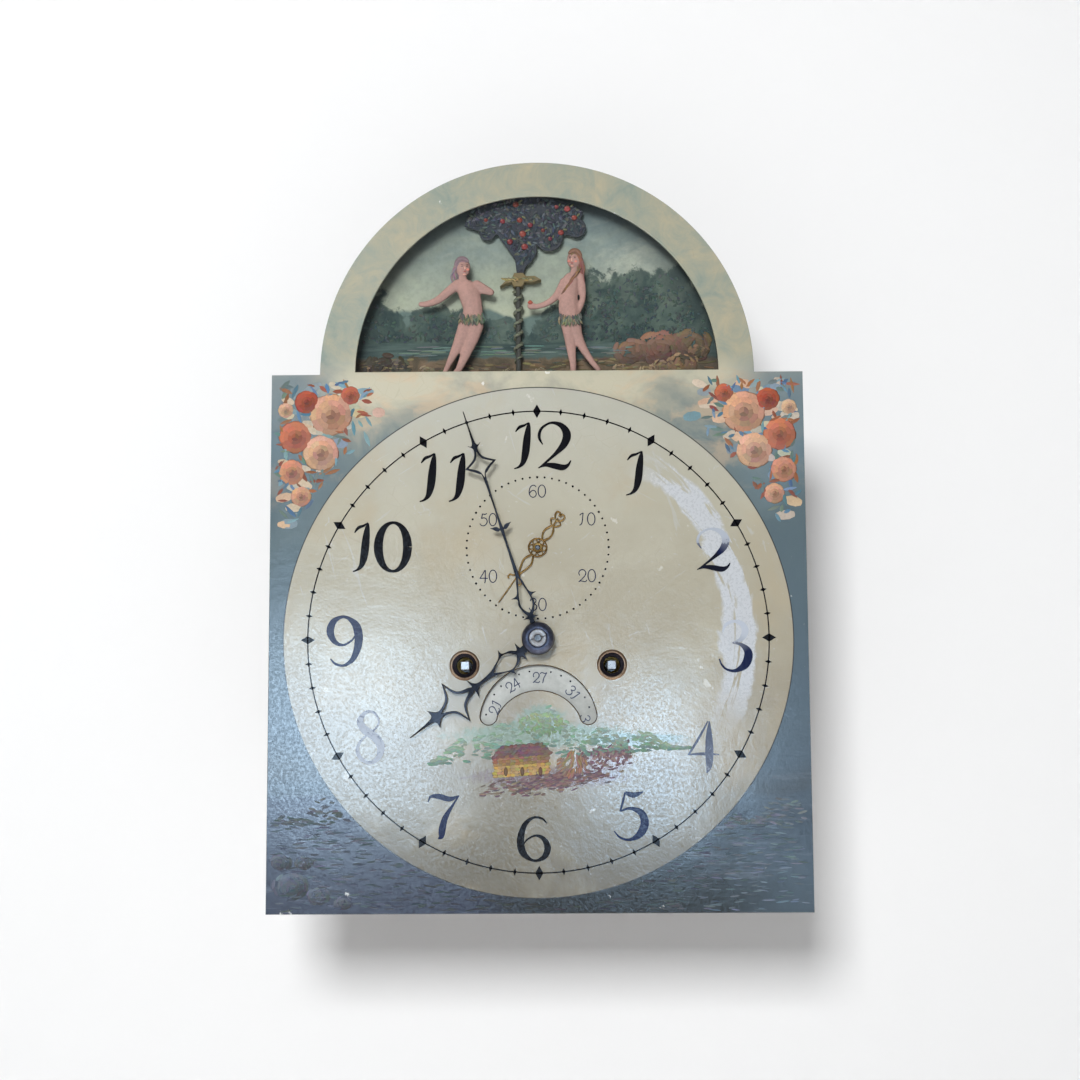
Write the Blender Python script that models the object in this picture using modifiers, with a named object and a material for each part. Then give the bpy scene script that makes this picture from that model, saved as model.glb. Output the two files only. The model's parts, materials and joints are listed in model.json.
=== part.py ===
# Longcase clock dial with hands, date, seconds and a rocking arch scene, on its two-train movement.
# X runs right, Y runs back and Z runs up, in metres. The dial faces -Y.
# The origin is the middle of the seatboard's underside.

import math

import bmesh
import bpy

MM = 0.001

# Clearances
SEAT_GAP = 0.3 * MM
RUN_GAP = 0.3 * MM
SIDE_AIR = 1.0 * MM
WELD_DISTANCE = 0.001 * MM

# Dial sheet
DIAL_SIDE = 330 * MM
DIAL_THICKNESS = 2 * MM
ARCH_RADIUS = 135 * MM
ARCH_BORDER = 22 * MM
OPENING_SILL = 1.5 * MM
WINDING_X = 45 * MM
WINDING_DROP = 16 * MM
WINDING_HOLE_RADIUS = 6 * MM
SECONDS_RISE = 56 * MM
SECONDS_HOLE_RADIUS = 3 * MM
DIAL_STANDOFF = 40 * MM
DIAL_FOOT_X = 70 * MM
DIAL_FOOT_LOW = 50 * MM
DIAL_FOOT_HIGH = 75 * MM
DIAL_FOOT_RADIUS = 3.5 * MM
DIAL_FOOT_COLLAR = 6 * MM
DIAL_FOOT_COLLAR_LENGTH = 3 * MM

# Date work: a numbered disc behind a crescent opening
DATE_DROP = 52 * MM
DATE_OPENING_RADIUS = 35.8 * MM
DATE_INNER_RADIUS = 28.3 * MM
DATE_INNER_DROP = 7.5 * MM
DATE_END_RISE = 5 * MM
DATE_DISC_MARGIN = 2.2 * MM
DATE_DISC_THICKNESS = 1 * MM
DATE_DISC_AIR = 0.6 * MM
DATE_TEETH = 62
DATE_TOOTH_HEIGHT = 1.6 * MM
DATE_TOOTH_LEAN = 0.25
DATE_POST_RADIUS = 3 * MM
DATE_POST_HEAD = 5 * MM
DATE_POST_HEAD_LENGTH = 1.5 * MM
DATE_FINGER_WIDTH = 2.4 * MM

# Hands
SECONDS_HAND_AIR = 1 * MM
SECONDS_HAND_THICKNESS = 0.8 * MM
HOUR_HAND_AIR = 1.5 * MM
HOUR_HAND_THICKNESS = 1.2 * MM
MINUTE_HAND_AIR = 3 * MM
MINUTE_HAND_THICKNESS = 1.2 * MM
HOUR_HAND_LENGTH = 98.5 * MM
MINUTE_HAND_LENGTH = 147 * MM
SECONDS_HAND_LENGTH = 42 * MM
SECONDS_TAIL_LENGTH = 26 * MM
MINUTE_HUB_RADIUS = 7 * MM
HOUR_HUB_RADIUS = 10 * MM
SECONDS_HUB_RADIUS = 6 * MM
HOUR_HAND_TURN = math.radians(232.5)
MINUTE_HAND_TURN = math.radians(-18)
SECONDS_HAND_TURN = math.radians(215.5)
COLLET_RADIUS = 10 * MM
COLLET_RIM = 5.2 * MM
COLLET_LENGTH = 4 * MM
CENTRE_END_LENGTH = 1.2 * MM

# Frame of the movement
PLATE_THICKNESS = 3 * MM
PLATE_SIDE_MARGIN = 2 * MM
PLATE_FOOT_MARGIN = 5 * MM
PLATE_TOP_MARGIN = 11 * MM
PILLAR_SIDE_INSET = 7 * MM
PILLAR_EDGE_INSET = 10 * MM
PILLAR_RADIUS = 4.2 * MM
PILLAR_KNOP_RADIUS = 6.2 * MM
PILLAR_KNOP_LENGTH = 12 * MM
PILLAR_END_LENGTH = 6 * MM
PILLAR_TENON_RADIUS = 3 * MM
SEATBOARD_WIDTH = 290 * MM
SEATBOARD_DEPTH = 130 * MM
SEATBOARD_THICKNESS = 22 * MM
SEATBOARD_NOTCH_WIDTH = 40 * MM
SEATBOARD_NOTCH_DEPTH = 24 * MM
LINE_SLOT_LENGTH = 40 * MM
LINE_SLOT_WIDTH = 10 * MM
SEAT_BOLT_RADIUS = 3 * MM
SEAT_NUT_RADIUS = 7 * MM
SEAT_NUT_THICKNESS = 5 * MM
SEAT_BOLT_TAIL = 3 * MM

# Depth of each piece in the train, from the front plate's inner face
BARREL_FRONT_AIR = 4 * MM
BARREL_LENGTH = 38 * MM
RATCHET_THICKNESS = 2 * MM
GREAT_WHEEL_AIR = 1 * MM
GREAT_WHEEL_THICKNESS = 3 * MM
COUNT_WHEEL_THICKNESS = 2 * MM
PIN_WHEEL_AIR = 3 * MM
CENTRE_WHEEL_AIR = 6 * MM
WHEEL_THICKNESS = 2 * MM
WARNING_WHEEL_THICKNESS = 1.5 * MM
HAMMER_PIN_LENGTH = 6 * MM
BACK_AIR = 3 * MM
PINION_OVERLAP = 2 * MM
THIRD_WHEEL_DEPTH = 22 * MM
ESCAPE_WHEEL_DEPTH = 40 * MM
HOOP_WHEEL_DEPTH = 36 * MM
WARNING_WHEEL_DEPTH = 44 * MM
FLY_DEPTH = 4 * MM
FLY_BLADE_LENGTH = 28 * MM
FLY_BLADE_THICKNESS = 1 * MM

# Arbor places on the plates, right of and above the centre arbor
THIRD_PLACE = (9.4 * MM, 30.9 * MM)
ANCHOR_RISE = 28 * MM
PIN_PLACE = (-51 * MM, 17.9 * MM)
HOOP_PLACE = (-39.2 * MM, 38.3 * MM)
WARNING_PLACE = (-56.9 * MM, 48.6 * MM)
FLY_PLACE = (-48.8 * MM, 62.6 * MM)
HAMMER_PLACE = (-74 * MM, 34 * MM)
LIFTING_PLACE = (-80 * MM, 4 * MM)
MINUTE_WHEEL_PLACE = (-12.3 * MM, -33.8 * MM)

# Tooth counts
GOING_GREAT_TEETH = 96
CENTRE_LEAVES = 8
CENTRE_TEETH = 60
THIRD_LEAVES = 8
THIRD_TEETH = 56
ESCAPE_LEAVES = 7
ESCAPE_TEETH = 30
STRIKE_GREAT_TEETH = 78
PIN_LEAVES = 8
PIN_TEETH = 56
HOOP_LEAVES = 7
HOOP_TEETH = 56
WARNING_LEAVES = 7
WARNING_TEETH = 48
FLY_LEAVES = 6
CANNON_TEETH = 40
MINUTE_WHEEL_TEETH = 40
MINUTE_LEAVES = 6
HOUR_TEETH = 72
HAMMER_PINS = 8
RATCHET_TEETH = 24

# Tooth shape, in modules and in shares of the pitch
TOOTH_RISE = 1.0
TOOTH_FALL = 1.0
LEAF_RISE = 0.55
LEAF_FALL = 1.4
LEAF_FOOT = 0.13
LEAF_TIP = 0.05

# Wheels, barrels and arbors
GREAT_ARBOR_RADIUS = 5 * MM
GREAT_PIVOT_RADIUS = 3.5 * MM
WINDING_SQUARE = 5.2 * MM
WINDING_SQUARE_LENGTH = 16 * MM
WINDING_SETBACK = 6 * MM
BARREL_RADIUS = 23 * MM
BARREL_FLANGE_RADIUS = 25 * MM
BARREL_FLANGE_LENGTH = 2 * MM
RATCHET_RADIUS = 21.5 * MM
RATCHET_TOOTH_HEIGHT = 2.2 * MM
RATCHET_LEAN = 0.1
CLICK_RADIUS = 27 * MM
CLICK_LENGTH = 13 * MM
CLICK_WIDTH = 5 * MM
CLICK_NOSE_AIR = 0.7 * MM
COUNT_WHEEL_RADIUS = 28 * MM
COUNT_NOTCH_DEPTH = 3 * MM
COUNT_NOTCH_SHARE = 0.2
HOURS_STRUCK = 12
HAMMER_PIN_INSET = 2 * MM
HAMMER_PIN_RADIUS = 1 * MM
WHEEL_RIM = 3.5 * MM
WHEEL_HUB_RADIUS = 6 * MM
WHEEL_ARM_WIDTH = 3 * MM
WHEEL_ARMS = 4
PIVOT_RADIUS = 0.7 * MM
ARBOR_RELIEF = 0.1 * MM
CENTRE_EXTENSION_RADIUS = 2.2 * MM
SECONDS_ARBOR_RADIUS = 1.4 * MM
ESCAPE_RADIUS = 20 * MM
ESCAPE_TOOTH_HEIGHT = 4.5 * MM
ESCAPE_ROOT_START = 0.25
ESCAPE_ROOT_END = 0.75
FLY_RADIUS = 13 * MM

# Escapement and what the anchor carries
ANCHOR_ARBOR_RADIUS = 2 * MM
PALLET_THICKNESS = 4 * MM
PALLET_SPAN = 14.8 * MM
PALLET_AIR = 1.4 * MM
PALLET_ARM = 3.6 * MM
PALLET_HUB = 6 * MM
ANCHOR_PLATE_HOLE = 6 * MM
CRUTCH_LENGTH = 120 * MM
CRUTCH_WIDTH = 5 * MM
CRUTCH_THICKNESS = 1.6 * MM
CRUTCH_AIR = 3 * MM
CRUTCH_FORK_LENGTH = 13 * MM
CRUTCH_FORK_GAP = 4 * MM
COCK_WIDTH = 48 * MM
COCK_HEIGHT = 11 * MM
COCK_DEPTH = 13 * MM
COCK_WALL = 3 * MM
COCK_LEG = 9 * MM

# Motion work in front of the front plate
MOTION_AIR = 3 * MM
BRIDGE_AIR = 1.5 * MM
BRIDGE_THICKNESS = 1.5 * MM
BRIDGE_SPAN = 48 * MM
BRIDGE_HEIGHT = 12 * MM
BRIDGE_FOOT_RADIUS = 3.5 * MM
BRIDGE_PIPE_LENGTH = 16 * MM
HOUR_WHEEL_AIR = 2 * MM
PIPE_WALL = 1.3 * MM
MINUTE_STUD_RADIUS = 0.7 * MM
MINUTE_STUD_HEAD = 2.2 * MM
MINUTE_PINION_LENGTH = 7.5 * MM

# Bell and hammer
BELL_X = -12 * MM
BELL_Y = 8 * MM
BELL_RIM_RADIUS = 50 * MM
BELL_HEIGHT = 40 * MM
BELL_WALL = 2.4 * MM
BELL_AIR = 8 * MM
BELL_HOLE_RADIUS = 3.2 * MM
BELL_STAND_RADIUS = 2.5 * MM
BELL_STAND_X = -40 * MM
BELL_STAND_DROP = 9 * MM
BELL_NUT_RADIUS = 5 * MM
BELL_NUT_LENGTH = 4 * MM
BELL_CURVE = [(1, 0), (0.94, 0.12), (0.86, 0.35), (0.78, 0.62), (0.62, 0.84), (0.34, 0.97)]
HAMMER_ARBOR_RADIUS = 2 * MM
HAMMER_SHAFT_RADIUS = 1.5 * MM
HAMMER_HEAD_RADIUS = 5 * MM
HAMMER_HEAD_LENGTH = 17 * MM
HAMMER_HEAD_AIR = 1 * MM
HAMMER_TAIL_AIR = 1 * MM
HAMMER_TAIL_WIDTH = 3 * MM
LIFTING_ARBOR_RADIUS = 2 * MM
LIFTING_ARM_WIDTH = 5 * MM
LIFTING_ARM_THICKNESS = 1.4 * MM
LIFTING_ARM_AIR = 0.6 * MM
LIFTING_ELBOW_RADIUS = 3 * MM
LIFTING_DETENT_AIR = 1.5 * MM
LIFTING_ELBOW = (-62 * MM, -36 * MM)
LIFTING_END = (-25 * MM, -38 * MM)

# Arch scene behind the opening
FIGURE_AIR = 3.5 * MM
SHEET_THICKNESS = 1.2 * MM
TREE_AIR = 4 * MM
BACKDROP_AIR = 4.3 * MM
BACKDROP_LAP = 16 * MM
BACKDROP_APRON = 14 * MM
BACKDROP_POST_RADIUS = 3 * MM
BACKDROP_POST_ANGLE = math.radians(32)
PIVOT_DROP = 5 * MM
MAN_PIVOT_X = -52 * MM
WOMAN_PIVOT_X = 31 * MM
ROCKER_ARBOR_RADIUS = 1.5 * MM
ROCKER_COLLAR_RADIUS = 3 * MM
CRANK_LENGTH = 25 * MM
CRANK_WIDTH = 5 * MM
CRANK_AIR = 3 * MM
CRANK_PIN_RADIUS = 1 * MM
ROCKER_WEIGHT_DROP = 13 * MM
ROCKER_WEIGHT_RADIUS = 8 * MM
ROCKER_BAR_HEIGHT = 8 * MM
ROCKER_BAR_AIR = 1.5 * MM
ROCKER_BAR_END = 6 * MM
ROCKER_SLOT_RISE = 0.8 * MM
ANCHOR_LEVER_WIDTH = 5 * MM
TREE_X = -11.5 * MM
TRUNK_RADIUS = 1.7 * MM
TRUNK_TOP = 59.5 * MM
TRUNK_FOOT_DROP = 4 * MM
TREE_STUD_RADIUS = 1.2 * MM
SERPENT_RADIUS = 0.7 * MM
SERPENT_TURNS = 6
SERPENT_FOOT = 8 * MM
SERPENT_TOP = 55 * MM
SERPENT_POINTS_PER_TURN = 8

# Outlines in millimetres. The figures and tree are measured from the arch's centre,
# X right and Z up. The hands list half of their outline, width then distance from the hub.
MAN_LEFT_SIDE = [(-59.6, 1.7), (-58.7, 4.8), (-56.4, 9.4), (-54.7, 15.8), (-51.7, 21.1), (-48.8, 25.7),
                 (-48.5, 32.1), (-47.4, 38.5), (-46.5, 44.4), (-49.4, 51.4), (-51.4, 53.7),
                 (-55.8, 49), (-61.6, 45.5), (-68, 43.5), (-74.5, 43.8), (-75.9, 46.1), (-73.9, 47.6),
                 (-68.6, 48.2), (-61.6, 51.4), (-57, 56.6), (-51.7, 61.3)]
MAN_RIGHT_SIDE = [(-42.4, 62.4), (-34.8, 60.1), (-27.9, 56), (-25.5, 52.5), (-27.3, 50.8), (-33.7, 50.8),
                  (-33.1, 44.4), (-32.6, 37.4), (-33.1, 31), (-35.4, 25.1), (-38.9, 19.9), (-40.7, 14.7),
                  (-44.7, 6.5), (-46.2, 1)]
MAN_LEG_GAP = [(-52.6, 0.8), (-49.9, 8.3), (-48.7, 13.6), (-52.3, 9.4), (-54.7, 5.9), (-55.6, 0.8)]
MAN_HEAD = (-46.6, 68.6, 5.9, 6.8)
WOMAN_LEFT_SIDE = [(20.4, 1.4), (20, 7.5), (18.2, 16.3), (17.3, 24.3), (13.8, 33.1), (11.6, 42),
                   (12, 47.3), (4.9, 42.9), (-1.3, 40.7), (-5.7, 41.6), (-7.5, 44.7), (-3.9, 47.5),
                   (-0.4, 46.2), (6.7, 47.4), (12, 51.3), (15.1, 56.2), (15.6, 61.5), (20, 66.8)]
WOMAN_RIGHT_SIDE = [(28, 69), (29.7, 63.3), (31.1, 54.4), (31.1, 47.3), (30.6, 42), (31.5, 37.6),
                    (28, 36.7), (27.5, 31.4), (28, 24.3), (32.4, 17.2), (36.8, 10.1), (41.2, 3.9), (40.8, 1.4)]
WOMAN_LEG_GAP = [(25.6, 0.8), (25.2, 10.1), (25.1, 16.6), (28, 13.2), (33.3, 7), (37.3, 0.8)]
WOMAN_HEAD = (24.2, 73.6, 5.6, 6.6)
FIGURE_TAB_DEPTH = 10
FIGURE_TAB_HALF_WIDTH = 5
HEAD_NECK_ANGLE = math.radians(45)
CROWN_LEFT_SIDE = [(-12.2, 64.6), (-13.4, 75.3), (-16.9, 80.8), (-21, 86.4), (-24.5, 91.9)]
CROWN_TOP = [(-45.6, 97.4), (-41, 108), (-24, 114), (0, 116), (20, 112), (30, 106)]
CROWN_LOBES = [(-31, 93.2, 5.2, 170, 340), (25.3, 96, 6.4, 60, -130), (8, 89.8, 9, 10, -150)]
CROWN_RIGHT_SIDE = [(0.4, 79.5), (-3.1, 73.9), (-6.5, 71.2), (-8.6, 64.6)]
CROWN_STUDS = [(-30, 100), (10, 95)]
CAPITAL_OUTLINE = [(-23, 57.6), (-18, 62.5), (-15.5, 62.8), (-14, 66.2), (-8.5, 66.2), (-6.5, 64.2),
                   (-1, 64.2), (3, 61.8), (-2, 60.2), (-7.5, 60.4), (-8.8, 57.5), (-14.6, 57.5),
                   (-15.6, 60.4), (-19, 59.6)]
MINUTE_HAND_HALF = [(1.6, 10), (1.6, 12.6), (5, 13.2), (1.9, 14.6), (3.2, 17), (5, 22), (4.6, 26), (8, 27.4),
                    (4, 29), (2.2, 36), (1.15, 42), (1.05, 69), (6, 72.4), (1, 71.6), (0.9, 102), (3, 107),
                    (10, 112), (3.2, 116.5), (1.3, 122), (4.2, 125.4), (1, 126.2)]
MINUTE_HAND_LOOP = [(2, 18.6), (3.3, 22), (2.8, 27), (1, 35)]
MINUTE_HAND_LOOP_ENDS = (17, 38.5)
MINUTE_HAND_DIAMOND = [(1.5, 108.6), (6, 112), (1.7, 115.2)]
MINUTE_HAND_DIAMOND_ENDS = (104.8, 119.6)
HOUR_HAND_HALF = [(2.3, 12.2), (6.4, 13), (2.3, 14.8), (4.6, 18), (6.2, 23), (9.4, 23.6), (5.4, 26.4),
                  (2.9, 32), (1.8, 36), (1.6, 46), (7, 50.2), (1.8, 49.6), (2.4, 52), (5.2, 59),
                  (14.5, 63), (5.2, 67.4), (2.2, 75), (6.4, 80), (1.4, 81.4)]
HOUR_HAND_LOOP = [(2.7, 19.5), (4, 23.5), (2.8, 28)]
HOUR_HAND_LOOP_ENDS = (17.4, 32.6)
HOUR_HAND_DIAMOND = [(3.2, 60.8), (9.2, 63), (3.2, 65.2)]
HOUR_HAND_DIAMOND_ENDS = (54, 72)
SECONDS_HAND_HALF = [(1, 7), (3, 13.5), (1, 20), (3.6, 24), (0.9, 25)]
SECONDS_TAIL_HALF = [(1, 7), (3, 11.5), (1, 16), (3, 19), (1.2, 21), (2.6, 24)]
HAND_TIP_HALF_WIDTH = 0.3

# Rounds are many-sided
FINE_SIDES = 48
ROUND_SIDES = 16
PIVOT_SIDES = 8
BARREL_SIDES = 16
BELL_SIDES = 22
PIN_SIDES = 5
HEX_SIDES = 6
END_POINTS = 6
HEAD_POINTS = 12
LOBE_POINTS = 7
ARM_INNER_POINTS = 3
ARM_OUTER_POINTS = 5

FINISHES = {
    "brass": ((0.60, 0.43, 0.18, 1), 0.35, 1.0),
    "steel": ((0.42, 0.42, 0.44, 1), 0.35, 1.0),
    "blued_steel": ((0.05, 0.06, 0.10, 1), 0.35, 1.0),
    "gilt": ((0.72, 0.50, 0.20, 1), 0.3, 1.0),
    "bell_metal": ((0.62, 0.50, 0.30, 1), 0.3, 1.0),
    "dial_paint": ((0.72, 0.68, 0.54, 1), 0.4, 0.0),
    "landscape_paint": ((0.30, 0.36, 0.30, 1), 0.5, 0.0),
    "flesh_paint": ((0.66, 0.38, 0.30, 1), 0.5, 0.0),
    "tree_paint": ((0.06, 0.08, 0.11, 1), 0.5, 0.0),
    "leaf_paint": ((0.30, 0.27, 0.12, 1), 0.5, 0.0),
    "serpent_paint": ((0.20, 0.24, 0.22, 1), 0.5, 0.0),
    "white_paint": ((0.75, 0.74, 0.68, 1), 0.45, 0.0),
    "oak": ((0.23, 0.12, 0.05, 1), 0.6, 0.0),
}


# Worked-out places

def span(place, other=(0.0, 0.0)):
    return math.hypot(place[0] - other[0], place[1] - other[1])


def module_of(distance, teeth, leaves):
    return 2 * distance / (teeth + leaves)


def pitch_radius(teeth, module):
    return teeth * module / 2


GOING_PLACE = (WINDING_X, -WINDING_DROP)
STRIKE_PLACE = (-WINDING_X, -WINDING_DROP)
CENTRE_PLACE = (0.0, 0.0)
ESCAPE_PLACE = (0.0, SECONDS_RISE)
ANCHOR_PLACE = (0.0, SECONDS_RISE + ANCHOR_RISE)
DATE_PLACE = (0.0, -DATE_DROP)

GOING_MODULE = module_of(span(GOING_PLACE), GOING_GREAT_TEETH, CENTRE_LEAVES)
CENTRE_MODULE = module_of(span(THIRD_PLACE), CENTRE_TEETH, THIRD_LEAVES)
THIRD_MODULE = module_of(span(THIRD_PLACE, ESCAPE_PLACE), THIRD_TEETH, ESCAPE_LEAVES)
STRIKE_MODULE = module_of(span(STRIKE_PLACE, PIN_PLACE), STRIKE_GREAT_TEETH, PIN_LEAVES)
PIN_MODULE = module_of(span(PIN_PLACE, HOOP_PLACE), PIN_TEETH, HOOP_LEAVES)
HOOP_MODULE = module_of(span(HOOP_PLACE, WARNING_PLACE), HOOP_TEETH, WARNING_LEAVES)
WARNING_MODULE = module_of(span(WARNING_PLACE, FLY_PLACE), WARNING_TEETH, FLY_LEAVES)
CANNON_MODULE = module_of(span(MINUTE_WHEEL_PLACE), CANNON_TEETH, MINUTE_WHEEL_TEETH)
HOUR_MODULE = module_of(span(MINUTE_WHEEL_PLACE), HOUR_TEETH, MINUTE_LEAVES)

GREAT_TIP_RADIUS = pitch_radius(GOING_GREAT_TEETH, GOING_MODULE) + TOOTH_RISE * GOING_MODULE
PLATE_HALF_WIDTH = WINDING_X + GREAT_TIP_RADIUS + PLATE_SIDE_MARGIN
PLATE_BELOW = WINDING_DROP + GREAT_TIP_RADIUS + PLATE_FOOT_MARGIN
PLATE_ABOVE = ANCHOR_PLACE[1] + PLATE_TOP_MARGIN
CENTRE_Z = SEATBOARD_THICKNESS + SEAT_GAP + PLATE_BELOW
PILLAR_X = PLATE_HALF_WIDTH - PILLAR_SIDE_INSET
PILLAR_LOW = -PLATE_BELOW + PILLAR_EDGE_INSET
PILLAR_HIGH = PLATE_ABOVE - PILLAR_EDGE_INSET

GREAT_FRONT_DEPTH = BARREL_FRONT_AIR + BARREL_LENGTH + RATCHET_THICKNESS + GREAT_WHEEL_AIR
GREAT_BACK_DEPTH = GREAT_FRONT_DEPTH + GREAT_WHEEL_THICKNESS
COUNT_BACK_DEPTH = GREAT_BACK_DEPTH + COUNT_WHEEL_THICKNESS
PIN_WHEEL_DEPTH = COUNT_BACK_DEPTH + PIN_WHEEL_AIR
CENTRE_WHEEL_DEPTH = COUNT_BACK_DEPTH + CENTRE_WHEEL_AIR
TRAIN_DEPTH = PIN_WHEEL_DEPTH + WHEEL_THICKNESS + HAMMER_PIN_LENGTH + BACK_AIR

FRONT_INNER = -TRAIN_DEPTH / 2
FRONT_OUTER = FRONT_INNER - PLATE_THICKNESS
BACK_INNER = TRAIN_DEPTH / 2
BACK_OUTER = BACK_INNER + PLATE_THICKNESS

DIAL_BACK = FRONT_OUTER - DIAL_STANDOFF
DIAL_FRONT = DIAL_BACK - DIAL_THICKNESS
SECONDS_HAND_FRONT = DIAL_FRONT - SECONDS_HAND_AIR - SECONDS_HAND_THICKNESS
HOUR_HAND_FRONT = SECONDS_HAND_FRONT - HOUR_HAND_AIR - HOUR_HAND_THICKNESS
MINUTE_HAND_FRONT = HOUR_HAND_FRONT - MINUTE_HAND_AIR - MINUTE_HAND_THICKNESS
COLLET_FRONT = MINUTE_HAND_FRONT - SEAT_GAP - COLLET_LENGTH
CENTRE_END = COLLET_FRONT - CENTRE_END_LENGTH

CANNON_BACK = FRONT_OUTER - MOTION_AIR
CANNON_FRONT = CANNON_BACK - WHEEL_THICKNESS
BRIDGE_BACK = CANNON_FRONT - BRIDGE_AIR
BRIDGE_FRONT = BRIDGE_BACK - BRIDGE_THICKNESS
HOUR_WHEEL_BACK = BRIDGE_FRONT - HOUR_WHEEL_AIR
HOUR_WHEEL_FRONT = HOUR_WHEEL_BACK - WHEEL_THICKNESS
CANNON_BORE = CENTRE_EXTENSION_RADIUS + RUN_GAP
CANNON_PIPE = CANNON_BORE + PIPE_WALL
BRIDGE_BORE = CANNON_PIPE + RUN_GAP
BRIDGE_PIPE = BRIDGE_BORE + PIPE_WALL
HOUR_BORE = BRIDGE_PIPE + RUN_GAP
HOUR_PIPE = HOUR_BORE + PIPE_WALL

ARCH_Z = DIAL_SIDE / 2
OPENING_RADIUS = ARCH_RADIUS - ARCH_BORDER
FIGURE_FRONT = DIAL_BACK + FIGURE_AIR
FIGURE_BACK = FIGURE_FRONT + SHEET_THICKNESS
TREE_FRONT = FIGURE_BACK + TREE_AIR
TREE_BACK = TREE_FRONT + SHEET_THICKNESS
BACKDROP_FRONT = TREE_BACK + BACKDROP_AIR
BACKDROP_BACK = BACKDROP_FRONT + SHEET_THICKNESS
CRANK_FRONT = BACKDROP_BACK + CRANK_AIR
CRANK_BACK = CRANK_FRONT + SHEET_THICKNESS
ROCKER_BAR_FRONT = CRANK_BACK + ROCKER_BAR_AIR
ROCKER_BAR_BACK = ROCKER_BAR_FRONT + SHEET_THICKNESS
ANCHOR_LEVER_FRONT = ROCKER_BAR_BACK + ROCKER_BAR_AIR
ANCHOR_LEVER_BACK = ANCHOR_LEVER_FRONT + SHEET_THICKNESS
ROCKER_Z = ARCH_Z - PIVOT_DROP
ROCKER_BAR_Z = ROCKER_Z - CRANK_LENGTH

HAMMER_PIN_RING = pitch_radius(PIN_TEETH, PIN_MODULE) - TOOTH_FALL * PIN_MODULE - HAMMER_PIN_INSET
HAMMER_TAIL_LENGTH = span(HAMMER_PLACE, PIN_PLACE) - HAMMER_PIN_RING - HAMMER_PIN_RADIUS - HAMMER_TAIL_AIR
BELL_RIM_Z = PLATE_ABOVE + BELL_AIR
BELL_TOP_Z = BELL_RIM_Z + BELL_HEIGHT


# Outline helpers, all in metres

def polar(radius, angle, x=0.0, z=0.0):
    return (x + radius * math.cos(angle), z + radius * math.sin(angle))


def arc(x, z, radius, start, end, count):
    return [polar(radius, start + (end - start) * i / (count - 1), x, z) for i in range(count)]


def circle(radius, sides, x=0.0, z=0.0):
    return [polar(radius, math.tau * i / sides, x, z) for i in range(sides)]


def oval(x, z, half_width, half_height, start, end, count):
    turns = [start + (end - start) * i / (count - 1) for i in range(count)]
    return [(x + half_width * math.cos(a), z + half_height * math.sin(a)) for a in turns]


def rectangle(left, right, low, high):
    return [(left, low), (right, low), (right, high), (left, high)]


def from_mm(points, x=0.0, z=0.0):
    return [(px * MM - x, pz * MM - z) for px, pz in points]


def strip(start, end, width):
    # A bar with square ends along the line between two points.
    length = span(end, start)
    across = ((start[1] - end[1]) / length * width / 2, (end[0] - start[0]) / length * width / 2)
    return [(start[0] - across[0], start[1] - across[1]), (end[0] - across[0], end[1] - across[1]),
            (end[0] + across[0], end[1] + across[1]), (start[0] + across[0], start[1] + across[1])]


def tip_radius(teeth, module):
    return pitch_radius(teeth, module) + TOOTH_RISE * module


def leaf_root(leaves, module):
    return pitch_radius(leaves, module) - LEAF_FALL * module


def wheel_outline(teeth, module, phase):
    # Pointed teeth, with the first tooth's tip at the phase angle.
    pitch = math.tau / teeth
    low = pitch_radius(teeth, module) - TOOTH_FALL * module
    high = tip_radius(teeth, module)
    points = []
    for k in range(teeth):
        points.append(polar(low, phase + (k - 0.5) * pitch))
        points.append(polar(high, phase + k * pitch))
    return points


def pinion_outline(leaves, module, phase):
    # Slim leaves, with the first leaf's middle at the phase angle.
    pitch = math.tau / leaves
    low = leaf_root(leaves, module)
    high = pitch_radius(leaves, module) + LEAF_RISE * module
    points = []
    for k in range(leaves):
        middle = phase + k * pitch
        points.append(polar(low, middle - LEAF_FOOT * pitch))
        points.append(polar(high, middle - LEAF_TIP * pitch))
        points.append(polar(high, middle + LEAF_TIP * pitch))
        points.append(polar(low, middle + LEAF_FOOT * pitch))
    return points


def meshed_phase(place, teeth, phase, other_place, other_teeth):
    # The phase that puts the other wheel's spaces where this wheel's teeth come.
    toward = math.atan2(other_place[1] - place[1], other_place[0] - place[0])
    pitch = math.tau / teeth
    share = (toward - phase) / pitch
    share -= math.floor(share)
    return toward + math.pi + (share - 0.5) * math.tau / other_teeth


def crossings(root_radius):
    # Openings between a wheel's arms.
    outer = root_radius - WHEEL_RIM
    windows = []
    for k in range(WHEEL_ARMS):
        middle = (k + 0.5) * math.tau / WHEEL_ARMS
        half_in = math.pi / WHEEL_ARMS - WHEEL_ARM_WIDTH / 2 / WHEEL_HUB_RADIUS
        half_out = math.pi / WHEEL_ARMS - WHEEL_ARM_WIDTH / 2 / outer
        window = arc(0, 0, WHEEL_HUB_RADIUS, middle - half_in, middle + half_in, ARM_INNER_POINTS)
        window += arc(0, 0, outer, middle + half_out, middle - half_out, ARM_OUTER_POINTS)
        windows.append(window)
    return windows


def hand_outline(hub_radius, half, length):
    # A hand pointing up, mirrored about its middle line, closed round its hub.
    right = [(w * MM, d * MM) for w, d in half] + [(HAND_TIP_HALF_WIDTH * MM, length)]
    neck = math.acos(right[0][0] / hub_radius)
    round_hub = arc(0, 0, hub_radius, math.pi - neck, math.tau + neck, ROUND_SIDES)
    return round_hub + right + [(-w, d) for w, d in reversed(right)]


def hand_window(half, ends):
    right = [(w * MM, d * MM) for w, d in half]
    left = [(-w, d) for w, d in reversed(right)]
    return [(0, ends[0] * MM)] + right + [(0, ends[1] * MM)] + left


# Object helpers

def clear_scene():
    for old in list(bpy.data.objects):
        bpy.data.objects.remove(old, do_unlink=True)


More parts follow.
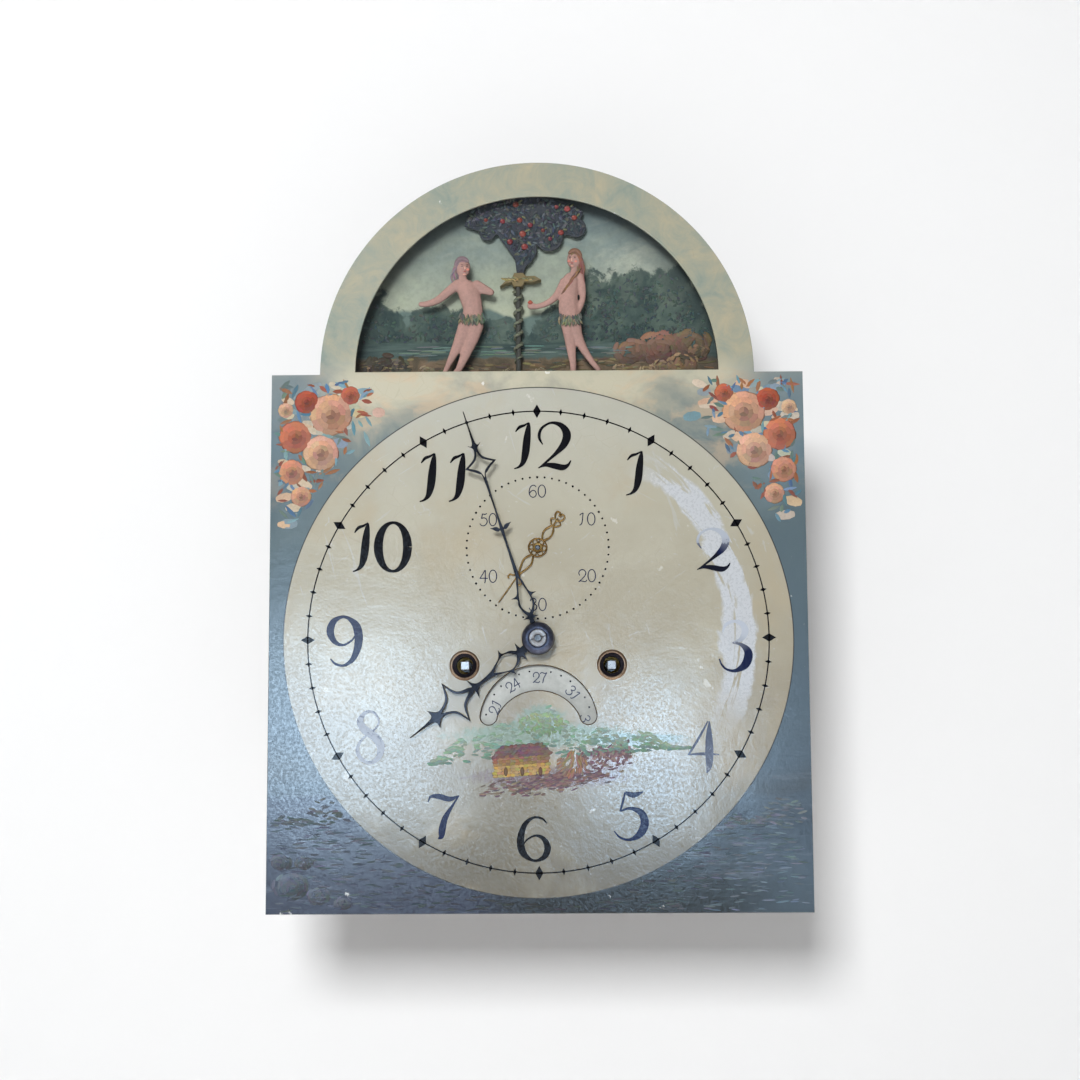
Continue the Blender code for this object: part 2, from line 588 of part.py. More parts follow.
def new_collection(name):
    made = bpy.data.collections.new(name)
    bpy.context.scene.collection.children.link(made)
    return made


clear_scene()
PARTS = new_collection("longcase_clock_dial_and_movement")


def placed(obj, x, y, z):
    # Places are given right of the centre line, back, and above the centre arbor.
    obj.location = (x, y, CENTRE_Z + z)
    PARTS.objects.link(obj)
    return obj


def flat(name, outline, front, thickness, place=(0.0, 0.0), holes=(), turn=0.0):
    # A sheet piece facing the front, turned clockwise about its own place.
    curve = bpy.data.curves.new(name, "CURVE")
    curve.dimensions = "2D"
    curve.fill_mode = "BOTH"
    curve.extrude = thickness / 2
    for points in (outline, *holes):
        spline = curve.splines.new("POLY")
        spline.points.add(len(points) - 1)
        for point, (x, z) in zip(spline.points, points):
            point.co = (x, z, 0, 1)
        spline.use_cyclic_u = True
    obj = bpy.data.objects.new(name, curve)
    obj.rotation_euler = (math.pi / 2, turn, 0)
    return placed(obj, place[0], front + thickness / 2, place[1])


def turned(name, profile, place=(0.0, 0.0), closed=False, sides=ROUND_SIDES, upright=False, y=0.0):
    # A lathe piece: (radius, position) pairs that run up the axis, which is Y, or Z if upright.
    rows = list(reversed(profile))
    mesh = bpy.data.meshes.new(name)
    edges = [(i, i + 1) for i in range(len(rows) - 1)]
    if closed:
        edges.append((len(rows) - 1, 0))
    mesh.from_pydata([(radius, 0, along) for radius, along in rows], edges, [])
    obj = bpy.data.objects.new(name, mesh)
    screw = obj.modifiers.new("Turn", "SCREW")
    screw.axis = "Z"
    screw.steps = sides
    screw.render_steps = sides
    screw.use_merge_vertices = True
    screw.merge_threshold = WELD_DISTANCE
    if not upright:
        obj.rotation_euler = (-math.pi / 2, 0, 0)
    return placed(obj, place[0], y, place[1])


def rod(name, points, radius, origin, rounds=1):
    # A round bar through points given right of the centre line, back and above the centre arbor.
    curve = bpy.data.curves.new(name, "CURVE")
    curve.dimensions = "3D"
    curve.bevel_depth = radius
    curve.bevel_resolution = rounds
    curve.use_fill_caps = True
    spline = curve.splines.new("POLY")
    spline.points.add(len(points) - 1)
    for point, place in zip(spline.points, points):
        point.co = (*(a - b for a, b in zip(place, origin)), 1)
    return placed(bpy.data.objects.new(name, curve), *origin)


def block(name, low, high):
    # A box between two corners, given right of the centre line, back and above the centre arbor.
    bpy.ops.mesh.primitive_cube_add(size=1)
    obj = bpy.context.object
    for holder in list(obj.users_collection):
        holder.objects.unlink(obj)
    obj.name = name
    size = [b - a for a, b in zip(low, high)]
    for vertex in obj.data.vertices:
        vertex.co = [c * s for c, s in zip(vertex.co, size)]
    return placed(obj, *((a + b) / 2 for a, b in zip(low, high)))


def solid(obj):
    # The same shape as a plain welded mesh.
    bpy.context.view_layer.update()
    graph = bpy.context.evaluated_depsgraph_get()
    mesh = bpy.data.meshes.new_from_object(obj.evaluated_get(graph))
    shape = bmesh.new()
    shape.from_mesh(mesh)
    bmesh.ops.remove_doubles(shape, verts=shape.verts, dist=WELD_DISTANCE)
    shape.to_mesh(mesh)
    shape.free()
    name = obj.name
    matrix = obj.matrix_world.copy()
    bpy.data.objects.remove(obj, do_unlink=True)
    made = bpy.data.objects.new(name, mesh)
    made.matrix_world = matrix
    PARTS.objects.link(made)
    return made


def combined(base, others, operation):
    base = solid(base)
    tools = [solid(other) for other in others]
    for tool in tools:
        boolean = base.modifiers.new(operation.title(), "BOOLEAN")
        boolean.operation = operation
        boolean.solver = "EXACT"
        boolean.object = tool
    base = solid(base)
    for tool in tools:
        bpy.data.objects.remove(tool, do_unlink=True)
    return base


def fused(base, *others):
    return combined(base, others, "UNION")


def cut(base, *others):
    return combined(base, others, "DIFFERENCE")


def bored(base, radius, front, back, place=(0.0, 0.0), sides=ROUND_SIDES):
    # The same piece with a round hole through it along Y.
    past = SIDE_AIR
    shape = [(0, front - past), (radius, front - past), (radius, back + past), (0, back + past)]
    return cut(base, turned(base.name + "_bore", shape, place, sides=sides))


def finished(obj, finish):
    colour, roughness, metallic = FINISHES[finish]
    material = bpy.data.materials.new(obj.name + "_" + finish)
    material.use_nodes = True
    shader = material.node_tree.nodes["Principled BSDF"]
    shader.inputs["Base Color"].default_value = colour
    shader.inputs["Roughness"].default_value = roughness
    shader.inputs["Metallic"].default_value = metallic
    obj.data.materials.append(material)
    return obj


def arbor_profile(radius, front, back, pivot=PIVOT_RADIUS):
    # A plain arbor between shoulders, with a pivot through each plate.
    return [(0, front - PLATE_THICKNESS), (pivot, front - PLATE_THICKNESS), (pivot, front + SEAT_GAP),
            (radius, front + SEAT_GAP), (radius, back - SEAT_GAP), (pivot, back - SEAT_GAP),
            (pivot, back + PLATE_THICKNESS), (0, back + PLATE_THICKNESS)]


def long_arbor_profile(extension, end, radius):
    # An arbor that runs out through the front plate to carry a hand.
    front = FRONT_INNER + SEAT_GAP
    back = BACK_INNER - SEAT_GAP
    return [(0, end), (extension, end), (extension, front), (radius, front), (radius, back),
            (PIVOT_RADIUS, back), (PIVOT_RADIUS, BACK_OUTER), (0, BACK_OUTER)]


def pinion_arbor(name, place, leaves, module, phase, wheel_depth, wheel_thickness, profile=None):
    # An arbor with its pinion cut on it, where the driving wheel meets it.
    radius = leaf_root(leaves, module) - ARBOR_RELIEF
    stem = turned(name, profile or arbor_profile(radius, FRONT_INNER, BACK_INNER), place, sides=PIVOT_SIDES)
    leaf = flat(name + "_leaves", pinion_outline(leaves, module, phase),
                FRONT_INNER + wheel_depth - PINION_OVERLAP, wheel_thickness + 2 * PINION_OVERLAP, place)
    return fused(stem, leaf)


def train_wheel(name, place, teeth, module, phase, depth, thickness, holes=()):
    return flat(name, wheel_outline(teeth, module, phase), FRONT_INNER + depth, thickness, place, holes)


def crossed_wheel(name, place, teeth, module, phase, depth, bore):
    # A wheel on its own arbor, with its web cut out to leave arms.
    root = pitch_radius(teeth, module) - TOOTH_FALL * module
    holes = [circle(bore, PIVOT_SIDES)] + crossings(root)
    return train_wheel(name, place, teeth, module, phase, depth, WHEEL_THICKNESS, holes)


# Dial, date and dial feet

def dial_outline():
    half = DIAL_SIDE / 2
    outline = [(-half, -half), (half, -half), (half, half), (ARCH_RADIUS, half)]
    outline += arc(0, half, ARCH_RADIUS, 0, math.pi, FINE_SIDES)[1:]
    return outline + [(-half, half)]


def opening_outline():
    start = math.asin(OPENING_SILL / OPENING_RADIUS)
    return arc(0, ARCH_Z, OPENING_RADIUS, start, math.pi - start, FINE_SIDES)


def date_opening():
    # A crescent between two circles, with round ends.
    x_out = math.sqrt(DATE_OPENING_RADIUS ** 2 - DATE_END_RISE ** 2)
    x_in = math.sqrt(DATE_INNER_RADIUS ** 2 - (DATE_END_RISE + DATE_INNER_DROP) ** 2)
    end_radius = (x_out - x_in) / 2
    end_x = (x_out + x_in) / 2
    end_z = DATE_END_RISE - DATE_DROP
    start = math.asin(DATE_END_RISE / DATE_OPENING_RADIUS)
    inner = math.asin((DATE_END_RISE + DATE_INNER_DROP) / DATE_INNER_RADIUS)
    low = -DATE_DROP - DATE_INNER_DROP
    points = arc(0, -DATE_DROP, DATE_OPENING_RADIUS, start, math.pi - start, ROUND_SIDES)
    points += arc(-end_x, end_z, end_radius, math.pi, math.tau, END_POINTS)[1:-1]
    points += arc(0, low, DATE_INNER_RADIUS, math.pi - inner, inner, ROUND_SIDES)
    return points + arc(end_x, end_z, end_radius, math.pi, math.tau, END_POINTS)[1:-1]


def make_dial():
    holes = [opening_outline(), date_opening()]
    holes.append(circle(HOUR_PIPE + SIDE_AIR, ROUND_SIDES))
    holes.append(circle(SECONDS_HOLE_RADIUS, PIVOT_SIDES, *ESCAPE_PLACE))
    for place in (GOING_PLACE, STRIKE_PLACE):
        holes.append(circle(WINDING_HOLE_RADIUS, ROUND_SIDES, *place))
    finished(flat("dial_plate", dial_outline(), DIAL_FRONT, DIAL_THICKNESS, holes=holes), "dial_paint")
    front = DIAL_BACK + SEAT_GAP
    back = FRONT_OUTER - SEAT_GAP
    foot = [(0, front), (DIAL_FOOT_COLLAR, front), (DIAL_FOOT_COLLAR, front + DIAL_FOOT_COLLAR_LENGTH),
            (DIAL_FOOT_RADIUS, front + DIAL_FOOT_COLLAR_LENGTH), (DIAL_FOOT_RADIUS, back), (0, back)]
    for side, x in (("left", -DIAL_FOOT_X), ("right", DIAL_FOOT_X)):
        for level, z in (("lower", -DIAL_FOOT_LOW), ("upper", DIAL_FOOT_HIGH)):
            finished(turned(f"dial_foot_{level}_{side}", foot, (x, z), sides=PIVOT_SIDES), "steel")


def make_date():
    radius = DATE_OPENING_RADIUS + DATE_DISC_MARGIN
    front = DIAL_BACK + DATE_DISC_AIR
    back = front + DATE_DISC_THICKNESS
    pitch = math.tau / DATE_TEETH
    teeth = []
    for k in range(DATE_TEETH):
        teeth.append(polar(radius, k * pitch))
        teeth.append(polar(radius - DATE_TOOTH_HEIGHT, (k + DATE_TOOTH_LEAN) * pitch))
    bore = circle(DATE_POST_RADIUS + RUN_GAP, PIVOT_SIDES)
    finished(flat("date_disc", teeth, front, DATE_DISC_THICKNESS, DATE_PLACE, [bore]), "white_paint")
    head = back + SEAT_GAP
    post = [(0, DIAL_BACK + SEAT_GAP), (DATE_POST_RADIUS, DIAL_BACK + SEAT_GAP), (DATE_POST_RADIUS, head),
            (DATE_POST_HEAD, head), (DATE_POST_HEAD, head + DATE_POST_HEAD_LENGTH),
            (0, head + DATE_POST_HEAD_LENGTH)]
    finished(turned("date_post", post, DATE_PLACE, sides=PIVOT_SIDES), "brass")


# Hands

def make_hands():
    minute = hand_outline(MINUTE_HUB_RADIUS, MINUTE_HAND_HALF, MINUTE_HAND_LENGTH)
    windows = [circle(CANNON_PIPE + RUN_GAP, ROUND_SIDES),
               hand_window(MINUTE_HAND_LOOP, MINUTE_HAND_LOOP_ENDS),
               hand_window(MINUTE_HAND_DIAMOND, MINUTE_HAND_DIAMOND_ENDS)]
    finished(flat("minute_hand", minute, MINUTE_HAND_FRONT, MINUTE_HAND_THICKNESS, CENTRE_PLACE, windows,
                  MINUTE_HAND_TURN), "blued_steel")
    hour = hand_outline(HOUR_HUB_RADIUS, HOUR_HAND_HALF, HOUR_HAND_LENGTH)
    windows = [circle(HOUR_PIPE + RUN_GAP, ROUND_SIDES), hand_window(HOUR_HAND_LOOP, HOUR_HAND_LOOP_ENDS),
               hand_window(HOUR_HAND_DIAMOND, HOUR_HAND_DIAMOND_ENDS)]
    finished(flat("hour_hand", hour, HOUR_HAND_FRONT, HOUR_HAND_THICKNESS, CENTRE_PLACE, windows,
                  HOUR_HAND_TURN), "blued_steel")
    tip = HAND_TIP_HALF_WIDTH * MM
    front = [(w * MM, d * MM) for w, d in SECONDS_HAND_HALF] + [(tip, SECONDS_HAND_LENGTH)]
    tail = [(w * MM, -d * MM) for w, d in SECONDS_TAIL_HALF] + [(tip, -SECONDS_TAIL_LENGTH)]
    low_neck = -math.acos(tail[0][0] / SECONDS_HUB_RADIUS)
    high_neck = math.acos(front[0][0] / SECONDS_HUB_RADIUS)
    right = list(reversed(tail))
    right += arc(0, 0, SECONDS_HUB_RADIUS, low_neck, high_neck, PIVOT_SIDES) + front
    seconds = right + [(-w, d) for w, d in reversed(right)]
    bore = circle(SECONDS_ARBOR_RADIUS + SEAT_GAP, PIVOT_SIDES)
    finished(flat("seconds_hand", seconds, SECONDS_HAND_FRONT, SECONDS_HAND_THICKNESS, ESCAPE_PLACE, [bore],
                  SECONDS_HAND_TURN), "gilt")
    back = MINUTE_HAND_FRONT - SEAT_GAP
    middle = (COLLET_FRONT + back) / 2
    collet = [(CANNON_BORE, COLLET_FRONT), (COLLET_RIM, COLLET_FRONT),
              (COLLET_RADIUS - SIDE_AIR, middle - SIDE_AIR), (COLLET_RADIUS, middle), (COLLET_RADIUS, back),
              (CANNON_BORE, back)]
    finished(turned("hand_collet", collet, closed=True), "blued_steel")


# Movement frame

TRAIN_HOLES = [(THIRD_PLACE, PIVOT_RADIUS), (PIN_PLACE, PIVOT_RADIUS), (HOOP_PLACE, PIVOT_RADIUS),
               (WARNING_PLACE, PIVOT_RADIUS), (FLY_PLACE, PIVOT_RADIUS), (HAMMER_PLACE, PIVOT_RADIUS)]


def plate_outline():
    return rectangle(-PLATE_HALF_WIDTH, PLATE_HALF_WIDTH, -PLATE_BELOW, PLATE_ABOVE)


def plate_holes(extra):
    holes = [circle(radius + RUN_GAP, PIVOT_SIDES, *place) for place, radius in TRAIN_HOLES + extra]
    for x in (-PILLAR_X, PILLAR_X):
        for z in (PILLAR_LOW, PILLAR_HIGH):
            holes.append(circle(PILLAR_TENON_RADIUS + SEAT_GAP, PIVOT_SIDES, x, z))
    return holes


def make_frame():
    front = [(GOING_PLACE, GREAT_PIVOT_RADIUS), (STRIKE_PLACE, GREAT_PIVOT_RADIUS),
             (CENTRE_PLACE, CENTRE_EXTENSION_RADIUS), (ESCAPE_PLACE, SECONDS_ARBOR_RADIUS),
             (ANCHOR_PLACE, ANCHOR_ARBOR_RADIUS), (LIFTING_PLACE, LIFTING_ARBOR_RADIUS)]
    back = [(GOING_PLACE, GREAT_PIVOT_RADIUS), (STRIKE_PLACE, GREAT_PIVOT_RADIUS),
            (CENTRE_PLACE, PIVOT_RADIUS), (ESCAPE_PLACE, PIVOT_RADIUS), (LIFTING_PLACE, PIVOT_RADIUS),
            (ANCHOR_PLACE, ANCHOR_PLATE_HOLE)]
    for name, face, holes in (("front_plate", FRONT_OUTER, front), ("back_plate", BACK_INNER, back)):
        finished(flat(name, plate_outline(), face, PLATE_THICKNESS, holes=plate_holes(holes)), "brass")
    front_end = FRONT_INNER + SEAT_GAP
    back_end = BACK_INNER - SEAT_GAP
    pillar = [(0, FRONT_OUTER), (PILLAR_TENON_RADIUS, FRONT_OUTER), (PILLAR_TENON_RADIUS, front_end),
              (PILLAR_KNOP_RADIUS, front_end), (PILLAR_RADIUS, front_end + PILLAR_END_LENGTH),
              (PILLAR_RADIUS, -PILLAR_KNOP_LENGTH / 2), (PILLAR_KNOP_RADIUS, 0),
              (PILLAR_RADIUS, PILLAR_KNOP_LENGTH / 2), (PILLAR_RADIUS, back_end - PILLAR_END_LENGTH),
              (PILLAR_KNOP_RADIUS, back_end), (PILLAR_TENON_RADIUS, back_end),
              (PILLAR_TENON_RADIUS, BACK_OUTER), (0, BACK_OUTER)]
    for side, x in (("left", -PILLAR_X), ("right", PILLAR_X)):
        for level, z in (("lower", PILLAR_LOW), ("upper", PILLAR_HIGH)):
            finished(turned(f"pillar_{level}_{side}", pillar, (x, z), sides=PIVOT_SIDES), "brass")


def make_seatboard():
    half = SEATBOARD_WIDTH / 2
    back = SEATBOARD_DEPTH / 2
    notch = SEATBOARD_NOTCH_WIDTH / 2
    notch_end = back - SEATBOARD_NOTCH_DEPTH
    outline = [(-half, -back), (half, -back), (half, back), (notch, back), (notch, notch_end),
               (-notch, notch_end), (-notch, back), (-half, back)]
    slot_end = (LINE_SLOT_LENGTH - LINE_SLOT_WIDTH) / 2
    slot_y = FRONT_INNER + BARREL_FRONT_AIR + BARREL_LENGTH / 2
    holes = []
    for x in (-PILLAR_X, PILLAR_X):
        holes.append(circle(SEAT_BOLT_RADIUS + SEAT_GAP, PIVOT_SIDES, x, 0))
    for x in (-WINDING_X, WINDING_X):
        slot = arc(x, slot_y + slot_end, LINE_SLOT_WIDTH / 2, 0, math.pi, END_POINTS)
        slot += arc(x, slot_y - slot_end, LINE_SLOT_WIDTH / 2, math.pi, math.tau, END_POINTS)
        holes.append(slot)
    board = flat("seatboard", outline, 0, SEATBOARD_THICKNESS, holes=holes)
    board.rotation_euler = (0, 0, 0)
    board.location = (0, 0, SEATBOARD_THICKNESS / 2)
    finished(board, "oak")
    top = PILLAR_LOW - PILLAR_KNOP_RADIUS - SEAT_GAP
    nut_top = -CENTRE_Z - SEAT_GAP
    nut_low = nut_top - SEAT_NUT_THICKNESS
    tail = nut_low - SEAT_BOLT_TAIL
    bolt = [(0, tail), (SEAT_BOLT_RADIUS, tail), (SEAT_BOLT_RADIUS, nut_low), (SEAT_NUT_RADIUS, nut_low),
            (SEAT_NUT_RADIUS, nut_top), (SEAT_BOLT_RADIUS, nut_top), (SEAT_BOLT_RADIUS, top), (0, top)]
    for side, x in (("left", -PILLAR_X), ("right", PILLAR_X)):
        finished(turned(f"seat_bolt_{side}", bolt, (x, 0), sides=HEX_SIDES, upright=True), "steel")


def make_back_cock():
    x, z = ANCHOR_PLACE
    front = BACK_OUTER + SEAT_GAP
    back = front + COCK_DEPTH
    half = COCK_WIDTH / 2
    low = z - COCK_HEIGHT / 2
    high = z + COCK_HEIGHT / 2
    body = block("back_cock", (x - half, front, low), (x + half, back, high))
    hollow = block("back_cock_hollow", (x - half + COCK_LEG, front - COCK_WALL, low - COCK_WALL),
                   (x + half - COCK_LEG, back - COCK_WALL, high + COCK_WALL))
    bore_radius = PIVOT_RADIUS + RUN_GAP
    bore = turned("back_cock_bore", [(0, front), (bore_radius, front), (bore_radius, back + COCK_WALL),
                                     (0, back + COCK_WALL)], ANCHOR_PLACE, sides=PIVOT_SIDES)
    finished(cut(body, hollow, bore), "brass")


# Going train

def great_barrel(name, place):
    x, z = place
    square_front = DIAL_FRONT + WINDING_SETBACK
    square_back = square_front + WINDING_SQUARE_LENGTH
    drum_front = FRONT_INNER + BARREL_FRONT_AIR
    drum_back = drum_front + BARREL_LENGTH
    lip = BARREL_FLANGE_LENGTH
    lathe = [(0, square_back - SIDE_AIR), (GREAT_PIVOT_RADIUS, square_back - SIDE_AIR),
             (GREAT_PIVOT_RADIUS, FRONT_INNER + SEAT_GAP), (GREAT_ARBOR_RADIUS, FRONT_INNER + SEAT_GAP),
             (GREAT_ARBOR_RADIUS, drum_front), (BARREL_FLANGE_RADIUS, drum_front),
             (BARREL_FLANGE_RADIUS, drum_front + lip), (BARREL_RADIUS, drum_front + lip),
             (BARREL_RADIUS, drum_back - lip), (BARREL_FLANGE_RADIUS, drum_back - lip),
             (BARREL_FLANGE_RADIUS, drum_back), (GREAT_ARBOR_RADIUS, drum_back),
             (GREAT_ARBOR_RADIUS, BACK_INNER - SEAT_GAP), (GREAT_PIVOT_RADIUS, BACK_INNER - SEAT_GAP),
             (GREAT_PIVOT_RADIUS, BACK_OUTER), (0, BACK_OUTER)]
    drum = turned(name, lathe, place, sides=BARREL_SIDES)
    half = WINDING_SQUARE / 2
    square = block(name + "_square", (x - half, square_front, z - half), (x + half, square_back, z + half))
    teeth = []
    pitch = math.tau / RATCHET_TEETH
    for k in range(RATCHET_TEETH):
        teeth.append(polar(RATCHET_RADIUS, k * pitch))
        teeth.append(polar(RATCHET_RADIUS - RATCHET_TOOTH_HEIGHT, (k + RATCHET_LEAN) * pitch))
    ratchet = flat(name + "_ratchet", teeth, drum_back - lip / 2, RATCHET_THICKNESS + lip / 2, place)
    return finished(fused(drum, square, ratchet), "brass")


def great_click(name, place):
    # A pawl on the great wheel's front, with its nose held just off the ratchet.
    nose = RATCHET_RADIUS + CLICK_NOSE_AIR
    swing = CLICK_LENGTH / CLICK_RADIUS
    outline = arc(CLICK_RADIUS, 0, CLICK_WIDTH / 2, -math.pi / 2, math.pi / 2, END_POINTS)
    outline += [polar(CLICK_RADIUS, swing / 2), polar(nose + SIDE_AIR, swing), polar(nose, swing)]
    outline += [polar(nose + SIDE_AIR, swing / 2)]
    front = FRONT_INNER + BARREL_FRONT_AIR + BARREL_LENGTH + SEAT_GAP
    back = FRONT_INNER + GREAT_FRONT_DEPTH - SEAT_GAP
    return finished(flat(name, outline, front, back - front, place), "steel")


CENTRE_PHASE = 0.0
GOING_PHASE = meshed_phase(CENTRE_PLACE, CENTRE_LEAVES, CENTRE_PHASE, GOING_PLACE, GOING_GREAT_TEETH)
THIRD_PHASE = meshed_phase(CENTRE_PLACE, CENTRE_TEETH, CENTRE_PHASE, THIRD_PLACE, THIRD_LEAVES)
ESCAPE_PHASE = meshed_phase(THIRD_PLACE, THIRD_TEETH, THIRD_PHASE, ESCAPE_PLACE, ESCAPE_LEAVES)


def make_going_train():
    great_barrel("going_barrel", GOING_PLACE)
    great_click("going_click", GOING_PLACE)
    bore = circle(GREAT_ARBOR_RADIUS + RUN_GAP, ROUND_SIDES)
    finished(flat("going_great_wheel", wheel_outline(GOING_GREAT_TEETH, GOING_MODULE, GOING_PHASE),
                  FRONT_INNER + GREAT_FRONT_DEPTH, GREAT_WHEEL_THICKNESS, GOING_PLACE, [bore]), "brass")

    radius = leaf_root(CENTRE_LEAVES, GOING_MODULE) - ARBOR_RELIEF
    centre = long_arbor_profile(CENTRE_EXTENSION_RADIUS, CENTRE_END, radius)
    finished(pinion_arbor("centre_arbor", CENTRE_PLACE, CENTRE_LEAVES, GOING_MODULE, CENTRE_PHASE,
                          GREAT_FRONT_DEPTH, GREAT_WHEEL_THICKNESS, centre), "steel")
    finished(crossed_wheel("centre_wheel", CENTRE_PLACE, CENTRE_TEETH, CENTRE_MODULE, CENTRE_PHASE,
                           CENTRE_WHEEL_DEPTH, radius + SEAT_GAP), "brass")

    radius = leaf_root(THIRD_LEAVES, CENTRE_MODULE) - ARBOR_RELIEF
    finished(pinion_arbor("third_arbor", THIRD_PLACE, THIRD_LEAVES, CENTRE_MODULE, THIRD_PHASE,
                          CENTRE_WHEEL_DEPTH, WHEEL_THICKNESS), "steel")
    finished(crossed_wheel("third_wheel", THIRD_PLACE, THIRD_TEETH, THIRD_MODULE, THIRD_PHASE,
                           THIRD_WHEEL_DEPTH, radius + SEAT_GAP), "brass")

    radius = leaf_root(ESCAPE_LEAVES, THIRD_MODULE) - ARBOR_RELIEF
    end = SECONDS_HAND_FRONT - SEAT_GAP
    escape = long_arbor_profile(SECONDS_ARBOR_RADIUS, end, radius)
    finished(pinion_arbor("escape_arbor", ESCAPE_PLACE, ESCAPE_LEAVES, THIRD_MODULE, ESCAPE_PHASE,
                          THIRD_WHEEL_DEPTH, WHEEL_THICKNESS, escape), "steel")
    pitch = math.tau / ESCAPE_TEETH
    root = ESCAPE_RADIUS - ESCAPE_TOOTH_HEIGHT
    teeth = []
    for k in range(ESCAPE_TEETH):
        teeth.append(polar(ESCAPE_RADIUS, k * pitch))
        teeth.append(polar(root, (k + ESCAPE_ROOT_START) * pitch))
        teeth.append(polar(root, (k + ESCAPE_ROOT_END) * pitch))
    holes = [circle(radius + SEAT_GAP, PIVOT_SIDES)] + crossings(root)
    finished(flat("escape_wheel", teeth, FRONT_INNER + ESCAPE_WHEEL_DEPTH, WHEEL_THICKNESS, ESCAPE_PLACE,
                  holes), "brass")


def make_anchor():
    x, z = ANCHOR_PLACE
    cock_inner = BACK_OUTER + SEAT_GAP + COCK_DEPTH - COCK_WALL
    lathe = [(0, ANCHOR_LEVER_FRONT), (ANCHOR_ARBOR_RADIUS, ANCHOR_LEVER_FRONT),
             (ANCHOR_ARBOR_RADIUS, cock_inner - SEAT_GAP), (PIVOT_RADIUS, cock_inner - SEAT_GAP),
             (PIVOT_RADIUS, cock_inner + COCK_WALL), (0, cock_inner + COCK_WALL)]
    stem = turned("anchor", lathe, ANCHOR_PLACE, sides=PIVOT_SIDES)
    clear = ESCAPE_RADIUS + PALLET_AIR
    nib = -ANCHOR_RISE + math.sqrt(clear ** 2 - PALLET_SPAN ** 2)
    high = -ANCHOR_RISE + clear + SIDE_AIR
    right = [(PALLET_HUB, PALLET_HUB - SIDE_AIR), (PALLET_SPAN, nib + 3 * PALLET_ARM),
             (PALLET_SPAN + PALLET_ARM, nib + SIDE_AIR), (PALLET_SPAN, nib),
             (PALLET_SPAN - SIDE_AIR, nib + PALLET_ARM), (PALLET_HUB, high)]
    outline = [(0, PALLET_HUB)] + right + [(-px, pz) for px, pz in reversed(right)]
    middle = FRONT_INNER + ESCAPE_WHEEL_DEPTH + WHEEL_THICKNESS / 2
    pallets = flat("anchor_pallets", outline, middle - PALLET_THICKNESS / 2, PALLET_THICKNESS, ANCHOR_PLACE)
    rise = ROCKER_BAR_Z - z
    half = ANCHOR_LEVER_WIDTH / 2
    arm = rectangle(-half, half, -half - ANCHOR_ARBOR_RADIUS, rise + half)
    lever = flat("anchor_lever", arm, ANCHOR_LEVER_FRONT, SHEET_THICKNESS, ANCHOR_PLACE)
    pin = [(0, ROCKER_BAR_FRONT - SIDE_AIR), (CRANK_PIN_RADIUS, ROCKER_BAR_FRONT - SIDE_AIR),
           (CRANK_PIN_RADIUS, ANCHOR_LEVER_BACK - SEAT_GAP), (0, ANCHOR_LEVER_BACK - SEAT_GAP)]
    drive_pin = turned("anchor_pin", pin, (x, ROCKER_BAR_Z), sides=PIVOT_SIDES)
    finished(fused(stem, pallets, lever, drive_pin), "steel")

    front = BACK_OUTER + CRUTCH_AIR
    half = CRUTCH_WIDTH / 2
    eye = ANCHOR_ARBOR_RADIUS + half
    bore = circle(ANCHOR_ARBOR_RADIUS + SEAT_GAP, PIVOT_SIDES)
    hung = flat("crutch", eyed_blade(half, CRUTCH_LENGTH, eye), front, CRUTCH_THICKNESS, ANCHOR_PLACE, [bore])
    prongs = []
    for side, start in (("left", -half), ("right", half - CRUTCH_THICKNESS)):
        foot = z - CRUTCH_LENGTH
        prongs.append(block("crutch_prong_" + side, (start, front + CRUTCH_THICKNESS / 2, foot),
                            (start + CRUTCH_THICKNESS, front + CRUTCH_FORK_LENGTH, foot + CRUTCH_FORK_GAP)))
    finished(fused(hung, *prongs), "steel")


def eyed_blade(half_width, length, radius):
    # A straight blade that hangs from a round eye about the origin.
    join = math.acos(half_width / radius)
    foot = [(-half_width, -length), (half_width, -length)]
    return foot + arc(0, 0, radius, -join, math.pi + join, PIVOT_SIDES)


# Striking train

STRIKE_PHASE = 0.0
PIN_PHASE = meshed_phase(STRIKE_PLACE, STRIKE_GREAT_TEETH, STRIKE_PHASE, PIN_PLACE, PIN_LEAVES)
HOOP_PHASE = meshed_phase(PIN_PLACE, PIN_TEETH, PIN_PHASE, HOOP_PLACE, HOOP_LEAVES)
WARNING_PHASE = meshed_phase(HOOP_PLACE, HOOP_TEETH, HOOP_PHASE, WARNING_PLACE, WARNING_LEAVES)
FLY_PHASE = meshed_phase(WARNING_PLACE, WARNING_TEETH, WARNING_PHASE, FLY_PLACE, FLY_LEAVES)


def count_outline():
    # A notch after each hour's blows, so that the hours take 1, 2, 3 and on up to 12 equal steps.
    blows = HOURS_STRUCK * (HOURS_STRUCK + 1) // 2
    step = math.tau / blows
    points = []
    struck = 0
    for hour in range(1, HOURS_STRUCK + 1):
        start = struck * step
        half = COUNT_NOTCH_SHARE * step
        points.append(polar(COUNT_WHEEL_RADIUS - COUNT_NOTCH_DEPTH, start - half))
        points.append(polar(COUNT_WHEEL_RADIUS - COUNT_NOTCH_DEPTH, start + half))
        count = 2 + hour // 2
        points += arc(0, 0, COUNT_WHEEL_RADIUS, start + half, start + hour * step - half, count)
        struck += hour
    return points


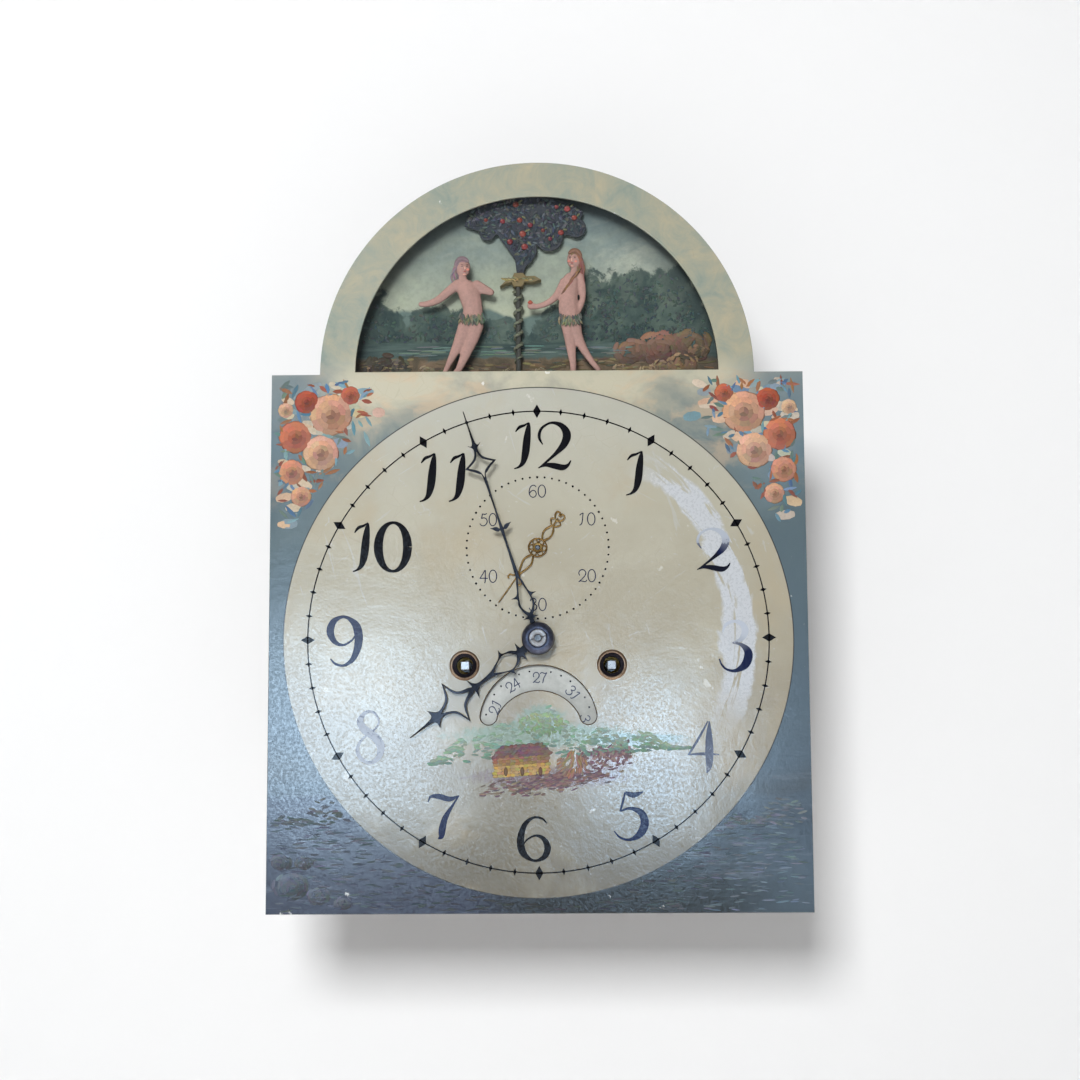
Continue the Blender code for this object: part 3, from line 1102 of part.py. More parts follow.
def make_striking_train():
    great_barrel("strike_barrel", STRIKE_PLACE)
    great_click("strike_click", STRIKE_PLACE)
    wheel = flat("strike_great_wheel", wheel_outline(STRIKE_GREAT_TEETH, STRIKE_MODULE, STRIKE_PHASE),
                 FRONT_INNER + GREAT_FRONT_DEPTH, GREAT_WHEEL_THICKNESS, STRIKE_PLACE)
    count = flat("count_wheel", count_outline(), FRONT_INNER + GREAT_BACK_DEPTH - SEAT_GAP,
                 COUNT_WHEEL_THICKNESS + SEAT_GAP, STRIKE_PLACE)
    finished(bored(fused(wheel, count), GREAT_ARBOR_RADIUS + RUN_GAP, FRONT_INNER + GREAT_FRONT_DEPTH,
                   FRONT_INNER + COUNT_BACK_DEPTH, STRIKE_PLACE), "brass")

    pin_arbor = pinion_arbor("pin_wheel", PIN_PLACE, PIN_LEAVES, STRIKE_MODULE, PIN_PHASE,
                             GREAT_FRONT_DEPTH, GREAT_WHEEL_THICKNESS)
    wheel = train_wheel("pin_wheel_rim", PIN_PLACE, PIN_TEETH, PIN_MODULE, PIN_PHASE, PIN_WHEEL_DEPTH,
                        WHEEL_THICKNESS)
    pins = []
    front = FRONT_INNER + PIN_WHEEL_DEPTH + WHEEL_THICKNESS / 2
    back = FRONT_INNER + PIN_WHEEL_DEPTH + WHEEL_THICKNESS + HAMMER_PIN_LENGTH
    shape = [(0, front), (HAMMER_PIN_RADIUS, front), (HAMMER_PIN_RADIUS, back), (0, back)]
    for k in range(HAMMER_PINS):
        place = polar(HAMMER_PIN_RING, math.tau * (k + 0.5) / HAMMER_PINS, *PIN_PLACE)
        pins.append(turned(f"hammer_pin_{k + 1}", shape, place, sides=PIN_SIDES))
    finished(fused(pin_arbor, wheel, *pins), "brass")

    stem = pinion_arbor("hoop_wheel", HOOP_PLACE, HOOP_LEAVES, PIN_MODULE, HOOP_PHASE, PIN_WHEEL_DEPTH,
                        WHEEL_THICKNESS)
    wheel = train_wheel("hoop_wheel_rim", HOOP_PLACE, HOOP_TEETH, HOOP_MODULE, HOOP_PHASE, HOOP_WHEEL_DEPTH,
                        WHEEL_THICKNESS)
    finished(fused(stem, wheel), "brass")
    stem = pinion_arbor("warning_wheel", WARNING_PLACE, WARNING_LEAVES, HOOP_MODULE, WARNING_PHASE,
                        HOOP_WHEEL_DEPTH, WHEEL_THICKNESS)
    wheel = train_wheel("warning_wheel_rim", WARNING_PLACE, WARNING_TEETH, WARNING_MODULE, WARNING_PHASE,
                        WARNING_WHEEL_DEPTH, WARNING_WHEEL_THICKNESS)
    finished(fused(stem, wheel), "brass")

    x, z = FLY_PLACE
    stem = pinion_arbor("fly", FLY_PLACE, FLY_LEAVES, WARNING_MODULE, FLY_PHASE, WARNING_WHEEL_DEPTH,
                        WARNING_WHEEL_THICKNESS)
    half = FLY_BLADE_THICKNESS / 2
    front = FRONT_INNER + FLY_DEPTH
    blade = block("fly_blade", (x - FLY_RADIUS, front, z - half),
                  (x + FLY_RADIUS, front + FLY_BLADE_LENGTH, z + half))
    finished(fused(stem, blade), "brass")


def make_bell():
    wall = BELL_WALL
    low = BELL_RIM_Z
    skin = [(wide * BELL_RIM_RADIUS, low + high * BELL_HEIGHT) for wide, high in BELL_CURVE]
    skin.append((BELL_HOLE_RADIUS, low + BELL_HEIGHT))
    inside = [(BELL_HOLE_RADIUS, low + BELL_HEIGHT - wall)]
    for wide, high in reversed(BELL_CURVE):
        inside.append((wide * BELL_RIM_RADIUS - wall, low + high * (BELL_HEIGHT - wall)))
    finished(turned("bell", skin + inside, (BELL_X, 0), True, BELL_SIDES, True, BELL_Y), "bell_metal")

    base = PLATE_ABOVE - BELL_STAND_DROP
    under = PLATE_ABOVE + BELL_AIR / 2 + BELL_STAND_RADIUS / 2
    back = BACK_OUTER + 3 * BELL_STAND_RADIUS
    route = [(BELL_STAND_X, BACK_OUTER + SEAT_GAP, base), (BELL_STAND_X, back - BELL_STAND_RADIUS, base),
             (BELL_STAND_X, back, base + BELL_STAND_RADIUS), (BELL_STAND_X, back, under - BELL_STAND_RADIUS),
             (BELL_STAND_X, back - BELL_STAND_RADIUS, under), (BELL_X, BELL_Y + 2 * BELL_STAND_RADIUS, under),
             (BELL_X, BELL_Y, under + 2 * BELL_STAND_RADIUS),
             (BELL_X, BELL_Y, BELL_TOP_Z + BELL_NUT_LENGTH / 2)]
    stand = rod("bell_stand", route, BELL_STAND_RADIUS, (BELL_X, BELL_Y, under))
    nut_low = BELL_TOP_Z + SEAT_GAP
    nut_top = nut_low + BELL_NUT_LENGTH
    shape = [(0, nut_low), (BELL_NUT_RADIUS, nut_low), (BELL_NUT_RADIUS, nut_top), (0, nut_top)]
    nut = turned("bell_nut", shape, (BELL_X, 0), False, HEX_SIDES, True, BELL_Y)
    finished(fused(stand, nut), "steel")


def make_hammer():
    x, z = HAMMER_PLACE
    face = BELL_X - BELL_RIM_RADIUS - HAMMER_HEAD_AIR
    tail_end = face - HAMMER_HEAD_LENGTH
    head_x = (face + tail_end) / 2
    head_z = BELL_RIM_Z + HAMMER_HEAD_RADIUS / 2
    stem = turned("hammer", arbor_profile(HAMMER_ARBOR_RADIUS, FRONT_INNER, BACK_INNER), HAMMER_PLACE,
                  sides=PIVOT_SIDES)
    shaft = rod("hammer_shaft", [(x, BELL_Y, z), (head_x, BELL_Y, PLATE_ABOVE), (head_x, BELL_Y, head_z)],
                HAMMER_SHAFT_RADIUS, (x, BELL_Y, z))
    head = rod("hammer_head", [(tail_end, BELL_Y, head_z), (face, BELL_Y, head_z)], HAMMER_HEAD_RADIUS,
               (face, BELL_Y, head_z), 2)
    toward = math.atan2(PIN_PLACE[1] - z, PIN_PLACE[0] - x)
    tail = flat("hammer_tail", strip((0, 0), polar(HAMMER_TAIL_LENGTH, toward), HAMMER_TAIL_WIDTH),
                FRONT_INNER + PIN_WHEEL_DEPTH + WHEEL_THICKNESS + SIDE_AIR, HAMMER_PIN_LENGTH - SIDE_AIR,
                HAMMER_PLACE)
    finished(fused(stem, shaft, head, tail), "steel")


def make_lifting_lever():
    x, z = LIFTING_PLACE
    arm_back = FRONT_OUTER - LIFTING_ARM_AIR
    arm_front = arm_back - LIFTING_ARM_THICKNESS
    lathe = [(0, arm_front), (LIFTING_ARBOR_RADIUS, arm_front), (LIFTING_ARBOR_RADIUS, BACK_INNER - SEAT_GAP),
             (PIVOT_RADIUS, BACK_INNER - SEAT_GAP), (PIVOT_RADIUS, BACK_OUTER), (0, BACK_OUTER)]
    stem = turned("lifting_lever", lathe, LIFTING_PLACE, sides=PIVOT_SIDES)
    elbow = (LIFTING_ELBOW[0] - x, LIFTING_ELBOW[1] - z)
    end = (LIFTING_END[0] - x, LIFTING_END[1] - z)
    upper = flat("lifting_upper_arm", strip((0, 0), elbow, LIFTING_ARM_WIDTH), arm_front,
                 LIFTING_ARM_THICKNESS, LIFTING_PLACE)
    lower = flat("lifting_lower_arm", strip(elbow, end, LIFTING_ARM_WIDTH), arm_front,
                 LIFTING_ARM_THICKNESS, LIFTING_PLACE)
    eye = flat("lifting_elbow", circle(LIFTING_ELBOW_RADIUS, PIVOT_SIDES, *elbow), arm_front,
               LIFTING_ARM_THICKNESS, LIFTING_PLACE)
    reach = span(LIFTING_PLACE, STRIKE_PLACE) - COUNT_WHEEL_RADIUS - LIFTING_DETENT_AIR
    toward = math.atan2(STRIKE_PLACE[1] - z, STRIKE_PLACE[0] - x)
    detent = flat("lifting_detent", strip((0, 0), polar(reach, toward), LIFTING_ARM_WIDTH),
                  FRONT_INNER + GREAT_BACK_DEPTH, COUNT_WHEEL_THICKNESS, LIFTING_PLACE)
    finished(fused(stem, upper, lower, eye, detent), "steel")


# Motion work

CANNON_PHASE = 0.0
MINUTE_WHEEL_PHASE = meshed_phase(CENTRE_PLACE, CANNON_TEETH, CANNON_PHASE, MINUTE_WHEEL_PLACE,
                                  MINUTE_WHEEL_TEETH)
HOUR_PHASE = meshed_phase(MINUTE_WHEEL_PLACE, MINUTE_LEAVES, MINUTE_WHEEL_PHASE, CENTRE_PLACE, HOUR_TEETH)


def post(name, radius, front, back, place=CENTRE_PLACE, sides=ROUND_SIDES):
    return turned(name, [(0, front), (radius, front), (radius, back), (0, back)], place, sides=sides)


def make_motion_work():
    cannon = flat("cannon_wheel", wheel_outline(CANNON_TEETH, CANNON_MODULE, CANNON_PHASE), CANNON_FRONT,
                  WHEEL_THICKNESS, CENTRE_PLACE)
    tube = post("cannon_pipe", CANNON_PIPE, MINUTE_HAND_FRONT, CANNON_BACK - WHEEL_THICKNESS / 2)
    finished(bored(fused(cannon, tube), CANNON_BORE, MINUTE_HAND_FRONT, CANNON_BACK), "brass")

    wheel = flat("minute_wheel", pinion_outline(MINUTE_WHEEL_TEETH, CANNON_MODULE, MINUTE_WHEEL_PHASE),
                 CANNON_FRONT, WHEEL_THICKNESS, MINUTE_WHEEL_PLACE)
    front = CANNON_FRONT - MINUTE_PINION_LENGTH
    leaves = flat("minute_leaves", pinion_outline(MINUTE_LEAVES, HOUR_MODULE, MINUTE_WHEEL_PHASE), front,
                  MINUTE_PINION_LENGTH + WHEEL_THICKNESS / 2, MINUTE_WHEEL_PLACE)
    finished(bored(fused(wheel, leaves), MINUTE_STUD_RADIUS + RUN_GAP, front, CANNON_BACK, MINUTE_WHEEL_PLACE,
                   PIVOT_SIDES), "brass")
    front -= SEAT_GAP
    collar = CANNON_BACK + SEAT_GAP
    stud = [(0, front - SIDE_AIR), (MINUTE_STUD_HEAD, front - SIDE_AIR), (MINUTE_STUD_HEAD, front),
            (MINUTE_STUD_RADIUS, front), (MINUTE_STUD_RADIUS, collar), (MINUTE_STUD_HEAD, collar),
            (MINUTE_STUD_HEAD, FRONT_OUTER - SEAT_GAP), (0, FRONT_OUTER - SEAT_GAP)]
    finished(turned("minute_stud", stud, MINUTE_WHEEL_PLACE, sides=PIVOT_SIDES), "steel")

    half = BRIDGE_SPAN / 2
    tall = BRIDGE_HEIGHT / 2
    side = half + BRIDGE_FOOT_RADIUS
    strap = flat("hour_bridge", rectangle(-side, side, -tall, tall), BRIDGE_FRONT, BRIDGE_THICKNESS,
                 CENTRE_PLACE)
    pipe_front = BRIDGE_FRONT - BRIDGE_PIPE_LENGTH
    tube = post("bridge_pipe", BRIDGE_PIPE, pipe_front, BRIDGE_FRONT + BRIDGE_THICKNESS / 2)
    feet = []
    for name, x in (("bridge_foot_left", -half), ("bridge_foot_right", half)):
        feet.append(post(name, BRIDGE_FOOT_RADIUS, BRIDGE_BACK - BRIDGE_THICKNESS / 2, FRONT_OUTER - SEAT_GAP,
                         (x, 0), PIVOT_SIDES))
    finished(bored(fused(strap, tube, *feet), BRIDGE_BORE, pipe_front, BRIDGE_BACK), "brass")

    wheel = flat("hour_wheel", wheel_outline(HOUR_TEETH, HOUR_MODULE, HOUR_PHASE), HOUR_WHEEL_FRONT,
                 WHEEL_THICKNESS, CENTRE_PLACE)
    tube = post("hour_pipe", HOUR_PIPE, HOUR_HAND_FRONT, HOUR_WHEEL_BACK - WHEEL_THICKNESS / 2)
    reach = DATE_DROP - DATE_OPENING_RADIUS - DATE_DISC_MARGIN - SIDE_AIR
    half = DATE_FINGER_WIDTH / 2
    finger = flat("date_finger", rectangle(0, reach, -half, half), DIAL_BACK + DATE_DISC_AIR,
                  DATE_DISC_THICKNESS, CENTRE_PLACE)
    finished(bored(fused(wheel, tube, finger), HOUR_BORE, HOUR_HAND_FRONT, HOUR_WHEEL_BACK), "brass")


# Arch scene

def scene_sheet(name, outline, front, place, holes=()):
    return flat(name, outline, front, SHEET_THICKNESS, place, holes)


def figure_outline(left, right, head, pivot_x):
    # The head is an oval over the shoulders, and a tab below the feet takes the rocking arbor.
    x, z, half_width, half_height = head
    crown = oval(x, z, half_width, half_height, math.pi + HEAD_NECK_ANGLE, -HEAD_NECK_ANGLE, HEAD_POINTS)
    middle = pivot_x / MM
    tab = [(middle + FIGURE_TAB_HALF_WIDTH, -FIGURE_TAB_DEPTH),
           (middle - FIGURE_TAB_HALF_WIDTH, -FIGURE_TAB_DEPTH)]
    return from_mm(tab + left + crown + right, pivot_x, -PIVOT_DROP)


def crown_outline():
    lobes = []
    for x, z, radius, start, end in CROWN_LOBES:
        lobes.append(arc(x, z, radius, math.radians(start), math.radians(end), LOBE_POINTS))
    left = CROWN_LEFT_SIDE + list(reversed(lobes[0]))
    return from_mm(left + CROWN_TOP + lobes[1] + lobes[2] + CROWN_RIGHT_SIDE)


def stud(name, x, z, front):
    back = BACKDROP_FRONT - SEAT_GAP
    shape = [(0, front), (TREE_STUD_RADIUS, front), (TREE_STUD_RADIUS, back), (0, back)]
    return turned(name, shape, (x, ARCH_Z + z), sides=HEX_SIDES)


def make_arch_scene():
    reach = OPENING_RADIUS + BACKDROP_LAP
    outline = [(-reach, -BACKDROP_APRON), (reach, -BACKDROP_APRON)]
    outline += arc(0, 0, reach, 0, math.pi, FINE_SIDES // 2)
    bearings = [circle(ROCKER_ARBOR_RADIUS + RUN_GAP, PIVOT_SIDES, x, -PIVOT_DROP)
                for x in (MAN_PIVOT_X, WOMAN_PIVOT_X)]
    finished(scene_sheet("arch_backdrop", outline, BACKDROP_FRONT, (0, ARCH_Z), bearings), "landscape_paint")
    front = DIAL_BACK + SEAT_GAP
    back = BACKDROP_FRONT - SEAT_GAP
    post = [(0, front), (BACKDROP_POST_RADIUS, front), (BACKDROP_POST_RADIUS, back), (0, back)]
    ring = (OPENING_RADIUS + min(ARCH_RADIUS, reach)) / 2
    for side, angle in (("right", BACKDROP_POST_ANGLE), ("left", math.pi - BACKDROP_POST_ANGLE)):
        place = polar(ring, angle, 0, ARCH_Z)
        finished(turned("backdrop_post_" + side, post, place, sides=PIVOT_SIDES), "steel")

    crown = scene_sheet("tree_crown", crown_outline(), TREE_FRONT, (0, ARCH_Z))
    studs = []
    for x, z in from_mm(CROWN_STUDS):
        studs.append(stud(f"crown_stud_{len(studs) + 1}", x, z, TREE_BACK - SEAT_GAP))
    finished(fused(crown, *studs), "tree_paint")
    trunk_y = (TREE_FRONT + TREE_BACK) / 2
    lathe = [(0, -TRUNK_FOOT_DROP), (TRUNK_RADIUS, -TRUNK_FOOT_DROP), (TRUNK_RADIUS, TRUNK_TOP),
             (0, TRUNK_TOP)]
    trunk = turned("tree_trunk", lathe, (TREE_X, ARCH_Z), False, PIVOT_SIDES, True, trunk_y)
    foot = stud("trunk_stud_low", TREE_X, 0, trunk_y)
    finished(fused(trunk, foot), "leaf_paint")
    coil = TRUNK_RADIUS + SEAT_GAP + SERPENT_RADIUS
    steps = SERPENT_TURNS * SERPENT_POINTS_PER_TURN
    route = []
    for i in range(steps + 1):
        angle = math.tau * i / SERPENT_POINTS_PER_TURN
        rise = SERPENT_FOOT + (SERPENT_TOP - SERPENT_FOOT) * i / steps
        route.append((TREE_X + coil * math.cos(angle), trunk_y + coil * math.sin(angle), ARCH_Z + rise))
    finished(rod("serpent", route, SERPENT_RADIUS, (TREE_X, trunk_y, ARCH_Z)), "serpent_paint")
    capital_front = trunk_y - TRUNK_RADIUS - SEAT_GAP - SHEET_THICKNESS
    capital = scene_sheet("leaf_capital", from_mm(CAPITAL_OUTLINE), capital_front, (0, ARCH_Z))
    middle = (TRUNK_TOP + CROWN_LEFT_SIDE[0][1] * MM) / 2
    held = stud("capital_stud", TREE_X, middle, capital_front + SHEET_THICKNESS - SEAT_GAP)
    finished(fused(capital, held), "leaf_paint")


def make_rocker(name, figure, pivot_x, left, right, head, leg_gap):
    place = (pivot_x, ROCKER_Z)
    bore = circle(ROCKER_ARBOR_RADIUS + SEAT_GAP, PIVOT_SIDES)
    outline = figure_outline(left, right, head, pivot_x)
    holes = [bore, from_mm(leg_gap, pivot_x, -PIVOT_DROP)]
    finished(scene_sheet(figure, outline, FIGURE_FRONT, place, holes), "flesh_paint")
    lathe = [(0, FIGURE_FRONT), (ROCKER_ARBOR_RADIUS, FIGURE_FRONT),
             (ROCKER_ARBOR_RADIUS, BACKDROP_BACK + SEAT_GAP),
             (ROCKER_COLLAR_RADIUS, BACKDROP_BACK + SEAT_GAP),
             (ROCKER_COLLAR_RADIUS, CRANK_BACK - SEAT_GAP), (0, CRANK_BACK - SEAT_GAP)]
    arbor = turned(name, lathe, place, sides=PIVOT_SIDES)
    half = CRANK_WIDTH / 2
    low = -CRANK_LENGTH - ROCKER_WEIGHT_DROP
    blade = rectangle(-half, half, low, ROCKER_COLLAR_RADIUS + SIDE_AIR)
    crank = scene_sheet(name + "_crank", blade, CRANK_FRONT, place)
    pin_shape = [(0, CRANK_FRONT + SEAT_GAP), (CRANK_PIN_RADIUS, CRANK_FRONT + SEAT_GAP),
                 (CRANK_PIN_RADIUS, ROCKER_BAR_BACK + SIDE_AIR), (0, ROCKER_BAR_BACK + SIDE_AIR)]
    pin = turned(name + "_pin", pin_shape, (pivot_x, ROCKER_BAR_Z), sides=PIVOT_SIDES)
    weight_shape = [(0, BACKDROP_BACK + SIDE_AIR), (ROCKER_WEIGHT_RADIUS, BACKDROP_BACK + SIDE_AIR),
                    (ROCKER_WEIGHT_RADIUS, CRANK_BACK - SEAT_GAP), (0, CRANK_BACK - SEAT_GAP)]
    weight = turned(name + "_weight", weight_shape, (pivot_x, ROCKER_Z + low), sides=ROUND_SIDES)
    finished(fused(arbor, crank, pin, weight), "steel")


def make_rocker_bar():
    tall = ROCKER_BAR_HEIGHT / 2
    left = MAN_PIVOT_X - ROCKER_BAR_END
    right = WOMAN_PIVOT_X + ROCKER_BAR_END
    wide = CRANK_PIN_RADIUS + RUN_GAP
    high = CRANK_PIN_RADIUS + ROCKER_SLOT_RISE
    pins = (MAN_PIVOT_X, ANCHOR_PLACE[0], WOMAN_PIVOT_X)
    slots = [rectangle(x - wide, x + wide, -high, high) for x in pins]
    bar = rectangle(left, right, -tall, tall)
    finished(scene_sheet("rocker_bar", bar, ROCKER_BAR_FRONT, (0, ROCKER_BAR_Z), slots), "brass")


make_dial()
make_date()
make_hands()
make_frame()
make_seatboard()
make_back_cock()
make_going_train()
make_anchor()
make_striking_train()
make_bell()
make_hammer()
make_lifting_lever()
make_motion_work()
make_arch_scene()
make_rocker("man_rocker", "man_figure", MAN_PIVOT_X, MAN_LEFT_SIDE, MAN_RIGHT_SIDE, MAN_HEAD, MAN_LEG_GAP)
make_rocker("woman_rocker", "woman_figure", WOMAN_PIVOT_X, WOMAN_LEFT_SIDE, WOMAN_RIGHT_SIDE, WOMAN_HEAD,
            WOMAN_LEG_GAP)
make_rocker_bar()
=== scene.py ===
import json
import random
from math import asin, atan2, cos, degrees, exp, hypot, pi, radians, sin, sqrt, tau

import bmesh
import bpy
from mathutils import Matrix, Vector


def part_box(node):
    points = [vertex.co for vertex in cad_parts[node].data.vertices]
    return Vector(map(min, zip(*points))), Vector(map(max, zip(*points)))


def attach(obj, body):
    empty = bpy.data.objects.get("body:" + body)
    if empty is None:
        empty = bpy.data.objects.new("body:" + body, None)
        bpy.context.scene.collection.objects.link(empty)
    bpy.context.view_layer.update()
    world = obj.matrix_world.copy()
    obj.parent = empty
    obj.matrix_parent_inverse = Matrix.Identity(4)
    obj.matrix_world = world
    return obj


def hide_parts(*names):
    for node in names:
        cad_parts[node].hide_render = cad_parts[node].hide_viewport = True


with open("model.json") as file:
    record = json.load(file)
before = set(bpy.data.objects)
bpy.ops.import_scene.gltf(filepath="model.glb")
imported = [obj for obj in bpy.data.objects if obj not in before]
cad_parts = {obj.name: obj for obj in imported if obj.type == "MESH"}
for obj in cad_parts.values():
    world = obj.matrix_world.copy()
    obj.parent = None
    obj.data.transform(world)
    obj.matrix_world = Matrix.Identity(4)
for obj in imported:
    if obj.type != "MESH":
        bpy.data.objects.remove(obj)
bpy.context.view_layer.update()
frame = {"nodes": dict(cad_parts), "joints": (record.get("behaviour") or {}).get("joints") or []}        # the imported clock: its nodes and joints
mm = 0.001
upright = Matrix.Rotation(pi / 2, 4, "X")    # a flat drawing stands up: x right, z up, lift to the front
bpy.context.scene.view_settings.view_transform = "Standard"


def spot(joint):
    place = next(item["pos_m"] for item in frame["joints"] if item["name"] == joint)
    return place[0], place[2]


dialLow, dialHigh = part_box("dial_plate")
dialFront = dialLow.y
dialBack = dialHigh.y
dialHalf = dialHigh.x
archZ = dialLow.z + 2 * dialHalf          # where the arch springs from the square
archRadius = dialHigh.z - archZ
handX, handZ = spot("centre_turn")
secondsX, secondsZ = spot("escape_turn")
dateX, dateZ = spot("date_turn")
print("frame loaded")


# shader and geometry node wiring
class Wire:
    def __init__(self, tree, socket=None):
        self.tree = tree
        self.socket = socket

    def node(self, kind, links=None, out=0, **settings):
        made = self.tree.nodes.new(kind)
        for key, value in settings.items():
            setattr(made, key, value)
        for key, value in (links or {}).items():
            for each in value if isinstance(value, list) else [value]:
                if isinstance(each, Wire):
                    self.tree.links.new(each.socket, made.inputs[key])
                else:
                    made.inputs[key].default_value = each
        return Wire(self.tree, made.outputs[out])

    def ends(self, kind):
        self.tree.links.new(self.socket, self.tree.nodes.new(kind).inputs[0])

    def math(self, operation, other=0.0, swapped=False):
        first, second = (other, self) if swapped else (self, other)
        return self.node("ShaderNodeMath", {0: first, 1: second}, operation=operation)

    def __pow__(self, other):
        return self.math("POWER", other)

    def __abs__(self):
        return self.math("ABSOLUTE")

    def smooth(self, low, high, first=0.0, last=1.0):
        return self.node("ShaderNodeMapRange", {0: self, 1: low, 2: high, 3: first, 4: last},
                         interpolation_type="SMOOTHSTEP")

    def mix(self, first, second):
        first, second = (shade(*tone) if isinstance(tone, tuple) else tone for tone in (first, second))
        return self.node("ShaderNodeMix", {0: self, 6: first, 7: second}, 2, data_type="RGBA")

    def ramp(self, stops):
        made = self.node("ShaderNodeValToRGB", {"Fac": self}, "Color")
        elements = made.socket.node.color_ramp.elements
        while len(elements) < len(stops):
            elements.new(0.5)
        for element, (place, tone) in zip(elements, stops):
            element.position = place
            element.color = shade(*tone)
        return made

    def bump(self, strength, distance, under=None):
        links = {"Strength": strength, "Distance": distance, "Height": self}
        if under:
            links["Normal"] = under
        return self.node("ShaderNodeBump", links, "Normal")

    def split(self):
        parts = self.node("ShaderNodeSeparateXYZ", {0: self}).socket.node.outputs
        return [Wire(self.tree, part) for part in parts]

    def stretch(self, x, y, z):
        return self.node("ShaderNodeMapping", {"Vector": self, "Scale": (x, y, z)})

    def grain(self, scale, detail=3.0, roughness=0.5, distortion=0.0):
        return self.node("ShaderNodeTexNoise", {"Vector": self, "Scale": scale, "Detail": detail,
                "Roughness": roughness, "Distortion": distortion}, "Fac")


for word, operation in (("add", "ADD"), ("sub", "SUBTRACT"), ("mul", "MULTIPLY"), ("truediv", "DIVIDE")):
    setattr(Wire, f"__{word}__", lambda self, other, kind=operation: self.math(kind, other))
    setattr(Wire, f"__r{word}__", lambda self, other, kind=operation: self.math(kind, other, True))


def shade(red, green, blue):
    linear = [((part / 255 + 0.055) / 1.055) ** 2.4 for part in (red, green, blue)]
    return (*linear, 1.0)


def freshBoard(owner):
    owner.use_nodes = True
    owner.node_tree.nodes.clear()
    return Wire(owner.node_tree)


def newFinish(name, paint, **fixed):
    material = bpy.data.materials.new(name)
    board = freshBoard(material)
    shader = board.node("ShaderNodeBsdfPrincipled")
    sockets = shader.socket.node.inputs
    for key, value in fixed.items():
        sockets[key.replace("_", " ")].default_value = value
    for key, value in paint(board).items():
        board.tree.links.new(value.socket, sockets[key])
    shader.ends("ShaderNodeOutputMaterial")
    return material


def ovalReach(x, z, middleX, middleZ, wide, tall):
    return (((x - middleX * mm) / (wide * mm)) ** 2 + ((z - middleZ * mm) / (tall * mm)) ** 2) ** 0.5


def objectPlace(board):
    return board.node("ShaderNodeTexCoord", out="Object")


# metals and wood of the movement
metalTones = {
    "brass": dict(dark=(158, 124, 66), light=(204, 170, 104), roughness=0.28, scratch=260),
    "steel": dict(dark=(96, 96, 98), light=(176, 176, 178), roughness=0.28, scratch=340),
    "bluedSteel": dict(dark=(29, 29, 34), light=(74, 75, 82), roughness=0.32, scratch=300),
    "colletSteel": dict(dark=(66, 68, 84), light=(136, 140, 160), roughness=0.3, scratch=300),
    # painted reflection: a pale colour with little metal stands in for the shine of polished steel
    "brightSteel": dict(dark=(150, 152, 156), light=(214, 216, 220), roughness=0.24, scratch=380, metal=0.4),
    "gilt": dict(dark=(136, 100, 54), light=(218, 174, 108), roughness=0.3, scratch=420),
    "bellMetal": dict(dark=(128, 104, 62), light=(198, 172, 116), roughness=0.26, scratch=200),
    # black standing in for shade: the sleeves of the winding holes and the screw slots
    "blackWax": dict(dark=(18, 16, 18), light=(52, 44, 46), roughness=0.4, scratch=420),
    "copperRing": dict(dark=(110, 80, 60), light=(198, 164, 134), roughness=0.36, scratch=420),
    "dateEdge": dict(dark=(54, 40, 30), light=(112, 88, 62), roughness=0.5, scratch=420),
}


def metalFinish(name, dark, light, roughness, scratch, metal=1.0):
    def paint(board):
        at = objectPlace(board)
        cloud = at.grain(26, 5, 0.6)  # tarnish
        speck = at.grain(scratch, 4, 0.7)
        brushed = at.stretch(1, 1, 9).grain(scratch * 1.7, 2, 0.5)
        tone = (cloud * 0.7 + speck * 0.3).smooth(0.32, 0.66)
        return {"Base Color": tone.mix(dark, light), "Roughness": cloud.smooth(0.3, 0.7, roughness + 0.16,
                roughness - 0.05) + (speck - 0.5) * 0.12,
                "Normal": (brushed * 0.6 + speck * 0.4).bump(0.12, 0.0002)}
    return newFinish(name, paint, Metallic=metal)


def oakPaint(board):
    at = objectPlace(board)
    grain = at.stretch(3, 42, 42).grain(4.5, 6, 0.62, 0.7)
    pores = at.stretch(30, 420, 420).grain(3.2, 3, 0.6)
    ring = at.stretch(0.6, 9, 9).grain(7, 3, 0.5)
    tone = (grain * 0.75 + ring * 0.25).ramp([(0.3, (74, 50, 30)), (0.5, (112, 78, 46)),
            (0.68, (142, 104, 64))])
    dark = pores.smooth(0.58, 0.7)
    return {"Base Color": (dark * 0.55).mix(tone, (46, 30, 18)),
            "Roughness": grain.smooth(0.3, 0.7, 0.72, 0.5),
            "Normal": (grain * 0.5 + (1 - dark) * 0.5).bump(0.35, 0.0006)}


# the dial's paint: cream disc, clouded corners and marbled arch border
dialTones = dict(worn=(186, 190, 196), warm=(174, 158, 128), line=(36, 38, 42), iron=(84, 76, 68),
                 discEdge=156 * mm, lineHalf=0.42 * mm, wornRing=124 * mm, discStops=[(0.03, (104, 99, 86)),
        (0.16, (124, 118, 102)), (0.33, (139, 131, 114)), (0.5, (160, 153, 134)), (0.75, (173, 169, 152)),
        (1.0, (174, 174, 163))], cornerStops=[(0.0, (22, 30, 32)), (0.08, (36, 46, 52)), (0.16, (56, 68, 80)),
        (0.27, (78, 93, 106)), (0.5, (80, 96, 106)), (0.7, (86, 102, 108)), (0.84, (104, 118, 120)),
        (0.93, (154, 154, 140)), (1.0, (186, 181, 160))], borderStops=[(0.32, (116, 134, 130)),
        (0.44, (144, 151, 138)), (0.55, (164, 160, 139)), (0.68, (186, 170, 140))], )
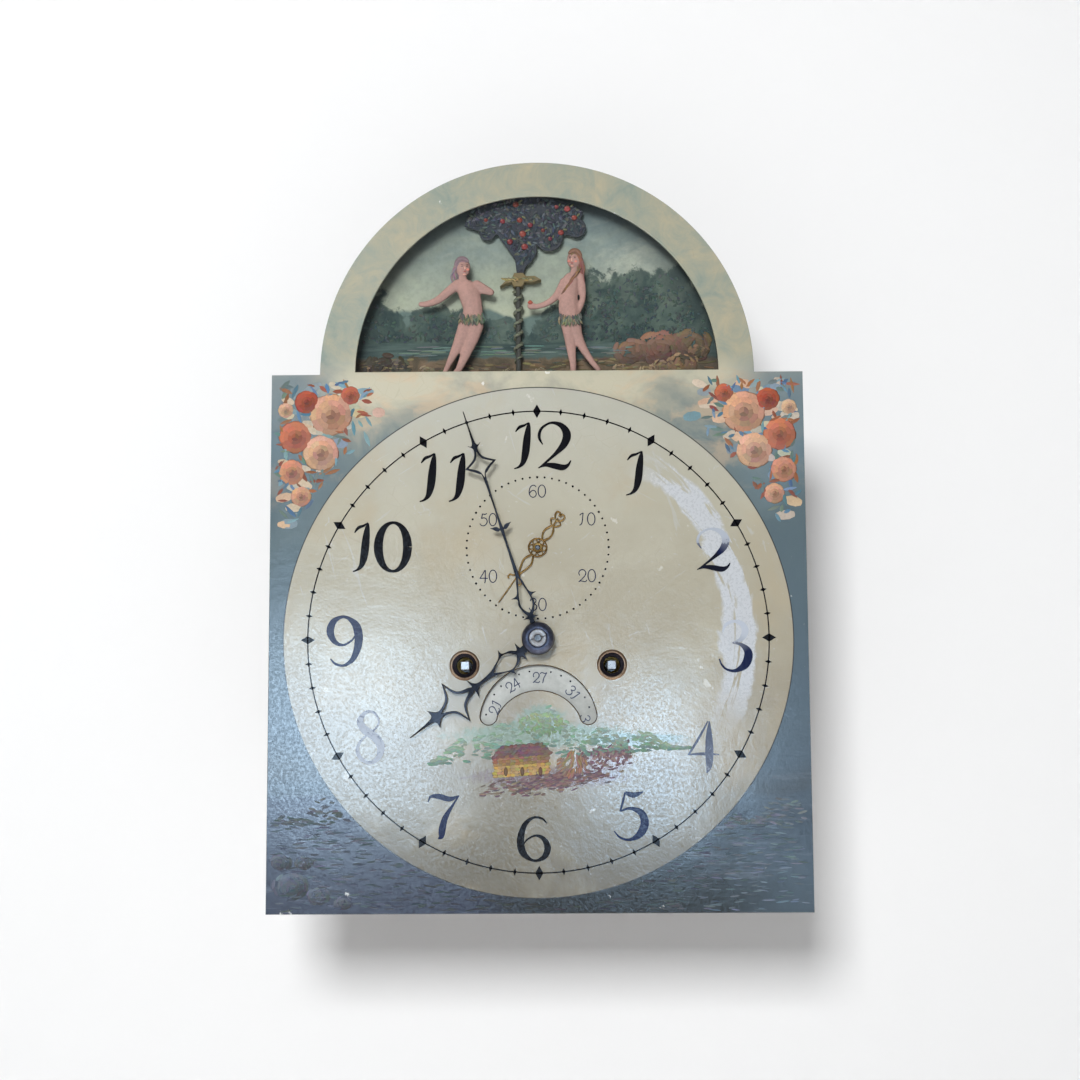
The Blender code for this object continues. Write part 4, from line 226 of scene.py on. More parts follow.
# x, z, half width, half height, colour, weight
vignetteWash = [(4, 30, 66, 9, (118, 142, 126), 0.75), (60, 27, 36, 5, (112, 138, 134), 0.7),
                (2, 40, 17, 9, (124, 150, 140), 0.7), (8, 5, 54, 8, (110, 92, 96), 0.8),
                (38, 14, 24, 6, (124, 100, 106), 0.6), (-6, 12, 22, 7, (162, 136, 94), 0.45)]


def varnish(at):
    brush = at.grain(560, 4, 0.62)
    relief = brush * 0.5 + at.grain(150, 5, 0.62, 0.5) * 0.5
    waves = (at.grain(9, 4, 0.55) * 0.5 + at.grain(16, 6, 0.62, 0.6) * 0.5).bump(0.5, 0.001)
    return brush.smooth(0.38, 0.62, 0.1, 0.22), relief.bump(0.35, 0.00022, waves)


def dialPaint(board):
    at = objectPlace(board)
    x, y, z = at.split()
    rise = z - handZ
    away = (x * x + rise * rise) ** 0.5
    turn = x.math("ARCTAN2", rise)
    drift = at.grain(9, 4, 0.55)
    cloud = at.grain(16, 6, 0.62, 0.6)
    fleck = at.grain(150, 6, 0.65, 1.6)
    polar = board.node("ShaderNodeCombineXYZ", {0: turn * 0.02, 1: away})
    streak = polar.grain(95, 6, 0.62, 0.8)
    crack = at.node("ShaderNodeTexVoronoi", {"Vector": at, "Scale": 105}, "Distance",
                    feature="DISTANCE_TO_EDGE")
    hairs = None
    for angle, scale in ((0.6, 62), (-0.5, 54), (1.9, 70)):
        leaning = at.node("ShaderNodeVectorRotate", {"Vector": at, "Angle": angle}, rotation_type="Y_AXIS")
        hair = leaning.stretch(0.3, 1, 2.2).grain(scale, 4, 0.6, 0.7).smooth(0.66, 0.71)
        hairs = hair if hairs is None else hairs.math("MAXIMUM", hair)
    # disc: paler and cooler towards the top, which is painted reflection, and darker and warmer towards the
    # bottom; rubbed white along one arc
    lift = rise / (2 * dialTones["discEdge"]) + 0.5 + (drift - 0.5) * 0.22
    disc = lift.ramp(dialTones["discStops"])
    disc = (cloud.smooth(0.42, 0.72) * 0.22).mix(disc, (200, 198, 184))
    disc = (at.grain(13, 5, 0.6, 0.4).smooth(0.5, 0.68) * 0.34).mix(disc, dialTones["warm"])
    # underpainting of the vignette: fields, a leafy tree and a road
    for *oval, tone, weight in vignetteWash:
        blot = ovalReach(x, z, *oval) + (fleck - 0.5) * 1.1 + (drift - 0.5) * 0.5
        disc = (blot.smooth(1.05, 0.6) * weight).mix(disc, tone)
    ringNear = 1 - abs(away - dialTones["wornRing"] + (cloud - 0.5) * 0.03).smooth(0.0065, 0.0095)
    arcNear = turn.smooth(0.45, 0.75) * turn.smooth(2.1, 1.75)
    rubbed = (ringNear * arcNear * streak.smooth(0.41, 0.46)).math("MINIMUM", 1.0)
    scuffs = (fleck.smooth(0.63, 0.72) * 0.5).math("MAXIMUM", hairs * rise.smooth(-0.06, 0.03, 0.14, 0.36))
    disc = (rubbed.math("MAXIMUM", scuffs) * 0.85).mix(disc, dialTones["worn"])
    # corners: pale clouds at the top, slate water at the foot
    height = (z - dialLow.z) / (archZ - dialLow.z)
    level = height + (cloud - 0.5) * 0.42
    corner = level.ramp(dialTones["cornerStops"])
    ripple = at.stretch(0.5, 1, 5).grain(58, 5, 0.6, 0.4)
    foam = ripple.smooth(0.56, 0.68) * height.smooth(0.34, 0.18)
    corner = (foam * 0.3).mix(corner, (136, 146, 160))
    # painted shade: the corner paint darkens towards the middle of the foot, under the disc
    deep = abs(x).smooth(0.13, 0.03) * height.smooth(0.14, 0.03)
    corner = (deep * 0.9).mix(corner, (10, 16, 18))
    corner = (x.smooth(0.1, 0.16) * height.smooth(0.24, 0.06) * 0.5).mix(corner, (88, 108, 124))
    land = (height + (fleck - 0.5) * 0.04).smooth(0.218, 0.208) * x.smooth(0.0, -0.05)
    corner = (land * 0.6).mix(corner, (50, 57, 82))
    bank = height + (drift - 0.5) * 0.16
    shore = bank.smooth(0.215, 0.235) * bank.smooth(0.3, 0.24)
    corner = (shore * 0.55).mix(corner, (70, 78, 84))
    blush = at.stretch(1, 1, 1.6).grain(34, 5, 0.6, 0.5).smooth(0.5, 0.66) * height.smooth(0.7, 0.9)
    corner = (blush * 0.55).mix(corner, (196, 172, 142))
    border = (cloud * 0.6 + at.grain(60, 6, 0.68, 1.1) * 0.4).ramp(dialTones["borderStops"])
    outer = abs(x).smooth(0.112, 0.148) * (height + (cloud - 0.5) * 0.3).smooth(0.7, 0.86)
    corner = (outer * 0.85).mix(corner, (98, 118, 128))
    above = z.smooth(archZ - 0.006, archZ + 0.016)
    corner = above.mix(corner, border)
    # edge line, chips and the dark of the edges
    inside = away.smooth(dialTones["discEdge"] + 0.0002, dialTones["discEdge"] - 0.0002)
    colour = inside.mix(corner, disc)
    line = 1 - abs(away - dialTones["discEdge"]).smooth(dialTones["lineHalf"] * 0.6, dialTones["lineHalf"])
    colour = (line * 0.88).mix(colour, dialTones["line"])
    chip = at.grain(74, 5, 0.6).smooth(0.7, 0.73)
    colour = (chip * 0.7 * (1 - inside * 0.5)).mix(colour, (226, 226, 222))
    cracked = crack.smooth(0.02, 0.0) * cloud.smooth(0.5, 0.65)
    colour = (cracked * 0.12).mix(colour, (96, 84, 62))
    rear = y.smooth(dialBack - 0.0007, dialBack - 0.0003)
    colour = rear.mix(colour, fleck.mix((60, 54, 50), dialTones["iron"]))
    gloss, normal = varnish(at)
    rough = gloss + rubbed * 0.14 + rear * 0.4 + (1 - inside) * 0.03
    return {"Base Color": colour, "Roughness": rough, "Normal": normal}


def tintPaint(board):
    tint = board.node("ShaderNodeAttribute", out="Color", attribute_name="tint")
    at = objectPlace(board)
    hair = at.grain(700, 4, 0.6)
    cloud = at.grain(120, 4, 0.6)
    dull = (hair * 0.6 + cloud * 0.4).smooth(0.35, 0.7)
    return {"Base Color": (dull * 0.32).mix(tint, (96, 92, 86)),
            "Roughness": cloud.smooth(0.3, 0.7, 0.42, 0.58),
            "Normal": (hair * 0.7 + cloud * 0.3).bump(0.3, 0.0003)}


def inkPaint(board):
    wear = board.node("ShaderNodeAttribute", out="Fac", attribute_name="wear")
    at = objectPlace(board)
    fleck = at.grain(210, 6, 0.68, 0.9)
    worn = (fleck + (wear - 0.5)).smooth(0.47, 0.56)
    tone = at.grain(48, 4, 0.6).mix((5, 5, 10), (22, 22, 27))
    # partly real wear and partly painted reflection: with more wear the ink turns navy and fades towards a
    # pale blue, the bluish glare on the varnish
    tone = wear.smooth(0.03, 0.14).mix(tone, (18, 26, 62))
    rough, normal = varnish(at)
    fadeAndGlare = ((wear - 0.16).math("MAXIMUM", 0.0) * 0.75 + worn * 0.4).math("MINIMUM", 0.94)
    return {"Base Color": fadeAndGlare.mix(tone, (180, 187, 198)),
            "Roughness": rough, "Normal": normal}


def whitePaint(board):
    at = objectPlace(board)
    cloud = at.grain(60, 5, 0.6)
    speck = at.grain(420, 4, 0.7)
    return {"Base Color": (cloud * 0.7 + speck * 0.3).smooth(0.3, 0.7).mix((154, 156, 152), (186, 189, 186)),
            "Roughness": speck.smooth(0.3, 0.7, 0.4, 0.55),
            "Normal": speck.bump(0.15, 0.0002)}


# backdrop of the arch: sky, far hills, a wood, a lake and a bank
# x, height, wide, tall, strokes, lightness
woods = [(-104, 20, 24, 62, 110, -0.25), (-90, 18, 28, 40, 90, -0.1), (-66, 33, 30, 26, 90, 0.1),
         (-46, 30, 24, 24, 80, 0.3), (-22, 27, 26, 20, 60, 0.5), (14, 30, 26, 26, 80, 0.35),
         (36, 40, 32, 46, 150, 0.1), (60, 42, 36, 52, 170, 0.0), (84, 40, 34, 54, 160, 0.15),
         (100, 28, 22, 36, 70, 0.3)]
skyTones = dict(skyTop=(112, 128, 128), skyLow=(168, 174, 152), hill=(98, 116, 110), wood=(52, 68, 66),
                hillRise=44 * mm, woodRise=30 * mm, lakeRise=23 * mm, bankRise=13 * mm)


def landscapePaint(board):
    at = objectPlace(board)
    x, y, z = at.split()
    rise = z - archZ
    cloud = at.stretch(0.7, 1, 1.3).grain(28, 6, 0.62, 0.6)
    leaves = at.grain(95, 6, 0.68, 0.4)
    sky = (rise / 0.11 + (cloud - 0.5) * 0.8).smooth(0.25, 1.0).mix(skyTones["skyLow"], skyTones["skyTop"])
    sky = (cloud.smooth(0.52, 0.7) * 0.5).mix(sky, (186, 188, 168))
    far = at.stretch(1, 1, 0.001).grain(20, 3, 0.5)

    def below(line, key, soft, first, second):
        return line.smooth(skyTones[key] + soft, skyTones[key] - soft).mix(first, second)
    colour = below(rise - (far - 0.5) * 0.034, "hillRise", 0.0015, sky, skyTones["hill"])
    woodLine = rise - (far - 0.5) * 0.03 + (leaves - 0.5) * 0.026
    wood = leaves.smooth(0.36, 0.66).mix(skyTones["wood"], (84, 104, 94))
    colour = below(woodLine, "woodRise", 0.001, colour, wood)
    for middleX, middleZ, wide, tall, count, light in woods:
        reach = ovalReach(x, rise, middleX, middleZ, wide * 0.62, tall * 0.62)
        mass = (reach + (leaves - 0.5) * 1.1 + (cloud - 0.5) * 0.4).smooth(1.04, 0.9)
        green = leaves.smooth(0.34, 0.7).mix((44 + 26 * light, 60 + 26 * light, 60 + 22 * light),
                (78 + 30 * light, 94 + 26 * light, 84 + 24 * light))
        colour = (mass * 0.9).mix(colour, green)
    water = at.stretch(0.4, 1, 5).grain(70, 5, 0.6).smooth(0.35, 0.65).mix((52, 68, 66), (82, 99, 93))
    colour = below(rise + (leaves - 0.5) * 0.006, "lakeRise", 0.0008, colour, water)
    earth = leaves.smooth(0.34, 0.68).mix((80, 72, 56), (126, 106, 84))
    colour = below(rise + (leaves - 0.5) * 0.014, "bankRise", 0.0015, colour, earth)
    # painted shade: a dark band round the rim, where the dial's opening overhangs the backdrop
    edge = (x * x + rise * rise) ** 0.5
    colour = (edge.smooth(0.095, 0.118) * 0.6).mix(colour, (40, 46, 48))
    dabs = at.grain(240, 5, 0.65)
    colour = (dabs.smooth(0.35, 0.7) * 0.18).mix(colour, (60, 66, 64))
    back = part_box("arch_backdrop")[1].y
    rear = y.smooth(back - 0.0005, back - 0.0002)
    return {"Base Color": rear.mix(colour, dabs.mix((60, 54, 50), (90, 82, 72))),
            "Roughness": dabs.smooth(0.3, 0.7, 0.46, 0.6),
            "Normal": dabs.bump(0.3, 0.0003)}


def stagePaint(name):
    material = bpy.data.materials.new(name)
    board = freshBoard(material)
    flat = board.node("ShaderNodeBsdfDiffuse", {"Color": (0.86, 0.86, 0.86, 1)})
    mirrored = board.node("ShaderNodeLightPath", out="Is Glossy Ray")
    seen = board.node("ShaderNodeLightPath", out="Is Camera Ray").math("MAXIMUM", mirrored)
    glow = board.node("ShaderNodeEmission", {"Color": (1, 1, 1, 1), "Strength": seen * stageSettings["glow"]})
    lit = board.node("ShaderNodeAddShader", {0: flat, 1: glow})
    behind = board.node("ShaderNodeNewGeometry", out="Backfacing")
    clear = board.node("ShaderNodeBsdfTransparent")
    board.node("ShaderNodeMixShader", {0: behind, 1: lit, 2: clear}).ends("ShaderNodeOutputMaterial")
    return material


stageSettings = dict(glow=0.04, wallGap=2 * mm, floorDrop=480 * mm, half=3.2, world=0.14,
                     behind=1.0, seen=0.96)
finishes = {name: metalFinish(name, **tones) for name, tones in metalTones.items()}
finishes["oak"] = newFinish("oak", oakPaint)
finishes["dial"] = newFinish("dialPaint", dialPaint, Specular_IOR_Level=1.0)
finishes["tint"] = newFinish("brushPaint", tintPaint)
finishes["ink"] = newFinish("numeralInk", inkPaint, Specular_IOR_Level=0.28)
finishes["white"] = newFinish("whitePaint", whitePaint)
finishes["landscape"] = newFinish("landscapePaint", landscapePaint)
print("finishes mixed")


# mesh helpers
def blend(first, second, share):
    return tuple(a + (b - a) * share for a, b in zip(first, second))


def dimmed(tone, share):
    return tuple(part * share for part in tone)


def centre(low, high):
    return [(a + b) / 2 for a, b in zip(low, high)]


def polar(x, z, reach, angle):
    return x + reach * cos(angle), z + reach * sin(angle)


def oblong(left, right, low, high):
    return [(left, low), (right, low), (right, high), (left, high)]


def inMetres(points):
    return [tuple(part * mm for part in point) for point in points]


def camel(node):
    head, *rest = node.split("_")
    return head + "".join(word.capitalize() for word in rest)


def linked(name, data):
    thing = bpy.data.objects.new(name, data)
    bpy.context.scene.collection.objects.link(thing)
    return thing


def bakedMesh(holder):
    bpy.context.view_layer.update()
    mesh = bpy.data.meshes.new_from_object(holder.evaluated_get(bpy.context.evaluated_depsgraph_get()))
    data = holder.data
    bpy.data.objects.remove(holder)
    if isinstance(data, bpy.types.Curve):
        bpy.data.curves.remove(data)
    else:
        bpy.data.meshes.remove(data)
    return mesh


def welded(mesh, place=None, angle=35, turnOut=True):
    if place is not None:
        mesh.transform(place)
    work = bmesh.new()
    work.from_mesh(mesh)
    bmesh.ops.remove_doubles(work, verts=work.verts, dist=2e-6)
    bmesh.ops.dissolve_degenerate(work, edges=work.edges, dist=1e-6)
    if turnOut:
        bmesh.ops.recalc_face_normals(work, faces=work.faces)
    work.to_mesh(mesh)
    work.free()
    return softened(mesh, angle)


def settled(work, angle=None):
    mesh = bpy.data.meshes.new("part")
    work.to_mesh(mesh)
    work.free()
    if angle:
        mesh.shade_smooth()
        mesh.set_sharp_from_angle(angle=radians(angle))
    return mesh


def softened(mesh, angle=35):
    # rounded edges stay smooth while the broad faces stay flat
    mesh.shade_smooth()
    mesh.set_sharp_from_angle(angle=radians(angle))
    for polygon in mesh.polygons:
        polygon.use_smooth = abs(polygon.normal.y) < 0.9995
    return mesh


def through(points, steps=8, closed=False):
    count = len(points)
    run = []
    for k in range(count if closed else count - 1):
        near = []
        for j in (k - 1, k, k + 1, k + 2):
            near.append(points[j % count] if closed else points[min(max(j, 0), count - 1)])
        for step in range(steps):
            t = step / steps
            run.append(tuple(b + 0.5 * t
                             * (c - a + t * (2 * a - 5 * b + 4 * c - d + t * (3 * b - a - 3 * c + d))) for a,
                             b, c, d in zip(*near)))
    if not closed:
        run.append(tuple(points[-1]))
    return run


def arcRun(x, z, radius, start, end, count):
    angles = [radians(start + (end - start) * k / count) for k in range(count + 1)]
    return [polar(x, z, radius, angle) for angle in angles]


def ringRun(x, z, radius, count=48):
    return arcRun(x, z, radius, 0, 360, count)[:-1]


def flatMesh(loops, front, back, edge=0.2 * mm, rounds=2, angle=35):
    curve = bpy.data.curves.new("part", "CURVE")
    curve.dimensions = "2D"
    curve.fill_mode = "BOTH"
    curve.extrude = (back - front) / 2 - edge
    curve.bevel_depth = edge
    curve.bevel_resolution = rounds
    curve.offset = -edge
    for loop in loops:
        spline = curve.splines.new("POLY")
        spline.points.add(len(loop) - 1)
        for point, (x, z) in zip(spline.points, loop):
            point.co = (x, z, 0, 1)
        spline.use_cyclic_u = True
    mesh = bakedMesh(linked("part", curve))
    return welded(mesh, Matrix.Translation((0, (front + back) / 2, 0)) @ upright, angle)


def turnedMesh(profile, x, z, sides=64, closed=False, angle=35):
    work = bmesh.new()
    rings = []
    for radius, y in profile:
        if radius < 1e-6:
            rings.append([work.verts.new((x, y, z))])
        else:
            rings.append([work.verts.new((x + radius * cos(tau * k / sides), y,
                    z + radius * sin(tau * k / sides))) for k in range(sides)])
    pairs = list(zip(rings, rings[1:]))
    if closed:
        pairs.append((rings[-1], rings[0]))
    for first, second in pairs:
        for k in range(sides):
            corner = [first[k % len(first)], first[(k + 1) % len(first)],
                      second[(k + 1) % len(second)], second[k % len(second)]]
            corner = list(dict.fromkeys(corner))
            if len(corner) > 2:
                work.faces.new(corner)
    bmesh.ops.recalc_face_normals(work, faces=work.faces)
    return settled(work, angle)


def lathed(x, z, profile, sides=40, closed=False):
    return turnedMesh(inMetres(profile), x, z, sides, closed)


def tubeMesh(route, radii, sides=12, squeeze=1.0):
    points = [Vector(point) for point in route]
    if not isinstance(radii, (list, tuple)):
        radii = [radii] * len(points)
    work = bmesh.new()
    rings = []
    side = None
    for k, point in enumerate(points):
        along = (points[min(k + 1, len(points) - 1)] - points[max(k - 1, 0)]).normalized()
        if side is None:
            side = along.orthogonal().normalized()
            if abs(along.y) < 0.9:
                side = along.cross(Vector((0, 1, 0))).normalized()
        side = (side - along * side.dot(along)).normalized()
        up = along.cross(side)
        ring = []
        for j in range(sides):
            angle = tau * j / sides
            ring.append(work.verts.new(point + radii[k] * (side * cos(angle) + up * sin(angle) * squeeze)))
        rings.append(ring)
    for first, second in zip(rings, rings[1:]):
        for j in range(sides):
            work.faces.new((first[j], first[(j + 1) % sides], second[(j + 1) % sides], second[j]))
    work.faces.new(reversed(rings[0]))
    work.faces.new(rings[-1])
    bmesh.ops.recalc_face_normals(work, faces=work.faces)
    return settled(work, 45)


layerFields = {"FLOAT": "value", "FLOAT_VECTOR": "vector", "FLOAT_COLOR": "color"}


def marked(mesh, name, kind, values):
    mesh.attributes.new(name, kind, "POINT").data.foreach_set(layerFields[kind], values)
    return mesh


def assembled(name, parts):
    whole = bmesh.new()
    used, tones = [], []
    for mesh, finish in parts:
        if finish not in used:
            used.append(finish)
        layer = mesh.attributes.get("tint")
        own = [0.5] * (4 * len(mesh.vertices))
        if layer:
            layer.data.foreach_get("color", own)
            mesh.attributes.remove(layer)
        tones += own
        start = len(whole.faces)
        whole.from_mesh(mesh)
        whole.faces.ensure_lookup_table()
        for face in whole.faces[start:]:
            face.material_index = used.index(finish)
        bpy.data.meshes.remove(mesh)
    mesh = bpy.data.meshes.new(name)
    whole.to_mesh(mesh)
    whole.free()
    if "tint" in used:
        marked(mesh, "tint", "FLOAT_COLOR", tones)
    for finish in used:
        mesh.materials.append(finishes[finish])
    return linked(name, mesh)


def seated(piece, body, slotName, *nodes):
    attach(piece, body)
    if nodes:
        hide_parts(*nodes)


def placed(name, parts, body, slotName, *nodes):
    seated(assembled(name, parts), body, slotName, *nodes)


# geometry node trees
def newTree(name, inputs):
    tree = bpy.data.node_groups.new(name, "GeometryNodeTree")
    tree.interface.new_socket("Geometry", in_out="INPUT", socket_type="NodeSocketGeometry")
    for key, kind in inputs.items():
        tree.interface.new_socket(key, in_out="INPUT", socket_type="NodeSocket" + kind)
    tree.interface.new_socket("Geometry", in_out="OUTPUT", socket_type="NodeSocketGeometry")
    entry = tree.nodes.new("NodeGroupInput")
    given = {key: Wire(tree, entry.outputs[key]) for key in ("Geometry", *inputs)}
    return tree, Wire(tree), given


def closeTree(shape, finish):
    real = shape.node("GeometryNodeRealizeInstances", {"Geometry": shape})
    shape.node("GeometryNodeSetMaterial", {"Geometry": real, "Material": finish}).ends("NodeGroupOutput")


def grownMesh(name, tree, values, base=None):
    holder = linked(name, base or bpy.data.meshes.new(name))
    modifier = holder.modifiers.new("grow", "NODES")
    modifier.node_group = tree
    for item in tree.interface.items_tree:
        if item.item_type == "SOCKET" and item.in_out == "INPUT" and item.name in values:
            modifier[item.identifier] = values[item.name]
    return bakedMesh(holder)


def buildMarkTree():
    tree, board, given = newTree("ring of marks", {"Count": "Int", "Sides": "Int", "Radius": "Float",
            "Small": "Vector", "Large": "Vector", "Every": "Int", "Line Width": "Float", "Height": "Float",
            "Line": "Bool", "Finish": "Material"})
    circle = board.node("GeometryNodeMeshCircle", {"Vertices": given["Count"], "Radius": given["Radius"]})
    index = board.node("GeometryNodeInputIndex")
    isLarge = index.math("MODULO", given["Every"]).math("COMPARE", 0.0)
    size = board.node("ShaderNodeMix", {0: isLarge, 4: given["Small"], 5: given["Large"]}, 1,
                      data_type="VECTOR")
    turn = board.node("ShaderNodeCombineXYZ", {2: index * tau / given["Count"]})
    mark = board.node("GeometryNodeMeshCylinder", {"Vertices": given["Sides"], "Radius": 1.0, "Depth": 1.0})
    marks = board.node("GeometryNodeInstanceOnPoints", {"Points": circle, "Instance": mark,
            "Rotation": turn, "Scale": size})
    path = board.node("GeometryNodeCurvePrimitiveCircle", {"Resolution": 288, "Radius": given["Radius"]})
    section = board.node("GeometryNodeCurvePrimitiveQuadrilateral",
                         {"Width": given["Line Width"], "Height": given["Height"]})
    line = board.node("GeometryNodeCurveToMesh", {"Curve": path, "Profile Curve": section})
    chosen = board.node("GeometryNodeSwitch", {"Switch": given["Line"], "True": line}, input_type="GEOMETRY")
    both = board.node("GeometryNodeJoinGeometry", {"Geometry": [marks, chosen]})
    closeTree(both, given["Finish"])
    return tree


def buildDabTree():
    tree, board, given = newTree("dabs on points", {"Pointed": "Float", "Finish": "Material"})
    ball = board.node("GeometryNodeMeshUVSphere", {"Segments": 8, "Rings": 5, "Radius": 1.0})
    place = board.node("GeometryNodeInputPosition")
    turned = board.node("ShaderNodeVectorRotate", {"Vector": place, "Angle": pi / 2}, rotation_type="Y_AXIS")
    x, y, z = turned.split()
    narrow = 1 - given["Pointed"] * (abs(x) ** 1.4)
    leaf = board.node("ShaderNodeCombineXYZ", {0: x, 1: y * narrow, 2: z})
    dab = board.node("GeometryNodeSetPosition", {"Geometry": ball, "Position": leaf})

    def stored(name, kind):
        return board.node("GeometryNodeInputNamedAttribute", {"Name": name}, "Attribute", data_type=kind)
    turn = board.node("ShaderNodeCombineXYZ", {2: stored("spin", "FLOAT")})
    copies = board.node("GeometryNodeInstanceOnPoints", {"Points": given["Geometry"], "Instance": dab,
            "Rotation": turn, "Scale": stored("span", "FLOAT_VECTOR")})
    closeTree(copies, given["Finish"])
    return tree


markTree = buildMarkTree()
dabTree = buildDabTree()


def dabPiece(name, dabs, face, pointed=0.0, datum=0.0, unit=mm):
    # each dab: x, z above the datum, lift, length, width, thickness, turn in degrees, colour
    base = bpy.data.meshes.new(name)
    base.from_pydata([(x * unit, datum + z * unit, lift * unit) for x, z, lift, *rest in dabs], [], [])
    marked(base, "spin", "FLOAT", [radians(dab[6]) for dab in dabs])
    marked(base, "span", "FLOAT_VECTOR", [part * unit / 2 for dab in dabs for part in dab[3:6]])
    marked(base, "tint", "FLOAT_COLOR", [part for dab in dabs for part in shade(*dab[7])])
    mesh = grownMesh(name, dabTree, {"Pointed": pointed, "Finish": finishes["tint"]}, base)
    mesh.transform(Matrix.Translation((0, face, 0)) @ upright)
    mesh.shade_smooth()
    return linked(name, mesh)


def scattered(chance):
    # angle and reach of a spot in a round patch
    return chance.uniform(0, tau), sqrt(chance.uniform(0, 1))


def near(colour, spread, chance):
    return tuple(min(255, max(12, part + chance.uniform(-spread, spread))) for part in colour)


print("trees built")


# the dial sheet, with round-edged holes
dialShape = dict(openingRadius=113 * mm, sillRise=1.5 * mm, windingHole=6 * mm, secondsHole=3 * mm,
                 centreHole=8 * mm, dateOuter=35.8 * mm, dateInner=28.3 * mm, dateDrop=7.5 * mm,
                 dateEndRise=5 * mm, edge=0.35 * mm)


def dateLoop(grow=0.0):
    outer = dialShape["dateOuter"] + grow
    inner = dialShape["dateInner"] - grow
    rise = dialShape["dateEndRise"]
    drop = dialShape["dateDrop"]
    xOut = sqrt(outer ** 2 - rise ** 2)
    xIn = sqrt(inner ** 2 - (rise + drop) ** 2)
    start = degrees(asin(rise / outer))
    within = degrees(asin((rise + drop) / inner))
    middle = (xOut + xIn) / 2
    loop = arcRun(dateX, dateZ, outer, start, 180 - start, 56)
    loop += arcRun(dateX - middle, dateZ + rise, (xOut - xIn) / 2, 180, 360, 14)[1:-1]
    loop += arcRun(dateX, dateZ - drop, inner, 180 - within, within, 48)
    return loop + arcRun(dateX + middle, dateZ + rise, (xOut - xIn) / 2, 180, 360, 14)[1:-1]


def makeDial():
    sill = degrees(asin(dialShape["sillRise"] / dialShape["openingRadius"]))
    outline = [(-dialHalf, dialLow.z), (dialHalf, dialLow.z), (dialHalf, archZ)]
    outline += arcRun(0, archZ, archRadius, 0, 180, 120) + [(-dialHalf, archZ)]
    loops = [outline, arcRun(0, archZ, dialShape["openingRadius"], sill, 180 - sill, 110), dateLoop()]
    loops.append(ringRun(handX, handZ, dialShape["centreHole"]))
    loops.append(ringRun(secondsX, secondsZ, dialShape["secondsHole"], 32))
    for joint in ("going_winding", "strike_winding"):
        loops.append(ringRun(*spot(joint), dialShape["windingHole"]))
    mesh = flatMesh(loops, dialFront, dialBack, dialShape["edge"])
    placed("dialSheet", [(mesh, "dial")], "frame", "dial_paint", "dial_plate")


makeDial()


# eyelets in the winding holes, and the fine rim of the date opening
eyelet = dict(bore=5.3 * mm, dark=7.4 * mm, outer=9.2 * mm, proud=0.7 * mm, depth=14 * mm)


def makeEyelets(bore, dark, outer, proud, depth):
    for joint, name in (("going_winding", "eyeletRight"), ("strike_winding", "eyeletLeft")):
        x, z = spot(joint)
        low = dialFront - proud
        tube, back = dialShape["windingHole"] - 0.05 * mm, dialFront - 0.03 * mm
        lathe = [(dark, back), (dark, low + 0.1 * mm), (dark + 0.4 * mm, low - 0.05 * mm),
                 (outer - 0.7 * mm, low + 0.05 * mm), (outer, back)]
        deep = dialFront + depth
        # painted shade: a black sleeve behind the winding hole stands in for the shade inside it
        sleeve = [(bore, low + 0.45 * mm), (bore, deep), (tube, deep), (tube, back),
                  (dark + 0.05 * mm, back), (dark + 0.05 * mm, low + 0.25 * mm)]
        parts = [(turnedMesh(lathe, x, z, 64, True), "copperRing"),
                 (turnedMesh(sleeve, x, z, 48, True), "blackWax")]
        placed(name, parts, "frame", "brass")
    rim = [(x, dialFront - 0.04 * mm, z) for x, z in dateLoop(0.3 * mm)]
    ring = tubeMesh(rim + rim[:1], 0.26 * mm, 6, 0.6)
    placed("dateRim", [(ring, "dateEdge")], "frame", "dial_paint")


makeEyelets(**eyelet)
print("dial sheet and eyelets made")


